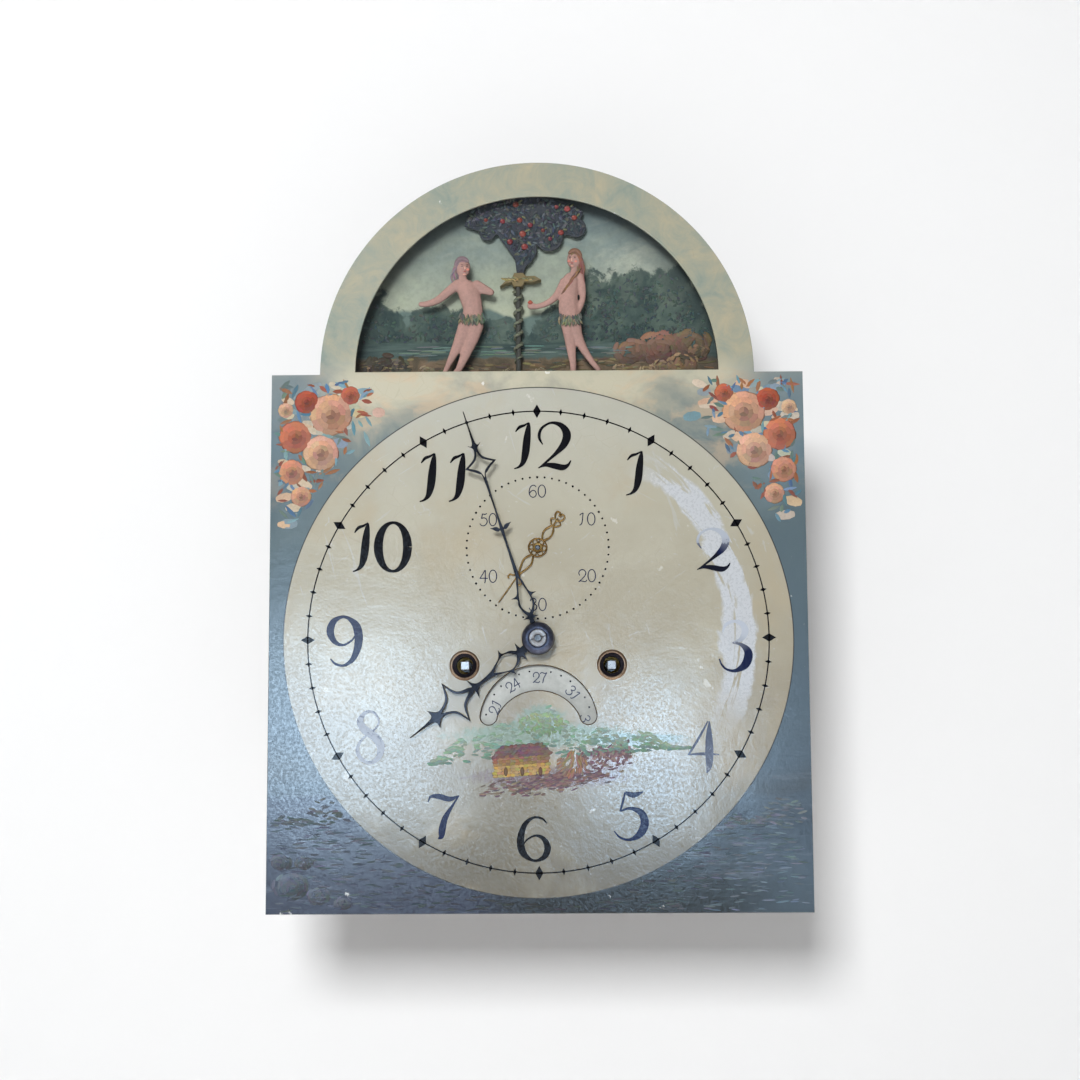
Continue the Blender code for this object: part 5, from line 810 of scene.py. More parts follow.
# numerals drawn with a pen: strokes of x and height in hundredths of the height, and width in thousandths
penPoints = {
    "1": [[(-19, 80, 18), (-11, 90, 50), (-1, 94, 40), (8, 100, 18)], [(9, 100, 18), (7, 88, 80),
          (4, 62, 125), (1, 34, 125), (-4, 14, 85), (-12, 4, 40), (-22, 0, 18)]],
    "2": [[(-23, 52, 18), (-30, 68, 50), (-25, 87, 45), (-6, 99, 40), (15, 93, 90), (26, 74, 140),
          (20, 52, 120), (0, 29, 55), (-24, 7, 30), (-32, 1, 18)], [(-31, 2, 18), (-17, 7.5, 60),
          (0, 5.5, 100), (17, 2, 100), (28, 7, 50), (34, 17, 18)]],
    "3": [[(-25, 78, 18), (-18, 93, 50), (0, 100, 50), (17, 93, 90), (22, 79, 110), (13, 63, 70),
          (-5, 56, 18)], [(-5, 56, 18), (14, 52, 60), (28, 36, 130), (22, 13, 130), (2, 0, 60), (-17, 2, 35),
          (-28, 12, 30), (-33, 24, 18)]],
    "4": [[(10, 100, 18), (-10, 66, 40), (-32, 33, 30)], [(-34, 33, 18), (0, 34.5, 50),
          (33, 33, 18)], [(13, 100, 18), (12, 70, 100), (12, 35, 130), (11, 10, 90), (6, -4, 18)]],
    "5": [[(-9, 98, 50), (8, 93, 90), (26, 100, 18)], [(-9, 99, 30), (-14, 77, 40),
          (-19, 59, 30)], [(-19, 59, 30), (0, 65, 50), (21, 56, 110), (28, 34, 140), (19, 12, 120),
          (0, 0, 50), (-19, 4, 35), (-31, 18, 18)]],
    "6": [[(27, 85, 18), (16, 96, 40), (-2, 98, 45), (-20, 82, 90), (-29, 50, 130), (-25, 20, 130),
          (-9, 3, 60), (6, 0, 50), (22, 10, 100), (28, 30, 120), (19, 50, 80), (2, 57, 40), (-16, 47, 30),
          (-24, 33, 18)]],
    "7": [[(-31, 84, 18), (-25, 97, 50), (-9, 97, 100), (12, 91, 90), (30, 99, 18)], [(30, 99, 18),
          (16, 74, 50), (3, 48, 100), (-3, 22, 130), (-5, 5, 100), (-11, -1, 18)]],
    "8": [[(19, 87, 30), (9, 98, 40), (-9, 98, 50), (-21, 82, 100), (-13, 66, 120), (9, 52, 130),
          (25, 33, 120), (20, 10, 80), (0, 0, 50), (-20, 9, 60), (-27, 28, 50), (-15, 47, 35), (8, 62, 30),
          (20, 76, 30), (19, 87, 30)]],
}
penStrokes = {figure: [[(x / 100, z / 100, w / 1000) for x, z, w in stroke] for stroke in strokes]
              for figure, strokes in penPoints.items()}
penStrokes["9"] = [[(-x, 1 - y, w) for x, y, w in stroke] for stroke in penStrokes["6"]]
penStrokes["0"] = [[(0.3 * cos(a), 0.5 + 0.5 * sin(a), 0.045 + 0.1 * abs(cos(a)) ** 1.6)
                    for a in [tau * k / 16 for k in range(17)]]]
hourNumerals = dict(gap=18 * mm, proud=0.16 * mm, wear=(0.0, 0.02), weight=1.28)
# x, z, height and breadth
hourPlaces = {"12": (1.5, 119.5, 28.8, 1.06), "1": (61.9, 101.8, 27.2, 1.2), "2": (107.6, 54.3, 25.6, 1.2),
              "3": (120, -5, 30, 0.97), "4": (100, -65.6, 30, 0.95), "5": (55, -107, 28.6, 1.1),
              "6": (-2.9, -120.5, 26, 1.1), "7": (-57.6, -107.2, 25.8, 1.2), "8": (-102.8, -59.1, 31, 0.88),
              "9": (-118.7, -1, 30, 1.02), "10": (-98, 57, 30, 1), "11": (-57, 100, 30, 1)}
# at the foot and at the top: real wear, and on the lower numerals also painted glare
hourWearAndGlare = {"8": (0.6, 0.56), "3": (0.12, 1.0), "2": (0.06, 0.72), "4": (0.42, 0.34), "9": (0.2, 0.24),
            "7": (0.14, 0.18), "5": (0.14, 0.18)}


class InkSheet:
    def __init__(self, name, face, proud):
        self.name = name
        self.face = face
        self.proud = proud
        self.points = []
        self.faces = []
        self.wear = []

    def stroke(self, run, fades=None):
        fades = fades or [0.0] * len(run)
        start = len(self.points)
        for k, (x, z, width) in enumerate(run):
            before = run[max(k - 1, 0)]
            after = run[min(k + 1, len(run) - 1)]
            away = hypot(after[0] - before[0], after[1] - before[1]) or 1.0
            sideX = -(after[1] - before[1]) / away * width / 2
            sideZ = (after[0] - before[0]) / away * width / 2
            # a small climb along the run, so that crossings never share a plane
            front = self.face - self.proud - (len(self.points) // 4 % 160) * 0.0004 * mm
            for sign, y in ((1, front), (-1, front), (-1, self.face + self.proud),
                            (1, self.face + self.proud)):
                self.points.append((x + sign * sideX, y, z + sign * sideZ))
                self.wear.append(fades[k])
        for k in range(len(run) - 1):
            first = start + 4 * k
            for j in range(4):
                self.faces.append((first + j, first + (j + 1) % 4, first + 4 + (j + 1) % 4, first + 4 + j))
        self.faces.append((start + 3, start + 2, start + 1, start))
        last = start + 4 * (len(run) - 1)
        self.faces.append((last, last + 1, last + 2, last + 3))

    def digit(self, figure, x, z, height, turn=0.0, weight=1.0, least=0.0, wear=(0.0, 0.0), wide=1.0):
        lean = (cos(turn), sin(turn))
        for stroke in penStrokes[figure]:
            run = []
            fades = []
            for u, v, width in through(stroke, 6):
                share = min(1.0, max(0.0, 2.4 * v - 0.9))
                fades.append(wear[0] + (wear[1] - wear[0]) * share)
                u, v = u * height * wide, (v - 0.5) * height
                run.append((x + u * lean[0] + v * lean[1], z - u * lean[1] + v * lean[0],
                            max(least, abs(width) * weight * height)))
            self.stroke(run, fades)

    def number(self, text, x, z, height, gap, turn=0.0, **pen):
        for k, figure in enumerate(text):
            shift = (k - (len(text) - 1) / 2) * gap
            self.digit(figure, x + shift * cos(turn), z - shift * sin(turn), height, turn, **pen)

    def piece(self):
        mesh = bpy.data.meshes.new(self.name)
        mesh.from_pydata(self.points, [], self.faces)
        marked(mesh, "wear", "FLOAT", self.wear)
        work = bmesh.new()
        work.from_mesh(mesh)
        bmesh.ops.recalc_face_normals(work, faces=work.faces)
        work.to_mesh(mesh)
        work.free()
        mesh.materials.append(finishes["ink"])
        return linked(self.name, mesh)


def makeNumerals():
    for text, (x, z, height, wide) in hourPlaces.items():
        sheet = InkSheet("numeral" + text, dialFront, hourNumerals["proud"])
        sheet.number(text, handX + x * mm, handZ + z * mm, height * mm, hourNumerals["gap"], wide=wide,
                     weight=hourNumerals["weight"], wear=hourWearAndGlare.get(text, hourNumerals["wear"]))
        seated(sheet.piece(), "frame", "dial_paint")


makeNumerals()

# minute track, seconds ring and their marks
trackSizes = dict(minuteRing=141 * mm, line=0.75 * mm, small=(2.2 * mm, 1.05 * mm),
                  large=(4.3 * mm, 2.5 * mm), tall=0.24 * mm, secondsRing=43.7 * mm, dot=0.62 * mm,
                  secondsNumbers=35 * mm, secondsHeight=7.6 * mm)


def makeTracks(minuteRing, line, small, large, tall, secondsRing, dot, secondsNumbers, secondsHeight):
    values = {"Count": 60, "Sides": 4, "Radius": minuteRing, "Every": 5, "Height": tall,
              "Small": (*small, tall),
              "Large": (*large, tall),
              "Line Width": line, "Line": True, "Finish": finishes["ink"]}
    minute = welded(grownMesh("minuteTrack", markTree, values),
                    Matrix.Translation((handX, dialFront, handZ)) @ upright, turnOut=False)
    seated(linked("minuteTrack", minute), "frame", "dial_paint")
    values.update({"Sides": 10, "Radius": secondsRing, "Every": 5, "Line": False,
                   "Small": (dot, dot, tall), "Large": (dot * 1.15, dot * 1.15, tall)})
    seconds = welded(grownMesh("secondsRing", markTree, values),
                     Matrix.Translation((secondsX, dialFront, secondsZ)) @ upright, turnOut=False)
    seated(linked("secondsRing", seconds), "frame", "dial_paint")
    sheet = InkSheet("secondsNumbers", dialFront, 0.12 * mm)
    for k, text in enumerate(("60", "10", "20", "30", "40", "50")):
        angle = tau * k / 6
        sheet.number(text, secondsX + secondsNumbers * sin(angle), secondsZ + secondsNumbers * cos(angle),
                     secondsHeight, 5.6 * mm, weight=0.6, least=0.55 * mm, wear=(0.12, 0.12))
    seated(sheet.piece(), "frame", "dial_paint")


makeTracks(**trackSizes)

# date numbers ride on the date disc: every third day is a number, the rest are dots
dateMarks = dict(teeth=62, ring=28.4 * mm, height=6.4 * mm, gap=4.4 * mm, lastTurn=2.0, shown=27, days=31,
                 proud=0.1 * mm, numbers=(3, 6, 9, 12, 15, 18, 21, 24, 27, 31),
                 dotRing=32.6 * mm, dot=1.05 * mm)


def makeDate(teeth, ring, height, gap, lastTurn, shown, days, proud, numbers, dotRing, dot):
    low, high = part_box("date_disc")
    tip = (high.x - low.x) / 2
    loop = []
    for k in range(teeth):
        for share, reach in ((0.0, tip), (0.06, tip), (0.3, tip - 1.5 * mm), (0.5, tip - 1.6 * mm),
                             (0.8, tip - 0.7 * mm)):
            angle = tau * (k + share) / teeth
            loop.append(polar(dateX, dateZ, reach, angle))
    disc = flatMesh([loop, ringRun(dateX, dateZ, 3.3 * mm)], low.y, high.y, 0.08 * mm, 1)
    placed("dateDisc", [(disc, "white")], "date_disc", "white_paint", "date_disc")
    sheet = InkSheet("dateNumbers", low.y, proud)
    for day in range(1, days + 1):
        turn = radians(lastTurn + (day - shown) * 360 / days)
        if day in numbers:
            sheet.number(str(day), dateX + ring * sin(turn), dateZ + ring * cos(turn), height, gap, turn,
                         weight=0.85, least=0.6 * mm, wear=(0.3, 0.3))
        else:
            x, z = dateX + dotRing * sin(turn), dateZ + dotRing * cos(turn)
            half = dot / 2
            sheet.stroke([(x - half, z, half), (x - half / 2, z, 2 * half), (x + half / 2, z, 2 * half),
                          (x + half, z, half)])
    seated(sheet.piece(), "date_disc", "white_paint")


makeDate(**dateMarks)
print("numerals, tracks and date made")


# pierced hands: half outlines of width and distance from the hub, in millimetres
handShapes = {
    "minute": dict(node="minute_hand", body="centre", turn=-18.0, hub=7.0, pipe=3.2, length=147.0, edge=0.22,
        half=[(1.6, 10), (1.6, 12.6), (5, 13.2), (1.9, 14.6), (3.2, 17), (5, 22), (4.6, 26), (8, 27.4),
        (4, 29), (2.2, 36), (1.15, 42), (1.05, 69), (6, 72.4), (1, 71.6), (0.9, 102), (3, 107),
        (10, 112), (3.2, 116.5), (1.3, 122), (4.2, 125.4), (1, 126.2)],
        windows=[((16.4, 39), [(2.2, 18.4), (3.7, 22), (3.2, 27), (1.1, 35)]),
        ((103.6, 120.6), [(1.9, 108.2), (7.8, 112), (2.0, 115.6)])]),
    "hour": dict(node="hour_hand", body="hour", turn=232.5, hub=10.0, pipe=6.1, length=98.5, edge=0.25,
        half=[(2.3, 12.2), (6.4, 13), (2.3, 14.8), (4.6, 18), (6.2, 23), (9.4, 23.6), (5.4, 26.4), (2.9, 32),
        (1.6, 36), (1.35, 46), (7, 50.2), (1.6, 49.6), (2.4, 52), (5.2, 59), (14.5, 63), (5.2, 67.4),
        (2.2, 75), (6.4, 80), (1.4, 81.4)],
        windows=[((16.4, 34), [(3.3, 19.1), (5.1, 23.3), (3.7, 27.8)]),
        ((52.8, 74), [(4.3, 60.2), (12.3, 63), (4.3, 66.2)])]),
}


def cornered(points, sharpness=1.5, steps=6):
    # smooth between barbs, which stay sharp
    runs = [[points[0]]]
    for before, point, after in zip(points, points[1:], points[2:]):
        runs[-1].append(point)
        if abs(point[0]) > abs(before[0]) + sharpness and abs(point[0]) > abs(after[0]) + sharpness:
            runs.append([point])
    runs[-1].append(points[-1])
    smooth = []
    for run in runs:
        smooth += through(run, steps)[:-1]
    return smooth + [points[-1]]


def handLoops(shape):
    turn = radians(shape["turn"])

    def place(width, reach):
        return (handX + (reach * sin(turn) + width * cos(turn)) * mm,
                handZ + (reach * cos(turn) - width * sin(turn)) * mm)
    side = cornered(shape["half"] + [(0.28, shape["length"] - 0.6)])
    hub = shape["hub"]
    start = degrees(asin(side[0][0] / hub))
    ring = [(hub * sin(radians(a)), hub * cos(radians(a)))
            for a in [start + (360 - 2 * start) * k / 40 for k in range(41)]]
    right = [(w, d) for w, d in side if d > hub]
    outline = [(-w, d) for w, d in right] + [(0, shape["length"])] + [(w, d) for w,
            d in reversed(right)] + ring
    loops = [[place(w, d) for w, d in outline]]
    for (low, high), half in shape["windows"]:
        run = cornered([(0, low)] + half + [(0, high)], 2.0)
        loops.append([place(w, d) for w, d in run] + [place(-w, d) for w, d in reversed(run[1:-1])])
    return loops


def makeHands():
    for name, shape in handShapes.items():
        low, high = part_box(shape["node"])
        loops = handLoops(shape) + [ringRun(handX, handZ, shape["pipe"] * mm, 40)]
        mesh = flatMesh(loops, low.y, high.y, shape["edge"] * mm, 2, 50)
        placed(name + "Hand", [(mesh, "bluedSteel")], shape["body"], "blued_steel", shape["node"])


makeHands()

# seconds hand: gilt, pierced loops either side of a rosette
secondsShape = dict(turn=215.5, wire=0.55, length=42.0)
secondsBars = [  # half widths and distances of one side, and the share of the wire's thickness
    ([(0.5, 5.5), (2.6, 10), (2.2, 14), (0.35, 19.5)], 1.0),
    ([(0.3, 19.5), (2.4, 22.5), (4.2, 23), (4.6, 25), (3.4, 25.6)], 0.8),
    ([(0.5, -5.5), (2.6, -9.5), (2.2, -13), (0.4, -16.5)], 1.0),
    ([(0.3, -16), (2.4, -17.5), (3.4, -19.5), (2.2, -20.4)], 0.85),
    ([(0.2, -20), (2.6, -22.2), (2.9, -25), (0.7, -25.4), (0.5, -23.4)], 0.9)]


def makeSecondsHand():
    low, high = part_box("seconds_hand")
    middle = (low.y + high.y) / 2
    turn = radians(secondsShape["turn"])

    def run(points):
        return [(secondsX + (d * sin(turn) + w * cos(turn)) * mm, middle,
                 secondsZ + (d * cos(turn) - w * sin(turn)) * mm) for w, d in points]
    wire = secondsShape["wire"] * mm
    parts = []

    def bar(points, thick=1.0, steps=6):
        route = through(run(points), steps)
        parts.append((tubeMesh(route, wire * thick, 8, 0.72), "gilt"))
    for side in (-1, 1):
        for points, thick in secondsBars:
            bar([(w * side, d) for w, d in points], thick)
    bar([(0, 18.5), (0, 26), (0, 33), (0, secondsShape["length"] - 0.5)], 0.62)
    bar([(0, -16), (0, -19), (0, -22)], 0.9)
    for k in range(6):
        angle = tau * k / 6
        ring = [(3.9 * sin(angle) + 1.5 * sin(t), 3.9 * cos(angle) + 1.5 * cos(t))
                for t in [tau * j / 10 for j in range(11)]]
        bar(ring, 0.6, 2)
    lathe = [(1.6 * mm, high.y), (1.6 * mm, low.y), (2.6 * mm, low.y - 0.05 * mm), (3.0 * mm, middle),
             (2.6 * mm, high.y)]
    parts.append((turnedMesh(lathe, secondsX, secondsZ, 32, True), "gilt"))
    rim = [polar(5.6 * mm, middle, 0.4 * mm, tau * j / 8) for j in range(8)]
    parts.append((turnedMesh(rim, secondsX, secondsZ, 48, True), "gilt"))
    placed("secondsHand", parts, "escape", "gilt", "seconds_hand")


makeSecondsHand()

# domed collet over the hands, with a washer in it
colletShape = dict(outer=9.9, inner=5.3)


def makeCollet(outer, inner):
    low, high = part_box("hand_collet")
    front, back = low.y / mm, high.y / mm
    dome = [(inner, back), (outer - 0.6, back), (outer, back - 0.8), (outer, back - 1.6),
            (outer - 0.7, front + 1.0), (outer - 2.2, front + 0.25), (outer - 3.4, front),
            (inner + 0.5, front + 0.15), (inner, front + 0.7)]
    washer = [(2.35, back - 0.2), (2.35, front + 0.9), (3.0, front + 0.45), (4.6, front + 0.45),
              (inner - 0.1, front + 0.9), (inner - 0.1, back - 0.2)]
    parts = [(lathed(handX, handZ, dome, 96, True), "colletSteel"),
             (lathed(handX, handZ, washer, 64, True), "brightSteel")]
    placed("handCollet", parts, "centre", "blued_steel", "hand_collet")


makeCollet(**colletShape)
print("hands made")


# arch scene
def makeBackdrop():
    low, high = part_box("arch_backdrop")
    top = high.z - archZ
    angles = [pi * k / 96 for k in range(97)]
    curve = [(high.x * cos(a), archZ + top * sin(a)) for a in angles]
    loops = [[(high.x, low.z)] + curve + [(-high.x, low.z)]]
    for joint in ("man_rock", "woman_rock"):
        loops.append(ringRun(*spot(joint), 1.85 * mm, 24))
    mesh = flatMesh(loops, low.y, high.y, 0.15 * mm, 1)
    placed("archBackdrop", [(mesh, "landscape")], "frame", "landscape_paint", "arch_backdrop")


makeBackdrop()


# the tree: a scalloped crown on a wound trunk, with a leaf capital between
crownShape = dict(
    left=[(-12.2, 64.6), (-13.4, 75.3), (-16.9, 80.8), (-21, 86.4), (-24.5, 91.9)],
    lobes=[(-31, 93.2, 5.2, 340, 170), (25.3, 96, 6.4, 60, -130), (8, 89.8, 9, 10, -150)],
    top=[(-45.6, 97.4), (-41, 108), (-24, 114), (0, 116), (20, 112), (30, 106)],
    right=[(0.4, 79.5), (-3.1, 73.9), (-6.5, 71.2), (-8.6, 64.6)],
    leaves=560, apples=14, edge=0.7 * mm, sheet=2.2 * mm)
capitalPoints = [(-23, 57.6), (-18, 62.5), (-15.5, 62.8), (-14, 66.2), (-8.5, 66.2), (-6.5, 64.2), (-1, 64.2),
                 (3, 61.8), (-2, 60.2), (-7.5, 60.4), (-8.8, 57.5), (-14.6, 57.5), (-15.6, 60.4), (-19, 59.6)]


def tinted(mesh, colour):
    return marked(mesh, "tint", "FLOAT_COLOR", shade(*colour) * len(mesh.vertices)), "tint"


def within(loop, x, z):
    inside = False
    for (x1, z1), (x2, z2) in zip(loop, loop[1:] + loop[:1]):
        if (z1 > z) != (z2 > z) and x < (x2 - x1) * (z - z1) / (z2 - z1) + x1:
            inside = not inside
    return inside


def crownLoop():
    loop = list(crownShape["left"])
    for k, lobe in enumerate(crownShape["lobes"]):
        loop += arcRun(*lobe, 16)
        if k == 0:
            loop += through(crownShape["top"], 6)
    return [(x * mm, archZ + z * mm) for x, z in loop + crownShape["right"]]


def makeTree():
    low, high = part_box("tree_crown")
    chance = random.Random(11)
    between = chance.uniform
    loop = crownLoop()
    sheet = flatMesh([loop], low.y, low.y + crownShape["sheet"], crownShape["edge"], 3, 60)
    parts = [tinted(sheet, (52, 58, 66))]
    for x, z in ((-24, 104), (0, 100), (16, 100)):
        pin = [(0, low.y + 1 * mm), (1.5 * mm, low.y + 1 * mm), (1.5 * mm, high.y), (0, high.y)]
        parts.append(tinted(turnedMesh(pin, x * mm, archZ + z * mm, 16), (70, 70, 70)))
    placed("treeCrown", parts, "frame", "leaf_paint", "tree_crown")
    dabs = []
    while len(dabs) < crownShape["leaves"]:
        x, z = between(low.x, high.x), between(low.z, high.z)
        if not within(loop, x, z):
            continue
        colour = chance.choice([(50, 57, 68), (42, 48, 58), (66, 74, 86), (60, 72, 74),
                                (90, 98, 104), (82, 90, 84)])
        size = between(2.4, 4.4) * mm
        if within(loop, x + 1.5 * mm, z) and within(loop, x - 1.5 * mm, z) and within(loop, x, z - 1.6 * mm):
            dabs.append((x, z, between(0, 0.5) * mm, size, size * 0.5, 0.9 * mm, between(0, 360),
                         near(colour, 8, chance)))
    seated(dabPiece("crownLeaves", dabs, low.y, 0.85, unit=1), "frame", "leaf_paint")
    apples = []
    while len(apples) < 3 * crownShape["apples"]:
        x, z = between(low.x, high.x), between(low.z, high.z)
        clear = all(within(loop, x + a * mm, z + b * mm) for a, b in ((4, 0), (-4, 0), (0, 4), (0, -4)))
        if not clear or any(hypot(x - a[0], z - a[1]) < 5.6 * mm for a in apples):
            continue
        size = between(2.6, 4.6) * mm
        red = near(chance.choice([(122, 50, 54), (138, 58, 56), (114, 44, 50)]), 10, chance)
        apples.append((x, z, 0.6 * mm, size, size, 2.0 * mm, 0, red))
        # painted highlight on each apple, then a leaf beside it
        apples.append((x - size * 0.18, z + size * 0.16, 1.3 * mm, size * 0.4, size * 0.34, 0.7 * mm,
                       30, (158, 100, 90)))
        apples.append((x + size * 0.7, z + size * 0.5, 0.7 * mm, size * 0.8, size * 0.32, 0.6 * mm,
                       between(0, 180), (112, 116, 84)))
    seated(dabPiece("crownApples", apples, low.y, unit=1), "frame", "leaf_paint")
    makeTrunk()


def makeTrunk():
    low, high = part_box("tree_trunk")
    x, y = (low.x + high.x) / 2, low.y + 1.7 * mm
    chance = random.Random(5)
    between = chance.uniform
    heights = [low.z + (high.z - low.z) * k / 40 for k in range(41)]
    route = [(x + 0.12 * mm * sin(k * 1.1), y, z) for k, z in enumerate(heights)]
    radii = [(1.62 + 0.12 * sin(k * 2.3)) * mm for k in range(41)]
    parts = [tinted(tubeMesh(route, radii, 16), (62, 64, 60))]
    for z in (low.z + 12 * mm, high.z - 8 * mm):
        parts.append(tinted(tubeMesh([(x, y, z), (x, high.y, z)], 1.1 * mm, 12), (70, 70, 68)))
    placed("treeTrunk", parts, "frame", "tree_paint", "tree_trunk")
    low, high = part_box("serpent")
    turns, count, reach = 6, 220, 2.15 * mm
    route, radii = [], []
    for k in range(count + 1):
        share = k / count
        height = low.z + 1 * mm + (high.z - low.z - 2 * mm) * share
        route.append((*polar(x, y, reach, tau * turns * share + 2.2), height))
        radii.append((0.35 + 0.75 * min(1.0, share * 5)) * mm)
    snake = tubeMesh(route, radii, 10)
    tones = []
    for vertex in snake.vertices:
        share = (vertex.co.z - low.z) / (high.z - low.z)
        tone = (112, 116, 96) if sin(share * 150) > 0 else (82, 88, 76)
        tones += shade(*near(tone, 6, chance))
    marked(snake, "tint", "FLOAT_COLOR", tones)
    tip = Vector(route[-1])
    head = bmesh.new()
    bmesh.ops.create_uvsphere(head, u_segments=12, v_segments=8, radius=1.5 * mm)
    bmesh.ops.scale(head, vec=(1.35, 0.8, 0.75), verts=head.verts)
    bmesh.ops.translate(head, vec=tip + Vector((-0.6 * mm, -0.3 * mm, 0.3 * mm)), verts=head.verts)
    skull = settled(head)
    skull.shade_smooth()
    placed("serpent", [(snake, "tint"), tinted(skull, (104, 108, 88))], "frame", "serpent_paint", "serpent")
    low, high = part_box("leaf_capital")
    loop = [(px * mm, archZ + pz * mm) for px, pz in capitalPoints]
    cap = flatMesh([loop], low.y, high.y, 0.5 * mm, 2, 50)
    placed("leafCapital", [tinted(cap, (120, 106, 72))], "frame", "leaf_paint", "leaf_capital")
    dabs = []
    for k in range(34):
        side = chance.choice((-1, 1))
        share = between(0, 1)
        px = -11.5 + side * (1 + 8.6 * share)
        pz = 61.8 + between(-1, 1.6) * (1 - share * 0.5)
        colour = chance.choice([(150, 132, 86), (172, 152, 104), (104, 96, 66), (126, 122, 92)])
        dabs.append((px, pz, 0, 3.4, 1.2, 0.9, between(-25, 25) + side * 8,
                     near(colour, 10, chance)))
    seated(dabPiece("capitalLeaves", dabs, low.y, 0.8, archZ), "frame", "leaf_paint")


makeTree()

# the two figures: limbs as chains of x, height and radius, from the arch centre in millimetres
figures = {"man": dict(node="man_figure", flesh=(172, 140, 130), hair=(132, 112, 118),
                       head=(-46.4, 68.8, 5.2, 6.4), seed=3, tab=(-60, -44),
                       limbs=[[(-46.6, 62.8, 2.7), (-45.8, 60, 3.0)], [(-44.2, 55.5, 6.2), (-41.6, 50, 6.9),
        (-40, 43, 6.4), (-40.3, 37, 7.1)], [(-49.5, 58.2, 3.6), (-54.5, 54.4, 3.2), (-61.6, 48.6, 2.7),
        (-68.3, 46, 2.2), (-72.6, 45.8, 1.8)], [(-37.5, 57.8, 3.4), (-31, 54.6, 2.5), (-28.6, 53, 2.2),
        (-33, 53.6, 1.9), (-38, 54.4, 1.8)], [(-44.3, 32.5, 4.9), (-47, 25, 4.4), (-50.3, 17.5, 3.4),
        (-53.4, 11, 2.5), (-56, 5.5, 1.8), (-57.4, 2.2, 1.8)], [(-38, 31.5, 5.1), (-40.6, 24, 4.7),
        (-43.4, 16.5, 3.7), (-46.3, 9.5, 2.9), (-48.8, 4, 2.3), (-50.2, 2, 2.4)]], face=1,
                       girdle=(-47.5, -33, 36.5)), "woman": dict(node="woman_figure", flesh=(172, 140, 130),
        hair=(128, 92, 72), head=(24.0, 73.6, 4.9, 6.2), seed=8, tab=(23, 39),
        limbs=[[(24.2, 68, 2.3), (23.6, 65, 2.5)], [(21.8, 60.5, 5.2), (20.8, 53, 5.7), (20.0, 45, 6.4),
        (20.6, 38, 6.7)], [(17.4, 59.5, 2.8), (13.6, 52, 2.6), (10.5, 48.4, 2.4), (5.8, 45.4, 2.1),
        (0.2, 43.8, 1.9), (-3.4, 44.2, 2.5)], [(27.4, 62.8, 2.9), (29, 55, 2.4), (28.8, 47.5, 2.1),
        (26.4, 41, 1.9), (24, 37, 1.9)], [(19.8, 33, 5.0), (20.6, 25, 3.9), (21.6, 16.5, 3.2), (22.6, 8, 2.4),
        (22.9, 3, 2.1)], [(23.6, 32, 4.7), (25.8, 24, 3.6), (29.3, 16.5, 2.8), (34, 9, 2.1),
        (38.4, 3.3, 1.8)]], face=-1, girdle=(14.6, 27.6, 35.5)), }
figureDepth = dict(share=0.4, core=0.75 * mm, voxel=0.5 * mm)


def figureBody(figure, back):
    work = bmesh.new()
    core = back - figureDepth["core"]

    def ball(x, z, wide, tall):
        depth = figureDepth["share"] * min(wide, tall) + 0.35
        place = Matrix.Translation((x * mm, core, archZ + z * mm)) @ Matrix.Diagonal((wide * mm,
                depth * mm, tall * mm, 1))
        bmesh.ops.create_icosphere(work, subdivisions=2, radius=1, matrix=place)
    ball(*figure["head"])
    for limb in figure["limbs"]:
        for x, z, radius in through(limb, 7):
            ball(x, z, radius, radius)
    holder = linked("part", settled(work))
    remesh = holder.modifiers.new("skin", "REMESH")
    remesh.mode = "VOXEL"
    remesh.voxel_size = figureDepth["voxel"]
    soften = holder.modifiers.new("soften", "SMOOTH")
    soften.factor = 0.5
    soften.iterations = 4
    skin = bakedMesh(holder)
    for vertex in skin.vertices:
        vertex.co.y = min(vertex.co.y, back)
    skin.shade_smooth()
    # painted light and shade: the flesh is lighter where the relief faces the lamp direction and darker
    # towards its rims
    tones = []
    lamp = Vector((-0.5, -0.62, 0.6)).normalized()
    for vertex in skin.vertices:
        lit = vertex.normal.dot(lamp)
        edge = max(0.0, 1 + vertex.normal.y)
        share = 0.84 + 0.2 * lit - 0.3 * edge * edge
        red, green, blue = (part * max(0.3, share) for part in figure["flesh"])
        tones += shade(min(255, red + 5), green, blue)
    return marked(skin, "tint", "FLOAT_COLOR", tones)


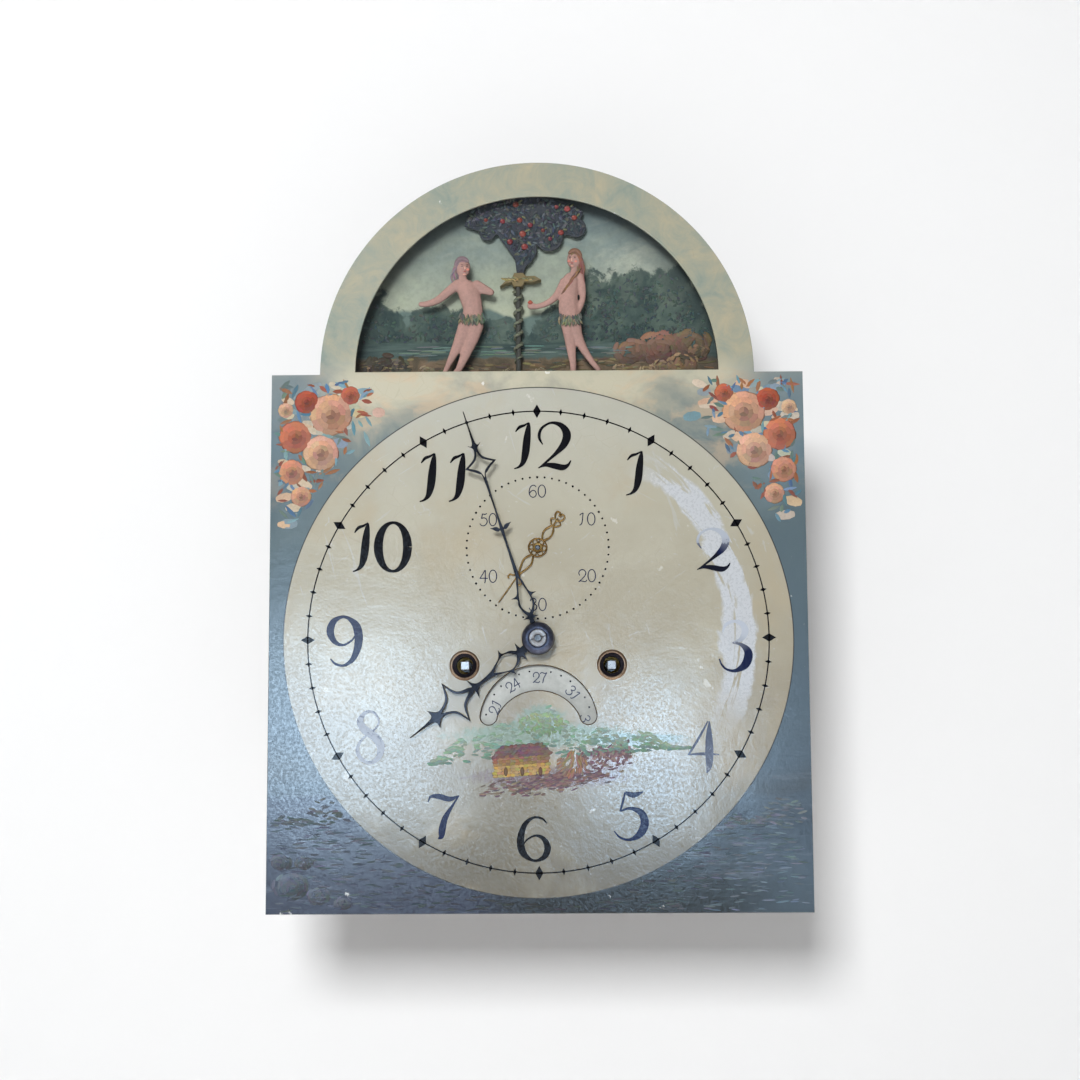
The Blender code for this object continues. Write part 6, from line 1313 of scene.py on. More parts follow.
def makeFigures():
    for body, figure in figures.items():
        low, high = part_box(figure["node"])
        chance = random.Random(figure["seed"])
        back = high.y
        parts = [(figureBody(figure, back), "tint")]
        left, right = figure["tab"]
        loop = oblong(left * mm, right * mm, low.z, archZ + 1.2 * mm)
        parts.append(tinted(flatMesh([loop], low.y, back, 0.15 * mm, 1), (86, 82, 66)))
        headX, headZ, wide, tall = figure["head"]
        face = figure["face"]
        for k in range(15):
            share = k / 14
            start = radians(90 + face * (-34 + 118 * share))
            sx, sz = headX + wide * 0.8 * cos(start), headZ + tall * 0.86 * sin(start)
            length = chance.uniform(8.5, 12.5) if body == "man" else chance.uniform(10, 17)
            sway = chance.uniform(-1, 1)
            route = [(sx, sz, -1.7), (sx - face * 1.4, sz - length * 0.28, -2.0),
                     (sx - face * 2.4 + sway, sz - length * 0.62, -1.6),
                     (sx - face * (1.6 - sway), sz - length, -1.2)]
            run = [(px * mm, back + py * mm, archZ + pz * mm) for px, pz, py in through(route, 5)]
            radii = [(0.95 - 0.6 * j / (len(run) - 1)) * mm for j in range(len(run))]
            parts.append(tinted(tubeMesh(run, radii, 6), near(figure["hair"], 14, chance)))
        angles = [radians(90 + face * (-52 + 130 * j / 10)) for j in range(11)]
        crown = [((headX + wide * 0.9 * cos(a)) * mm, back - 2.2 * mm,
                  archZ + (headZ + tall * 0.9 * sin(a)) * mm) for a in angles]
        radii = [(0.6 + 1.1 * sin(pi * (j + 0.6) / 11)) * mm for j in range(11)]
        parts.append(tinted(tubeMesh(crown, radii, 8), figure["hair"]))
        placed(body + "Figure", parts, body, "flesh_paint", figure["node"])
        makeFace(body, figure, back, chance)


def makeFace(body, figure, back, chance):
    between = chance.uniform
    headX, headZ, wide, tall = figure["head"]
    face = figure["face"]
    dabs = []

    def dab(x, z, lift, length, width, turn, colour, thick=0.5):
        dabs.append((x, z, lift, length, width, thick, turn, colour))
    middle = headX + face * 1.3
    for side in (-1, 1):
        dab(middle + side * 1.55, headZ + 0.7, 3.05, 1.2, 0.6, 0, (62, 44, 42))
        dab(middle + side * 1.6, headZ + 1.75, 3.0, 1.9, 0.42, 8 * side, (112, 78, 66))
        dab(middle + side * 2.1, headZ - 1.4, 2.75, 2.1, 1.6, 0, (206, 128, 112), 0.4)
    # painted highlight down the nose
    dab(middle + face * 0.35, headZ - 0.5, 3.2, 1.0, 2.2, 0, (216, 170, 152), 0.9)
    dab(middle + face * 0.2, headZ - 2.6, 2.9, 1.9, 0.7, 0, (164, 76, 72))
    dab(middle, headZ - 4.4, 2.5, 2.4, 1.4, 0, (206, 154, 138), 0.7)
    seated(dabPiece(body + "Face", dabs, back, datum=archZ), body, "flesh_paint")
    left, right, height = figure["girdle"]
    leaves = []
    for row in range(3):
        for k in range(13):
            share = k / 12
            x = left + (right - left) * share + between(-0.5, 0.5)
            bow = 1.6 * sin(pi * share)
            z = height - bow - row * 1.7 + 1.4
            colour = chance.choice([(104, 106, 92), (86, 92, 82), (124, 118, 96), (74, 82, 76)])
            leaves.append((x, z, 3.3 + 0.5 * sin(pi * share), 4.4, 1.7, 1.0,
                           -90 + between(-28, 28) + (share - 0.5) * 30, near(colour, 10, chance)))
    if body == "woman":
        for k in range(16):
            share = k / 15
            x = 26.5 - 8.6 * share + between(-0.5, 0.5)
            z = 66 - 12.5 * share + between(-0.6, 0.6)
            leaves.append((x, z, 2.9, 6.2, 1.5, 1.0, -125 + between(-12, 12),
                           near(figure["hair"], 14, chance)))
        leaves.append((-3.9, 46.2, 1.6, 3.4, 3.4, 2.6, 0, (168, 82, 64)))
    seated(dabPiece(body + "Girdle", leaves, back, 0.7, archZ), body, "leaf_paint")


makeFigures()


# limits of the brush strokes, in millimetres
paintLimits = dict(skyRadius=113.5, discZ=88.3, discClear=159, side=164, top=252)


# brush strokes of the backdrop: masses of leaves, a bank and its stones
def makeWoods():
    chance = random.Random(21)
    between = chance.uniform
    dabs = []

    def stroke(x, z, length, width, turn, colour, spread=8):
        if hypot(x, z) < paintLimits["skyRadius"] and z > -1:
            dabs.append((x, z, 0.0, length, width, 0.7, turn, near(colour, spread, chance)))
    for x, z, wide, tall, count, light in woods:
        for k in range(count):
            angle, reach = scattered(chance)
            px, pz = x + wide / 2 * reach * cos(angle), z + tall / 2 * reach * sin(angle)
            lit = 0.5 + 0.5 * reach * sin(angle) - 0.25 * cos(angle)
            tone = blend((40, 56, 60), (96, 112, 100), min(1, max(0, 0.55 * lit + light * 0.4)))
            if pz > 24:
                stroke(px, pz, between(1.8, 3.4), between(1, 1.8), between(0, 180), tone)
    for k in range(190):
        x = between(-110, 110)
        z = between(0, 11) + 2 * sin(x / 18)
        tone = chance.choice([(116, 98, 72), (92, 80, 60), (132, 116, 86), (80, 78, 62)])
        stroke(x, z, between(4, 9), between(1, 2), between(-12, 12), tone)
    for k in range(60):
        x, z = between(-84, 60), between(15, 21)
        stroke(x, z, between(7, 16), between(0.7, 1.2), between(-3, 3), (104, 122, 114), 12)
    for x, z, size, tone in ((60, 17, 24, (132, 102, 84)), (78, 19, 30, (134, 98, 82)),
            (98, 21, 26, (112, 94, 70)), (-96, 8, 26, (66, 60, 48)), (92, 9, 20, (150, 118, 88)),
            (80, 7, 15, (142, 124, 98)), (102, 16, 15, (124, 100, 76)), (70, 5, 10, (170, 152, 118)),
            (-86, 8, 15, (96, 92, 80)), (-70, 5, 10, (140, 130, 104)), (2, 5, 6, (150, 140, 112)),
            (-19, 5, 5, (150, 138, 110)), (52, 6, 8, (156, 138, 108))):
        for k in range(int(size * 2)):
            angle, reach = scattered(chance)
            lit = 0.82 + 0.26 * reach * sin(angle) - 0.1 * reach * cos(angle)
            stroke(x + size * 0.5 * reach * cos(angle), z + size * 0.34 * reach * sin(angle), size * 0.3,
                   size * 0.14, degrees(angle) + 90, dimmed(tone, lit), 6)
    seated(dabPiece("backdropStrokes", dabs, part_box("arch_backdrop")[0].y, datum=archZ), "frame",
           "landscape_paint")


makeWoods()
print("arch scene made")


# painted corners and the vignette under the date
def makeRose(dabs, x, z, size, tone, chance):
    for ring, count, reach, petal in ((0, 8, 0.36, 0.52), (1, 7, 0.25, 0.44), (2, 5, 0.14, 0.34),
            (3, 3, 0.05, 0.24)):
        for k in range(count):
            angle = tau * (k + 0.4 * ring) / count + chance.uniform(-0.12, 0.12)
            lit = (0.86, 0.82, 0.74, 0.64)[ring] + 0.1 * sin(angle) - 0.06 * cos(angle)
            colour = near(dimmed(tone, lit), 7, chance)
            dabs.append((*polar(x, z, size * reach, angle), 0.12 * ring, size * petal, size * petal * 0.72,
                         0.5, degrees(angle) + 90, colour))


def makeCorners():
    chance = random.Random(31)
    between = chance.uniform
    for name, side in (("Left", -1), ("Right", 1)):
        petals, leaves, clouds = [], [], []
        for x, z, size, tone in ((128, 228, 25, (222, 168, 136)), (150, 214, 19, (206, 124, 92)),
                (143, 236, 14, (182, 84, 58)), (134, 204, 21, (228, 178, 148)),
                (152, 192, 15, (214, 150, 118)), (146, 177, 12, (222, 166, 134)),
                (116, 240, 11, (196, 104, 76)), (156, 231, 9, (226, 182, 150))):
            makeRose(petals, side * x, z, size, tone, chance)
        strews = ((clouds, 70, (96, 158), (158, 247), 167, 298, (9, 15), (5, 8), 0.5, (-30, 30), 8,
                   [(196, 180, 156), (176, 170, 156), (128, 148, 154), (200, 168, 142), (110, 134, 146)]),
                  (leaves, 150, (104, 162), (160, 249), 163, 300, (6, 12), (2.4, 4), 0.6, (0, 360), 10,
                   [(88, 128, 150), (112, 146, 160), (132, 76, 54), (150, 94, 62), (98, 116, 112),
                    (74, 104, 128)]))
        for dabs, count, across, up, clear, slope, longs, wides, thick, turns, spread, tones in strews:
            for k in range(count):
                x, z = between(*across), between(*up)
                if hypot(x, z - paintLimits["discZ"]) < clear or x + z < slope:
                    continue
                colour = chance.choice(tones)
                length, width, turn = between(*longs), between(*wides), between(*turns)
                x = min(x, paintLimits["side"] - length / 2)
                z = min(z, paintLimits["top"] - length / 2)
                dabs.append((side * x, z, -0.11, length, width, thick, turn, near(colour, spread, chance)))
        seated(dabPiece("clouds" + name, clouds, dialFront), "frame", "dial_paint")
        seated(dabPiece("roses" + name, petals, dialFront), "frame", "dial_paint")
        seated(dabPiece("roseLeaves" + name, leaves, dialFront, 0.8), "frame", "dial_paint")


makeCorners()


def makeVignette():
    chance = random.Random(41)
    between = chance.uniform
    dabs = []
    rim = dateLoop(2.4 * mm)

    def stroke(x, z, length, width, turn, colour, spread=10, lift=-0.1):
        if not within(rim, x * mm, z * mm):
            dabs.append((x, z, lift, length, width, 0.5, turn, near(colour, spread, chance)))
    # hedges and fields running off to the right
    for k in range(420):
        x = between(-66, 92)
        top = 34 - abs(x + 4) * 0.06 + 13 * exp(-((x - 4) / 17) ** 2) + 3 * sin(x * 0.21)
        foot = 16 + 0.06 * x
        if x > 62:
            top = foot + (top - foot) * (92 - x) / 30
        if x < -40:
            top = foot + (top - foot) * max(0.2, (x + 66) / 26)
        z = between(foot, max(foot + 0.6, top))
        high = (z - foot) / max(1.0, top - foot)
        tone = blend((100, 130, 118), (142, 166, 150), high)
        stroke(x, z, between(3, 6), between(1.3, 2.4), between(-25, 25), tone)
    # the tree behind the date opening
    for k in range(110):
        angle, reach = scattered(chance)
        x, z = 2 + 14 * reach * cos(angle), 36 + 7 * reach * sin(angle)
        lit = 0.5 + 0.5 * sin(angle) * reach
        stroke(x, z, 3.4, 1.9, between(0, 180), blend((104, 134, 106), (152, 172, 136), lit))
    # road and shadow
    for k in range(340):
        x = max(-34, min(60, chance.gauss(10, 19)))
        z = 1.0 + 0.15 * x + chance.gauss(0, 2.8)
        tone = chance.choice([(122, 98, 96), (104, 82, 90), (134, 114, 104), (92, 74, 84)])
        stroke(x, z, between(3, 6), between(0.9, 1.8), 8 + between(-14, 14), tone)
    # a thatched barn: wall, roof and rick
    for row in range(7):
        for k in range(13):
            x, z = -26 + k * 2.6 + between(-0.6, 0.6), 5 + row * 1.7 + k * 0.2
            stroke(x, z, 3.6, 2.1, 4 + between(-14, 14), (176, 146, 92) if row < 4 else (138, 110, 82), 16,
                   0.1)
    for row in range(5):
        for k in range(14 - row):
            stroke(-27 + row * 1.2 + k * 2.6, 16.4 + row * 1.5 + k * 0.2, 3.8, 2.1, 12 + between(-30, 30),
                   (112, 86, 84), 16, 0.2)
    for k in range(70):
        angle, reach = scattered(chance)
        stroke(20 + 9 * reach * cos(angle), 12 + 7 * reach * sin(angle), 4, 1.3, 70 + 40 * cos(angle),
               (144, 116, 96), 18, 0.15)
    for x in (-20, -10, 1):
        stroke(x, 8, 2.6, 5.4, 0, (104, 74, 62), 6, 0.35)
    for k in range(150):
        x = between(24, 56)
        stroke(x, 9 + 0.18 * x + chance.gauss(0, 3.2), between(2.5, 4.5), between(1.2, 2.2), between(0, 180),
               chance.choice([(116, 90, 98), (142, 118, 116), (104, 80, 92)]), 8)
    seated(dabPiece("vignette", dabs, dialFront), "frame", "dial_paint")


makeVignette()


def makeShores():
    chance = random.Random(51)
    between = chance.uniform
    dabs = []
    edge = paintLimits["side"]

    def stroke(x, z, length, width, turn, colour, spread=7):
        # painted shade: the strokes are darkest under the disc and lighten towards the sides, more so at the
        # right
        paintedShade = 0.34 + 0.6 * min(1.0, abs(x) / 120) + 0.16 * min(1.0, max(0.0, (x - 90) / 50))
        tone = near(dimmed(colour, paintedShade), spread, chance)
        if hypot(x, z - paintLimits["discZ"]) > paintLimits["discClear"] and abs(x) + length / 2 < edge:
            dabs.append((x, z, -0.12, length, width, 0.44, turn, tone))
    for k in range(900):
        x, z = between(-edge, edge), between(-75, -22)
        tone = chance.choice([(70, 84, 98), (92, 106, 122), (84, 98, 106), (62, 78, 88), (98, 110, 126)])
        stroke(x, z, between(5, 11), between(0.8, 1.5), between(-9, 9), tone)
    for x, z, size in ((-150, -60, 22), (-133, -66, 15), (-157, -46, 15), (-142, -46, 12), (-118, -70, 11)):
        for k in range(46):
            angle, reach = scattered(chance)
            lit = 0.8 + 0.3 * reach * sin(angle) - 0.14 * reach * cos(angle)
            stroke(x + size * 0.5 * reach * cos(angle), z + size * 0.34 * reach * sin(angle), size * 0.32,
                   size * 0.13, degrees(angle) + 90, dimmed((100, 111, 126), lit))
    for k in range(260):
        x = chance.choice((-1, 1)) * between(88, edge)
        hill = -14 + 6 * sin(x * 0.09) + 3 * sin(x * 0.23)
        z = between(-24, hill)
        stroke(x, z, between(4, 8), between(1.2, 2), between(-20, 20),
               chance.choice([(82, 92, 104), (98, 106, 116), (74, 86, 92)]))
    seated(dabPiece("shoreStrokes", dabs, dialFront), "frame", "dial_paint")


makeShores()
print("painted corners and vignette made")


# toothed wheels: an outline by rule, with crossings between the arms
def buildWheelTree():
    tree, board, given = newTree("toothed wheel", {
        "Teeth": "Int", "Steps": "Int", "Tip": "Float", "Root": "Float", "Phase": "Float", "Point": "Float",
        "Foot": "Float", "Bore": "Float", "Rim": "Float", "Hub": "Float", "Arms": "Int", "Arm Width": "Float",
        "Thickness": "Float", "Finish": "Material"})
    index = board.node("GeometryNodeInputIndex")

    def loop(count, radius, angle):
        ring = board.node("GeometryNodeMeshCircle", {"Vertices": count, "Radius": 1.0})
        place = board.node("ShaderNodeCombineXYZ", {0: radius * angle.math("COSINE"),
                1: radius * angle.math("SINE")})
        return board.node("GeometryNodeSetPosition", {"Geometry": ring, "Position": place})

    def squared(wave):
        return wave.math("SIGN") * (abs(wave) ** 0.42)
    count = given["Teeth"] * given["Steps"]
    step = index.math("MODULO", given["Steps"]) / given["Steps"]
    away = 1 - abs(step * 2 - 1)                          # 0 at a tip, 1 midway between two teeth
    reach = given["Tip"] + (given["Root"] - given["Tip"]) * away.smooth(given["Point"], given["Foot"])
    outline = loop(count, reach, index * tau / count + given["Phase"])
    bore = loop(48, given["Bore"], index * (tau / 48))
    share = index * (tau / 44)
    middle = (given["Rim"] + given["Hub"]) / 2
    radius = middle + (given["Rim"] - given["Hub"]) / 2 * squared(share.math("SINE"))
    swing = pi / given["Arms"] - given["Arm Width"] / (radius * 2)
    window = loop(44, radius, squared(share.math("COSINE")) * swing)
    spots = board.node("GeometryNodeMeshLine", {"Count": given["Arms"], "Offset": (0, 0, 0)})
    spin = board.node("ShaderNodeCombineXYZ", {2: (index + 0.5) * tau / given["Arms"]})
    windows = board.node("GeometryNodeInstanceOnPoints", {"Points": spots, "Instance": window,
            "Rotation": spin})
    loops = board.node("GeometryNodeJoinGeometry", {"Geometry": [outline, bore, windows]})
    real = board.node("GeometryNodeRealizeInstances", {"Geometry": loops})
    sheet = board.node("GeometryNodeFillCurve", {0: board.node("GeometryNodeMeshToCurve", {"Mesh": real})})
    raised = board.node("GeometryNodeExtrudeMesh", {"Mesh": sheet, "Offset Scale": given["Thickness"],
            "Individual": False})
    under = board.node("GeometryNodeFlipFaces", {"Mesh": sheet})
    both = board.node("GeometryNodeJoinGeometry", {"Geometry": [raised, under]})
    closeTree(board.node("GeometryNodeMergeByDistance", {"Geometry": both, "Distance": 1e-6}),
              given["Finish"])
    return tree


wheelTree = buildWheelTree()


def moduleOf(first, second, teeth, others):
    (x1, z1), (x2, z2) = spot(first), spot(second)
    return 2 * hypot(x2 - x1, z2 - z1) / (teeth + others)


def meshedPhase(first, teeth, phase, second, others):
    (x1, z1), (x2, z2) = spot(first), spot(second)
    toward = atan2(z2 - z1, x2 - x1)
    share = (toward - phase) / (tau / teeth) % 1
    return toward + pi + (share - 0.5) * tau / others


# each pair: driving joint, driven joint and their tooth counts
pairs = {"going": ("great_turn", "centre_turn", 96, 8), "centre": ("centre_turn", "third_turn", 60, 8),
         "third": ("third_turn", "escape_turn", 56, 7), "strike": ("strike_great_turn", "pin_wheel_turn", 78,
        8), "pin": ("pin_wheel_turn", "hoop_turn", 56, 7), "hoop": ("hoop_turn", "warning_turn", 56, 7),
         "warning": ("warning_turn", "fly_turn", 48, 6), "cannon": ("centre_turn", "minute_wheel_turn", 40,
        40), "hour": ("minute_wheel_turn", "centre_turn", 6, 72)}
modules = {name: moduleOf(*pair) for name, pair in pairs.items()}
phases = {"centre": 0.0, "strikeGreat": 0.0}
for name, first, teeth, driver, second, others in (
        ("great", "centre_turn", 8, "centre", "great_turn", 96),
        ("third", "centre_turn", 60, "centre", "third_turn", 8),
        ("escape", "third_turn", 56, "third", "escape_turn", 7),
        ("pin", "strike_great_turn", 78, "strikeGreat", "pin_wheel_turn", 8),
        ("hoop", "pin_wheel_turn", 56, "pin", "hoop_turn", 7),
        ("warning", "hoop_turn", 56, "hoop", "warning_turn", 7),
        ("fly", "warning_turn", 48, "warning", "fly_turn", 6),
        ("minute", "centre_turn", 40, "centre", "minute_wheel_turn", 40),
        ("hour", "minute_wheel_turn", 6, "minute", "centre_turn", 72)):
    phases[name] = meshedPhase(first, teeth, phases[driver], second, others)


def wheelMesh(joint, teeth, pair, phase, front, back, bore, arms=0, leaf=False):
    x, z = spot(joint)
    module = modules[pair]
    rise, fall = (0.52, 1.4) if leaf else (0.9, 1.0)
    root = module * (teeth / 2 - fall)
    values = {"Teeth": teeth, "Steps": 24 if leaf else 12, "Tip": module * (teeth / 2 + rise), "Root": root,
              "Phase": phase, "Point": 0.1 if leaf else 0.02, "Foot": 0.24 if leaf else 0.78,
              "Bore": bore * mm, "Rim": root - 3.5 * mm, "Hub": 6 * mm, "Arms": arms, "Arm Width": 3 * mm,
              "Thickness": (back - front) * mm, "Finish": finishes["brass"]}
    mesh = grownMesh("wheel", wheelTree, values)
    return welded(mesh, Matrix.Translation((x, back * mm, z)) @ upright, 30, turnOut=False)


# depths of the plates' outer faces and of the arbors' shoulders, in millimetres
plateFace, shoulder = 35, 31.7


def stemProfile(radius, nose=None):
    front = [(0, -plateFace), (0.7, -plateFace), (0.7, -shoulder)]
    if nose:
        front = [(0, nose[1]), (nose[0] - 0.3, nose[1]), (nose[0], nose[1] + 0.3), (nose[0], -shoulder)]
    back = [(0.7, shoulder), (0.7, plateFace), (0, plateFace)]
    return front + [(radius, -shoulder), (radius, shoulder)] + back


# arbors with their pinions and wheels; depths front to back in millimetres
trainPieces = {"centreArbor": dict(joint="centre_turn", body="centre", phase="centre",
        leaves=(8, "going", 11, 18), nose=(2.2, -91.2), wheel=(60, "centre", 24, 26, 4),
        nodes=("centre_arbor", "centre_wheel")), "thirdArbor": dict(joint="third_turn", body="third",
        phase="third", leaves=(8, "centre", 22, 28), nose=None, wheel=(56, "third", -10, -8, 4),
        nodes=("third_arbor", "third_wheel")), "pinWheel": dict(joint="pin_wheel_turn", body="pin_wheel",
        phase="pin", leaves=(8, "strike", 11, 18), nose=None, wheel=(56, "pin", 21, 23, 0),
        nodes=("pin_wheel",)), "hoopWheel": dict(joint="hoop_turn", body="hoop_wheel", phase="hoop",
        leaves=(7, "pin", 19, 25), nose=None, wheel=(56, "hoop", 4, 6, 0), nodes=("hoop_wheel",)),
               "warningWheel": dict(joint="warning_turn", body="warning_wheel", phase="warning",
        leaves=(7, "hoop", 2, 8), nose=None, wheel=(48, "warning", 12, 13.5, 0), nodes=("warning_wheel",)),
               "escapeArbor": dict(joint="escape_turn", body="escape", phase="escape",
        leaves=(7, "third", -12, -6), nose=(1.4, -79.1), wheel=None, nodes=("escape_arbor", "escape_wheel")),
               "fly": dict(joint="fly_turn", body="fly", phase="fly", leaves=(6, "warning", 10, 15.5),
        nose=None, wheel=None, nodes=("fly",)), }


def makeTrain():
    for name, piece in trainPieces.items():
        x, z = spot(piece["joint"])
        leaves, pair, front, back = piece["leaves"]
        radius = (modules[pair] * (leaves / 2 - 1.4)) / mm - 0.1
        phase = phases[piece["phase"]]
        parts = [(lathed(x, z, stemProfile(radius, piece["nose"]), 32), "steel"),
                 (wheelMesh(piece["joint"], leaves, pair, phase, front, back, radius - 0.2, 0, True),
                  "steel")]
        if piece["wheel"]:
            teeth, pair, front, back, arms = piece["wheel"]
            parts.append((wheelMesh(piece["joint"], teeth, pair, phase, front, back, radius + 0.05, arms),
                          "brass"))
            collet = [(radius, back), (4.8, back), (4.8, back + 0.7), (3.6, back + 1.6), (radius, back + 1.7)]
            parts.append((lathed(x, z, collet, 40, True), "brass"))
        if name == "pinWheel":
            for k in range(8):
                angle = tau * (k + 0.5) / 8
                px, pz = polar(x, z, 18.2 * mm, angle)
                parts.append((lathed(px, pz, [(0, 22), (1, 22), (1, 28.7), (0.7, 29), (0, 29)], 16), "steel"))
        if name == "escapeArbor":
            parts.append((escapeMesh(x, z, radius), "brass"))
        if name == "fly":
            blade = oblong(x - 13 * mm, x + 13 * mm, z - 0.5 * mm, z + 0.5 * mm)
            parts.append((flatMesh([blade], -28 * mm, 0, 0.15 * mm, 1), "brass"))
            parts.append((lathed(x, z, [(0.86, -28), (1.9, -28), (1.9, 0), (0.86, 0)], 24, True), "brass"))
        if name == "centreArbor":
            pin = [(x - 4.6 * mm, -90.55 * mm, z - 1.2 * mm), (x + 4.6 * mm, -90.55 * mm, z + 1.2 * mm)]
            parts.append((tubeMesh(pin, [0.42 * mm, 0.3 * mm], 10), "steel"))
        placed(name, parts, piece["body"], "steel", *piece["nodes"])


def escapeMesh(x, z, radius):
    tip, root, teeth = 20, 15.5, 30
    loop = []
    for k in range(teeth):
        for share, drop in ((-0.17, 3.9), (-0.1, 2.9), (-0.05, 1.6), (0, 0), (0.05, 1.6), (0.1, 2.9),
                            (0.17, 3.9), (0.25, 4.5), (0.5, 4.5), (0.75, 4.5)):
            angle = tau * (k + share) / teeth
            loop.append(polar(x, z, (tip - drop) * mm, angle))
    loops = [loop, ringRun(x, z, (radius + 0.05) * mm, 32)]
    for k in range(4):
        middle = 90 * k + 45
        inner, outer = 45 - degrees(1.5 / 6), 45 - degrees(1.5 / (root - 3.5))
        window = arcRun(x, z, 6 * mm, middle - inner, middle + inner, 10)
        loops.append(window + arcRun(x, z, (root - 3.5) * mm, middle + outer, middle - outer, 16))
    return flatMesh(loops, 8 * mm, 10 * mm, 0.08 * mm, 1)


makeTrain()


# great wheels, barrels wound with a groove for the line, ratchets and winding squares
def makeBarrels():
    for side, joint, great in (("going", "going_winding", "great_turn"),
            ("strike", "strike_winding", "strike_great_turn")):
        x, z = spot(joint)
        drum = [(5, -31.7), (5, -28), (24.6, -28), (25, -27.6), (25, -26.4), (24.6, -26), (23, -26)]
        grooves = 17
        for k in range(grooves):
            start = -25.8 + k * 2.0
            drum += [(22.9, start), (22.1, start + 0.55), (21.9, start + 1.0), (22.1, start + 1.45),
                     (22.9, start + 1.95)]
        drum += [(23, 8), (24.6, 8), (25, 8.4), (25, 9.6), (24.6, 10), (5, 10)]
        arbor = [(0, -55.2), (3.5, -55.2), (3.5, -31.7), (5, -31.7), (5, 31.7), (3.5, 31.7), (3.5, 34.7),
                 (3.2, 35), (0, 35)]
        half = 2.6 * mm
        square = oblong(x - half, x + half, z - half, z + half)
        teeth = []
        for k in range(24):
            for share, reach in ((0, 21.5), (0.1, 19.3), (0.55, 20.2)):
                teeth.append(polar(x, z, reach * mm, tau * (k + share) / 24))
        parts = [(lathed(x, z, drum, 96, True), "brass"), (lathed(x, z, arbor, 48), "steel"),
                 (flatMesh([square], -71 * mm, -55 * mm, 0.35 * mm, 2), "brightSteel"),
                 (flatMesh([teeth, ringRun(x, z, 5 * mm)], 10 * mm, 12 * mm, 0.1 * mm, 1), "steel")]
        placed(side + "Barrel", parts, side + "_barrel", "brass", side + "_barrel")
        parts = []
        if side == "going":
            parts.append((wheelMesh(great, 96, "going", phases["great"], 13, 16, 5.3), "brass"))
            ring = [(14, 16), (30, 16), (30, 16.5), (29.4, 16.8), (14.6, 16.8), (14, 16.5)]
            parts.append((lathed(x, z, ring, 96, True), "brass"))
        else:
            parts.append((wheelMesh(great, 78, "strike", 0.0, 13, 16, 5.3), "brass"))
            loop, struck, step = [], 0, 360 / 78
            for hour in range(1, 13):
                start = struck * step
                gap = 0.2 * step
                loop += arcRun(x, z, 25 * mm, start - gap, start + gap, 2)
                loop += arcRun(x, z, 28 * mm, start + gap, start + hour * step - gap, 2 + 3 * hour)
                struck += hour
            parts.append((flatMesh([loop, ringRun(x, z, 5.3 * mm)], 15.7 * mm, 18 * mm, 0.12 * mm, 1),
                          "brass"))
        rivet = [(0, 15), (1.5, 15), (1.5, 18.2), (1.1, 18.6), (0, 18.7)]
        for angle in (0.9, 0.9 + tau / 3, 0.9 + 2 * tau / 3):
            parts.append((lathed(*polar(x, z, 10.5 * mm, angle), rivet, 20), "steel"))
        body = "great" if side == "going" else "strike_great"
        placed(side + "GreatWheel", parts, body, "brass", side + "_great_wheel")


makeBarrels()


# motion work behind the dial
def makeMotion():
    x, z = spot("centre_turn")
    pipe = [(2.5, -85.4), (2.8, -85.7), (3.5, -85.7), (3.8, -85.4), (3.8, -39), (2.5, -39)]
    parts = [(wheelMesh("centre_turn", 40, "cannon", 0.0, -40, -38, 2.5), "brass"),
             (lathed(x, z, pipe, 40, True), "steel")]
    placed("cannonWheel", parts, "centre", "brass", "cannon_wheel")
    corners = [vertex.co for vertex in frame["nodes"]["hour_wheel"].data.vertices]
    reach = max(corner.x - x for corner in corners if -75.2 * mm < corner.y < -72.8 * mm)
    pipe = [(5.7, -81.2), (6.0, -81.5), (6.7, -81.5), (7, -81.2), (7, -46), (5.7, -46)]
    collar = [(7, -48.6), (11, -48.6), (11.6, -48.2), (11.6, -47), (7, -47)]
    finger = [(x + 6.4 * mm, z - 1.2 * mm), (x + reach, z - 0.8 * mm), (x + reach, z + 0.8 * mm),
              (x + 6.4 * mm, z + 1.2 * mm)]
    parts = [(wheelMesh("centre_turn", 72, "hour", phases["hour"], -47, -45, 5.7), "brass"),
             (lathed(x, z, pipe, 48, True), "brass"), (lathed(x, z, collar, 48, True), "brass"),
             (flatMesh([finger], -74.4 * mm, -73.4 * mm, 0.1 * mm, 1), "steel")]
    placed("hourWheel", parts, "hour", "brass", "hour_wheel")
    joint = "minute_wheel_turn"
    parts = [(wheelMesh(joint, 40, "cannon", phases["minute"], -40, -38, 1.9, 0, True), "brass"),
             (wheelMesh(joint, 6, "hour", phases["minute"], -47.5, -39.5, 1.9, 0, True), "steel")]
    placed("minuteWheel", parts, "minute_wheel", "brass", "minute_wheel")


makeMotion()


# turned posts, pillars, bolts, the bell and its hammer
pillarHalf = [(3, -35), (3, -31.7), (6.2, -31.7), (6.2, -30.4), (5.4, -29.6), (4.6, -28.6), (4.2, -26.5),
              (3.9, -18), (4.1, -10), (4.6, -7.4), (5.6, -6.2), (4.7, -5.2), (4.7, -4.4), (6.0, -3.2),
              (6.2, -1.6), (6.2, 0)]


def upended(mesh, x, y):
    mesh.transform(Matrix.Translation((x, y, 0)) @ upright)
    return mesh


def turnedPiece(node, profile, sides, finish):
    x, y, z = centre(*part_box(node))
    placed(camel(node), [(lathed(x, z, profile, sides), finish)], "frame", finish, node)


def depthsOf(node):
    low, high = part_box(node)
    return low.y / mm, high.y / mm, (high.x - low.x) / 2 / mm


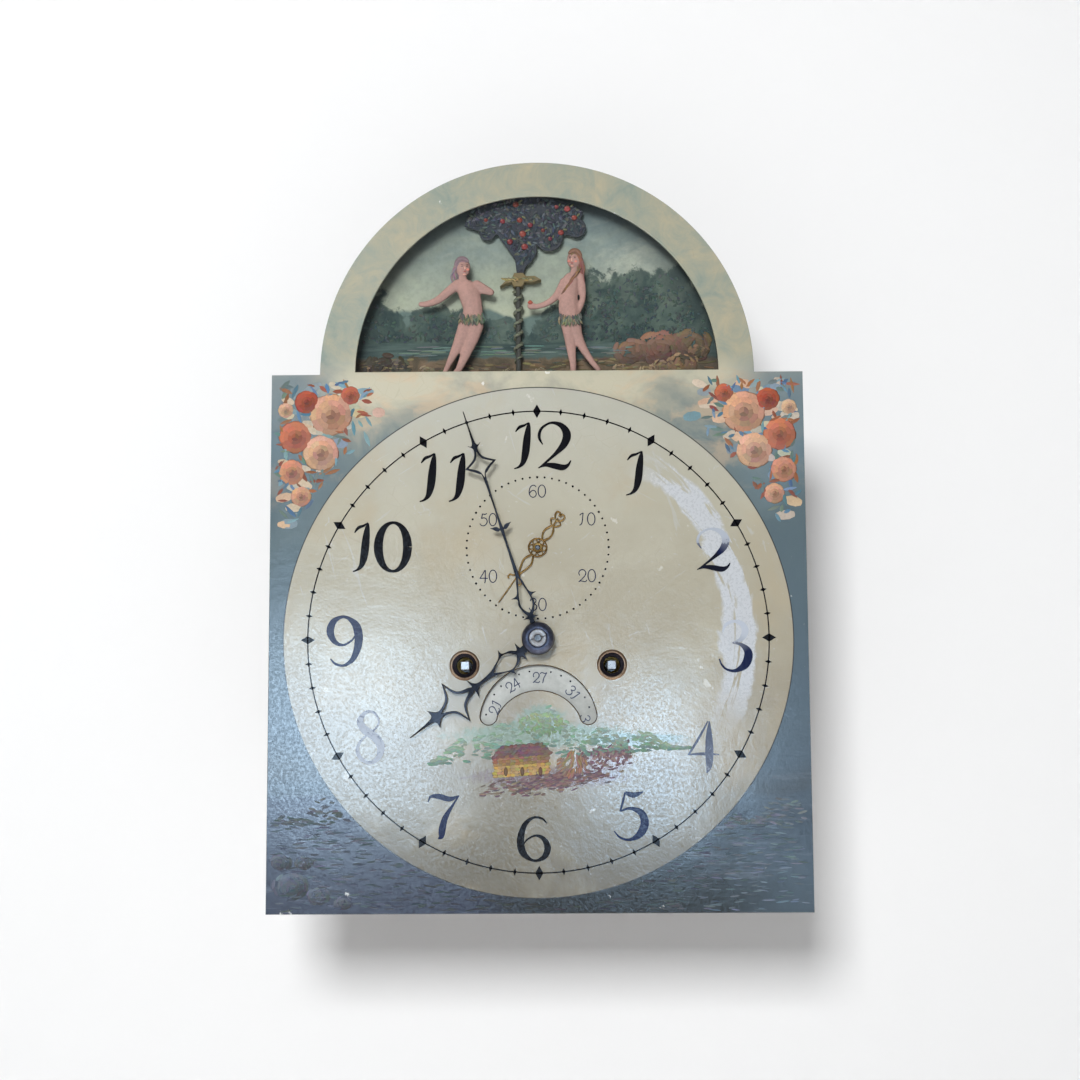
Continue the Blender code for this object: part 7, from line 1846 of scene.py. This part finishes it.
def makeTurnings():
    mirrored = [(radius, -y) for radius, y in reversed(pillarHalf[:-1])]
    pillar = [(0, -plateFace)] + pillarHalf + mirrored + [(0, plateFace)]
    for level in ("lower", "upper"):
        for side in ("left", "right"):
            turnedPiece(f"pillar_{level}_{side}", pillar, 56, "brass")
            node = f"dial_foot_{level}_{side}"
            front, back, radius = depthsOf(node)
            foot = [(0, front), (radius, front), (radius, front + 1.4), (radius - 0.6, front + 2),
                    (3.4, front + 3.2), (3.1, front + 8), (3.1, back - 6), (3.6, back - 5.4),
                    (3.6, back - 3.6), (3.1, back - 3), (3.1, back), (0, back)]
            turnedPiece(node, foot, 40, "steel")
    for side in ("left", "right"):
        node = "backdrop_post_" + side
        front, back, radius = depthsOf(node)
        post = [(0, front), (radius, front), (radius, front + 1), (2.2, front + 1.6), (2.2, back - 1.6),
                (radius, back - 1), (radius, back), (0, back)]
        turnedPiece(node, post, 32, "steel")
        node = "seat_bolt_" + side
        low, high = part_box(node)
        foot, top = low.z / mm, high.z / mm
        bolt = [(0, foot), (2.6, foot), (3, foot + 0.4)]
        for k in range(4):
            bolt += [(3, foot + 0.6 + k * 0.6), (2.75, foot + 0.9 + k * 0.6)]
        bolt += [(3, foot + 3), (3, top), (0, top)]
        nut = [(3, foot + 3), (6.5, foot + 3), (7, foot + 3.5), (7, foot + 7.5),
               (6.5, foot + 8), (3, foot + 8)]
        x, y, z = centre(low, high)
        parts = [(upended(lathed(0, 0, bolt, 32), x, y), "steel"),
                 (upended(lathed(0, 0, nut, 6, True), x, y), "steel")]
        placed(camel(node), parts, "frame", "steel", node)
    makeBell()


def makeBell():
    low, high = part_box("bell")
    x, y, z = centre(low, high)
    wide, tall, foot = (high.x - low.x) / 2 / mm, (high.z - low.z) / mm, low.z / mm
    curve = [(1, 0), (0.955, 0.1), (0.9, 0.24), (0.85, 0.42), (0.79, 0.6), (0.7, 0.75), (0.56, 0.88),
             (0.36, 0.965), (0.09, 1)]
    hole, wall = 3.2, 2.4
    curve = through(curve, 5)
    profile = [(wide * a, foot + tall * b) for a, b in curve[:-1]] + [(hole, foot + tall),
            (hole, foot + tall - wall)]
    inner = [(max(hole, a * wide - wall), foot + b * (tall - wall)) for a, b in reversed(curve)]
    profile += [point for point in inner if point[0] > hole + 0.1]
    bell = upended(lathed(0, 0, profile, 120, True), x, y)
    placed("bell", [(bell, "bellMetal")], "frame", "bell_metal", "bell")
    low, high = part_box("bell_stand")
    standX, back, base, under = low.x / mm + 2.5, high.y / mm - 2.0, low.z / mm + 2.2, 188.6
    route = [(standX, 35.3, base), (standX, back - 3, base), (standX, back, base + 3),
             (standX, back, under - 3), (standX + 1, back - 3, under), (x / mm - 1, y / mm + 4, under),
             (x / mm, y / mm, under + 4), (x / mm, y / mm, high.z / mm - 1)]
    run = inMetres(through(route, 5))
    top = high.z / mm
    nut = [(2.2, top - 4), (4.6, top - 4), (5, top - 3.6), (5, top - 0.5), (4.5, top), (0, top)]
    foot = [(0, 35.3), (5.2, 35.3), (5.2, 36.6), (4.4, 37.2), (2.6, 37.4), (0, 37.4)]
    parts = [(tubeMesh(run, 2.5 * mm, 20), "steel"), (upended(lathed(0, 0, nut, 6), x, y), "steel"),
             (lathed(standX * mm, base * mm, foot, 32), "steel")]
    placed("bellStand", parts, "frame", "steel", "bell_stand")
    x, z = spot("hammer_lift")
    stem = lathed(x, z, stemProfile(2.0), 32)
    shaft = through([(-74, 8, z / mm), (-73.4, 8, z / mm + 22), (-71.7, 8, z / mm + 52), (-71.5, 8, 193.8)],
                    8)
    head = [(0, -80), (4.2, -80), (5, -79.2), (5, -76.6), (4.5, -76), (4.5, -70), (5, -69.4), (5, -64.4),
            (4.2, -63.3), (2.4, -63), (0, -63)]
    knob = lathed(0, 0, head, 40)
    knob.transform(Matrix.Translation((0, 8 * mm, 193.8 * mm)) @ Matrix.Rotation(-pi / 2, 4, "Z"))
    pinX, pinZ = spot("pin_wheel_turn")
    toward = atan2(pinZ - z, pinX - x)
    side = (-sin(toward) * 1.5 * mm, cos(toward) * 1.5 * mm)
    end = (x + 7.8 * mm * cos(toward), z + 7.8 * mm * sin(toward))
    tail = [(x + side[0], z + side[1]), (x - side[0], z - side[1]),
            (end[0] - side[0] * 0.7, end[1] - side[1] * 0.7),
            (end[0] + side[0] * 0.7, end[1] + side[1] * 0.7)]
    parts = [(stem, "steel"), (tubeMesh(inMetres(shaft), 1.5 * mm, 16), "steel"),
             (knob, "steel"), (flatMesh([tail], 24 * mm, 29 * mm, 0.15 * mm, 1), "steel"),
             (lathed(x, z, [(2, 4.5), (4, 4.5), (4, 11.5), (2, 11.5)], 32, True), "brass")]
    placed("hammer", parts, "hammer", "steel", "hammer")


makeTurnings()


# screws, and bushes round the pivots of the back plate
def makeFittings():
    parts = []

    def screw(x, y, z, radius, facing, turn):
        deep = 1.3 * facing
        head = [(0, y), (radius, y), (radius, y + deep * 0.7), (radius - 0.4, y + deep), (0, y + deep)]
        parts.append((lathed(x * mm, z * mm, head, 28), "bluedSteel"))
        c, s = cos(turn), sin(turn)
        long, half = radius * 0.98, 0.28
        # painted shade: the slot is a black bar standing in for the shade in its groove
        slot = [((x + a * c - b * s) * mm, (z + a * s + b * c) * mm) for a,
                b in oblong(-long, long, -half, half)]
        ends = sorted((y + deep * 0.4, y + deep + 0.03 * facing))
        parts.append((flatMesh([slot], ends[0] * mm, ends[1] * mm, 0.01 * mm, 1), "blackWax"))
    anchorX, anchorZ = spot("anchor_swing")
    for side, turn in ((-1, 0.6), (1, 2.1)):
        screw(anchorX / mm + side * 19.5, 48.3, anchorZ / mm, 3.0, 1, turn)
        screw(side * 24, -43.0, handZ / mm, 2.6, -1, turn)
    for joint in ("great_turn", "strike_great_turn", "centre_turn", "third_turn", "escape_turn",
                  "pin_wheel_turn", "hoop_turn", "warning_turn", "fly_turn", "hammer_lift",
                  "lifting_lever_lift"):
        x, z = spot(joint)
        inner = 3.85 if "great" in joint else 1.05
        ring = [(inner, 34.6), (inner + 0.2, 35.0), (inner + 0.9, 35.22), (inner + 1.7, 35.22),
                (inner + 2.0, 34.9), (inner + 2.0, 34.6)]
        parts.append((lathed(x, z, ring, 40, True), "gilt"))
    for x in (-85, 85):
        for level in ("lower", "upper"):
            z = centre(*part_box(f"pillar_{level}_{'left' if x < 0 else 'right'}"))[2]
            pin = [((x - 5.4) * mm, -35.9 * mm, z - 1.4 * mm), ((x + 5.6) * mm, -35.7 * mm, z + 1.4 * mm)]
            parts.append((tubeMesh(pin, [0.5 * mm, 0.85 * mm], 12), "steel"))
    placed("plateFittings", parts, "frame", "steel")


makeFittings()
print("train, barrels, motion work and bell made")

# flat and shaped pieces of the movement, with their edges softened
refinedFinish = {"brass": ["front_plate", "back_plate", "back_cock", "hour_bridge", "rocker_bar",
        "man_rocker", "woman_rocker"], "steel": ["date_post", "minute_stud", "going_click", "strike_click",
        "anchor", "crutch", "lifting_lever"], "oak": ["seatboard"], }
bodyOf = {"going_click": "great", "strike_click": "strike_great", "anchor": "anchor", "crutch": "anchor",
          "man_rocker": "man", "woman_rocker": "woman", "rocker_bar": "rocker_bar",
          "lifting_lever": "lifting_lever"}


def refinedMesh(node, width=0.18 * mm):
    work = bmesh.new()
    work.from_mesh(frame["nodes"][node].data)
    bmesh.ops.remove_doubles(work, verts=work.verts, dist=2e-6)
    bmesh.ops.dissolve_limit(work, angle_limit=radians(1), verts=work.verts, edges=work.edges)
    sharp = [edge for edge in work.edges if len(edge.link_faces) == 2
             and edge.calc_face_angle(0) > radians(40)]
    bmesh.ops.bevel(work, geom=sharp, offset=width, segments=2, profile=0.5, affect="EDGES",
                    clamp_overlap=True)
    bmesh.ops.recalc_face_normals(work, faces=work.faces)
    return softened(settled(work), 50)


def makeMovement():
    for finish, nodes in refinedFinish.items():
        for node in nodes:
            piece = assembled(camel(node), [(refinedMesh(node), finish)])
            seated(piece, bodyOf.get(node, "frame"), finish, node)


makeMovement()
print("movement refined")


def makeStage():
    paint = stagePaint("stagePaint")
    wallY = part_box("seatboard")[1].y + stageSettings["wallGap"]
    floorZ = dialLow.z - stageSettings["floorDrop"]
    half = stageSettings["half"]
    mesh = bpy.data.meshes.new("backdrop")
    cove = 0.12
    curve = [(wallY, floorZ + 2 * half)] + [(wallY - cove + cove * cos(a), floorZ + cove - cove * sin(a))
            for a in [pi / 2 * k / 12 for k in range(13)]]
    curve.append((wallY - 2 * half, floorZ))
    points = [(side * half, y, z) for y, z in curve for side in (-1, 1)]
    faces = [(2 * k, 2 * k + 2, 2 * k + 3, 2 * k + 1) for k in range(len(curve) - 1)]
    mesh.from_pydata(points, [], faces)
    mesh.materials.append(paint)
    mesh.shade_smooth()
    linked("backdrop", mesh)


makeStage()


# lights, world and camera
def areaLight(name, place, aim, width, height, power, colour, glossy=True, diffuse=True):
    lamp = bpy.data.lights.new(name, "AREA")
    lamp.shape = "RECTANGLE"
    lamp.size = width
    lamp.size_y = height
    lamp.energy = power
    lamp.color = colour
    holder = linked(name, lamp)
    holder.location = place
    holder.rotation_euler = (Vector(aim) - Vector(place)).to_track_quat("-Z", "Y").to_euler()
    holder.visible_glossy = glossy
    holder.visible_diffuse = diffuse


lightSettings = dict(key=dict(place=(-0.3, -1.9, 0.7), aim=(0, dialFront, 0.15), width=0.52, height=0.52,
        power=34.0, colour=(0.985, 0.993, 1.0), glossy=False), window=dict(place=(-0.35, -1.9, 0.02),
        aim=(0, dialFront, 0.05), width=0.36, height=0.34, power=3.7, colour=(0.58, 0.79, 1.0),
        diffuse=False), glint=dict(place=(0.165, -1.9, -0.035), aim=(0, dialFront, 0.05), width=0.2,
        height=0.26, power=1.8, colour=(0.5, 0.74, 1.0), diffuse=False), rear=dict(place=(0.9, 1.4, 0.9),
        aim=(0, 0, 0.12), width=0.9, height=0.9, power=40.0, colour=(1.0, 0.98, 0.95)),
                     rearFill=dict(place=(-1.1, 1.3, 0.6), aim=(0, 0, 0.12), width=0.9, height=0.9,
        power=24.0, colour=(1.0, 0.98, 0.95)), )
for name, light in lightSettings.items():
    areaLight(name + "Light", **light)

world = bpy.data.worlds.new("studio")
bpy.context.scene.world = world
sky = freshBoard(world)
seen = sky.node("ShaderNodeLightPath", out="Is Camera Ray")
x, y, z = sky.node("ShaderNodeTexCoord", out="Generated").split()
around = stageSettings["world"] + y.smooth(-0.1, 0.8) * stageSettings["behind"] + z.smooth(0.2, 1.0) * 0.12
around = around + seen * (stageSettings["seen"] - around)
sky.node("ShaderNodeBackground", {"Color": (1, 1, 1, 1), "Strength": around}).ends("ShaderNodeOutputWorld")

cameraSettings = dict(distance=1.0, azimuth=0.647, elevation=-5.942, roll=-0.312, lens=54.194,
                      target=(1.5 * mm, dialFront, 149 * mm))


def makeCamera():
    azimuth, elevation, roll = (radians(cameraSettings[key]) for key in ("azimuth", "elevation", "roll"))
    back = Vector((sin(azimuth) * cos(elevation), -cos(azimuth) * cos(elevation),
                   sin(elevation)))
    right = (-back).cross(Vector((0, 0, 1))).normalized()
    up = right.cross(-back)
    leanRight = cos(roll) * right + sin(roll) * up
    leanUp = cos(roll) * up - sin(roll) * right
    lens = bpy.data.cameras.new("camera")
    lens.lens = cameraSettings["lens"]
    lens.sensor_width = 36
    lens.clip_start = 0.01
    camera = linked("camera", lens)
    turn = Matrix((leanRight, leanUp, back)).transposed().to_4x4()
    camera.matrix_world = Matrix.Translation(Vector(cameraSettings["target"])
            + cameraSettings["distance"] * back) @ turn
    bpy.context.scene.camera = camera


makeCamera()
print("stage, lights and camera set")
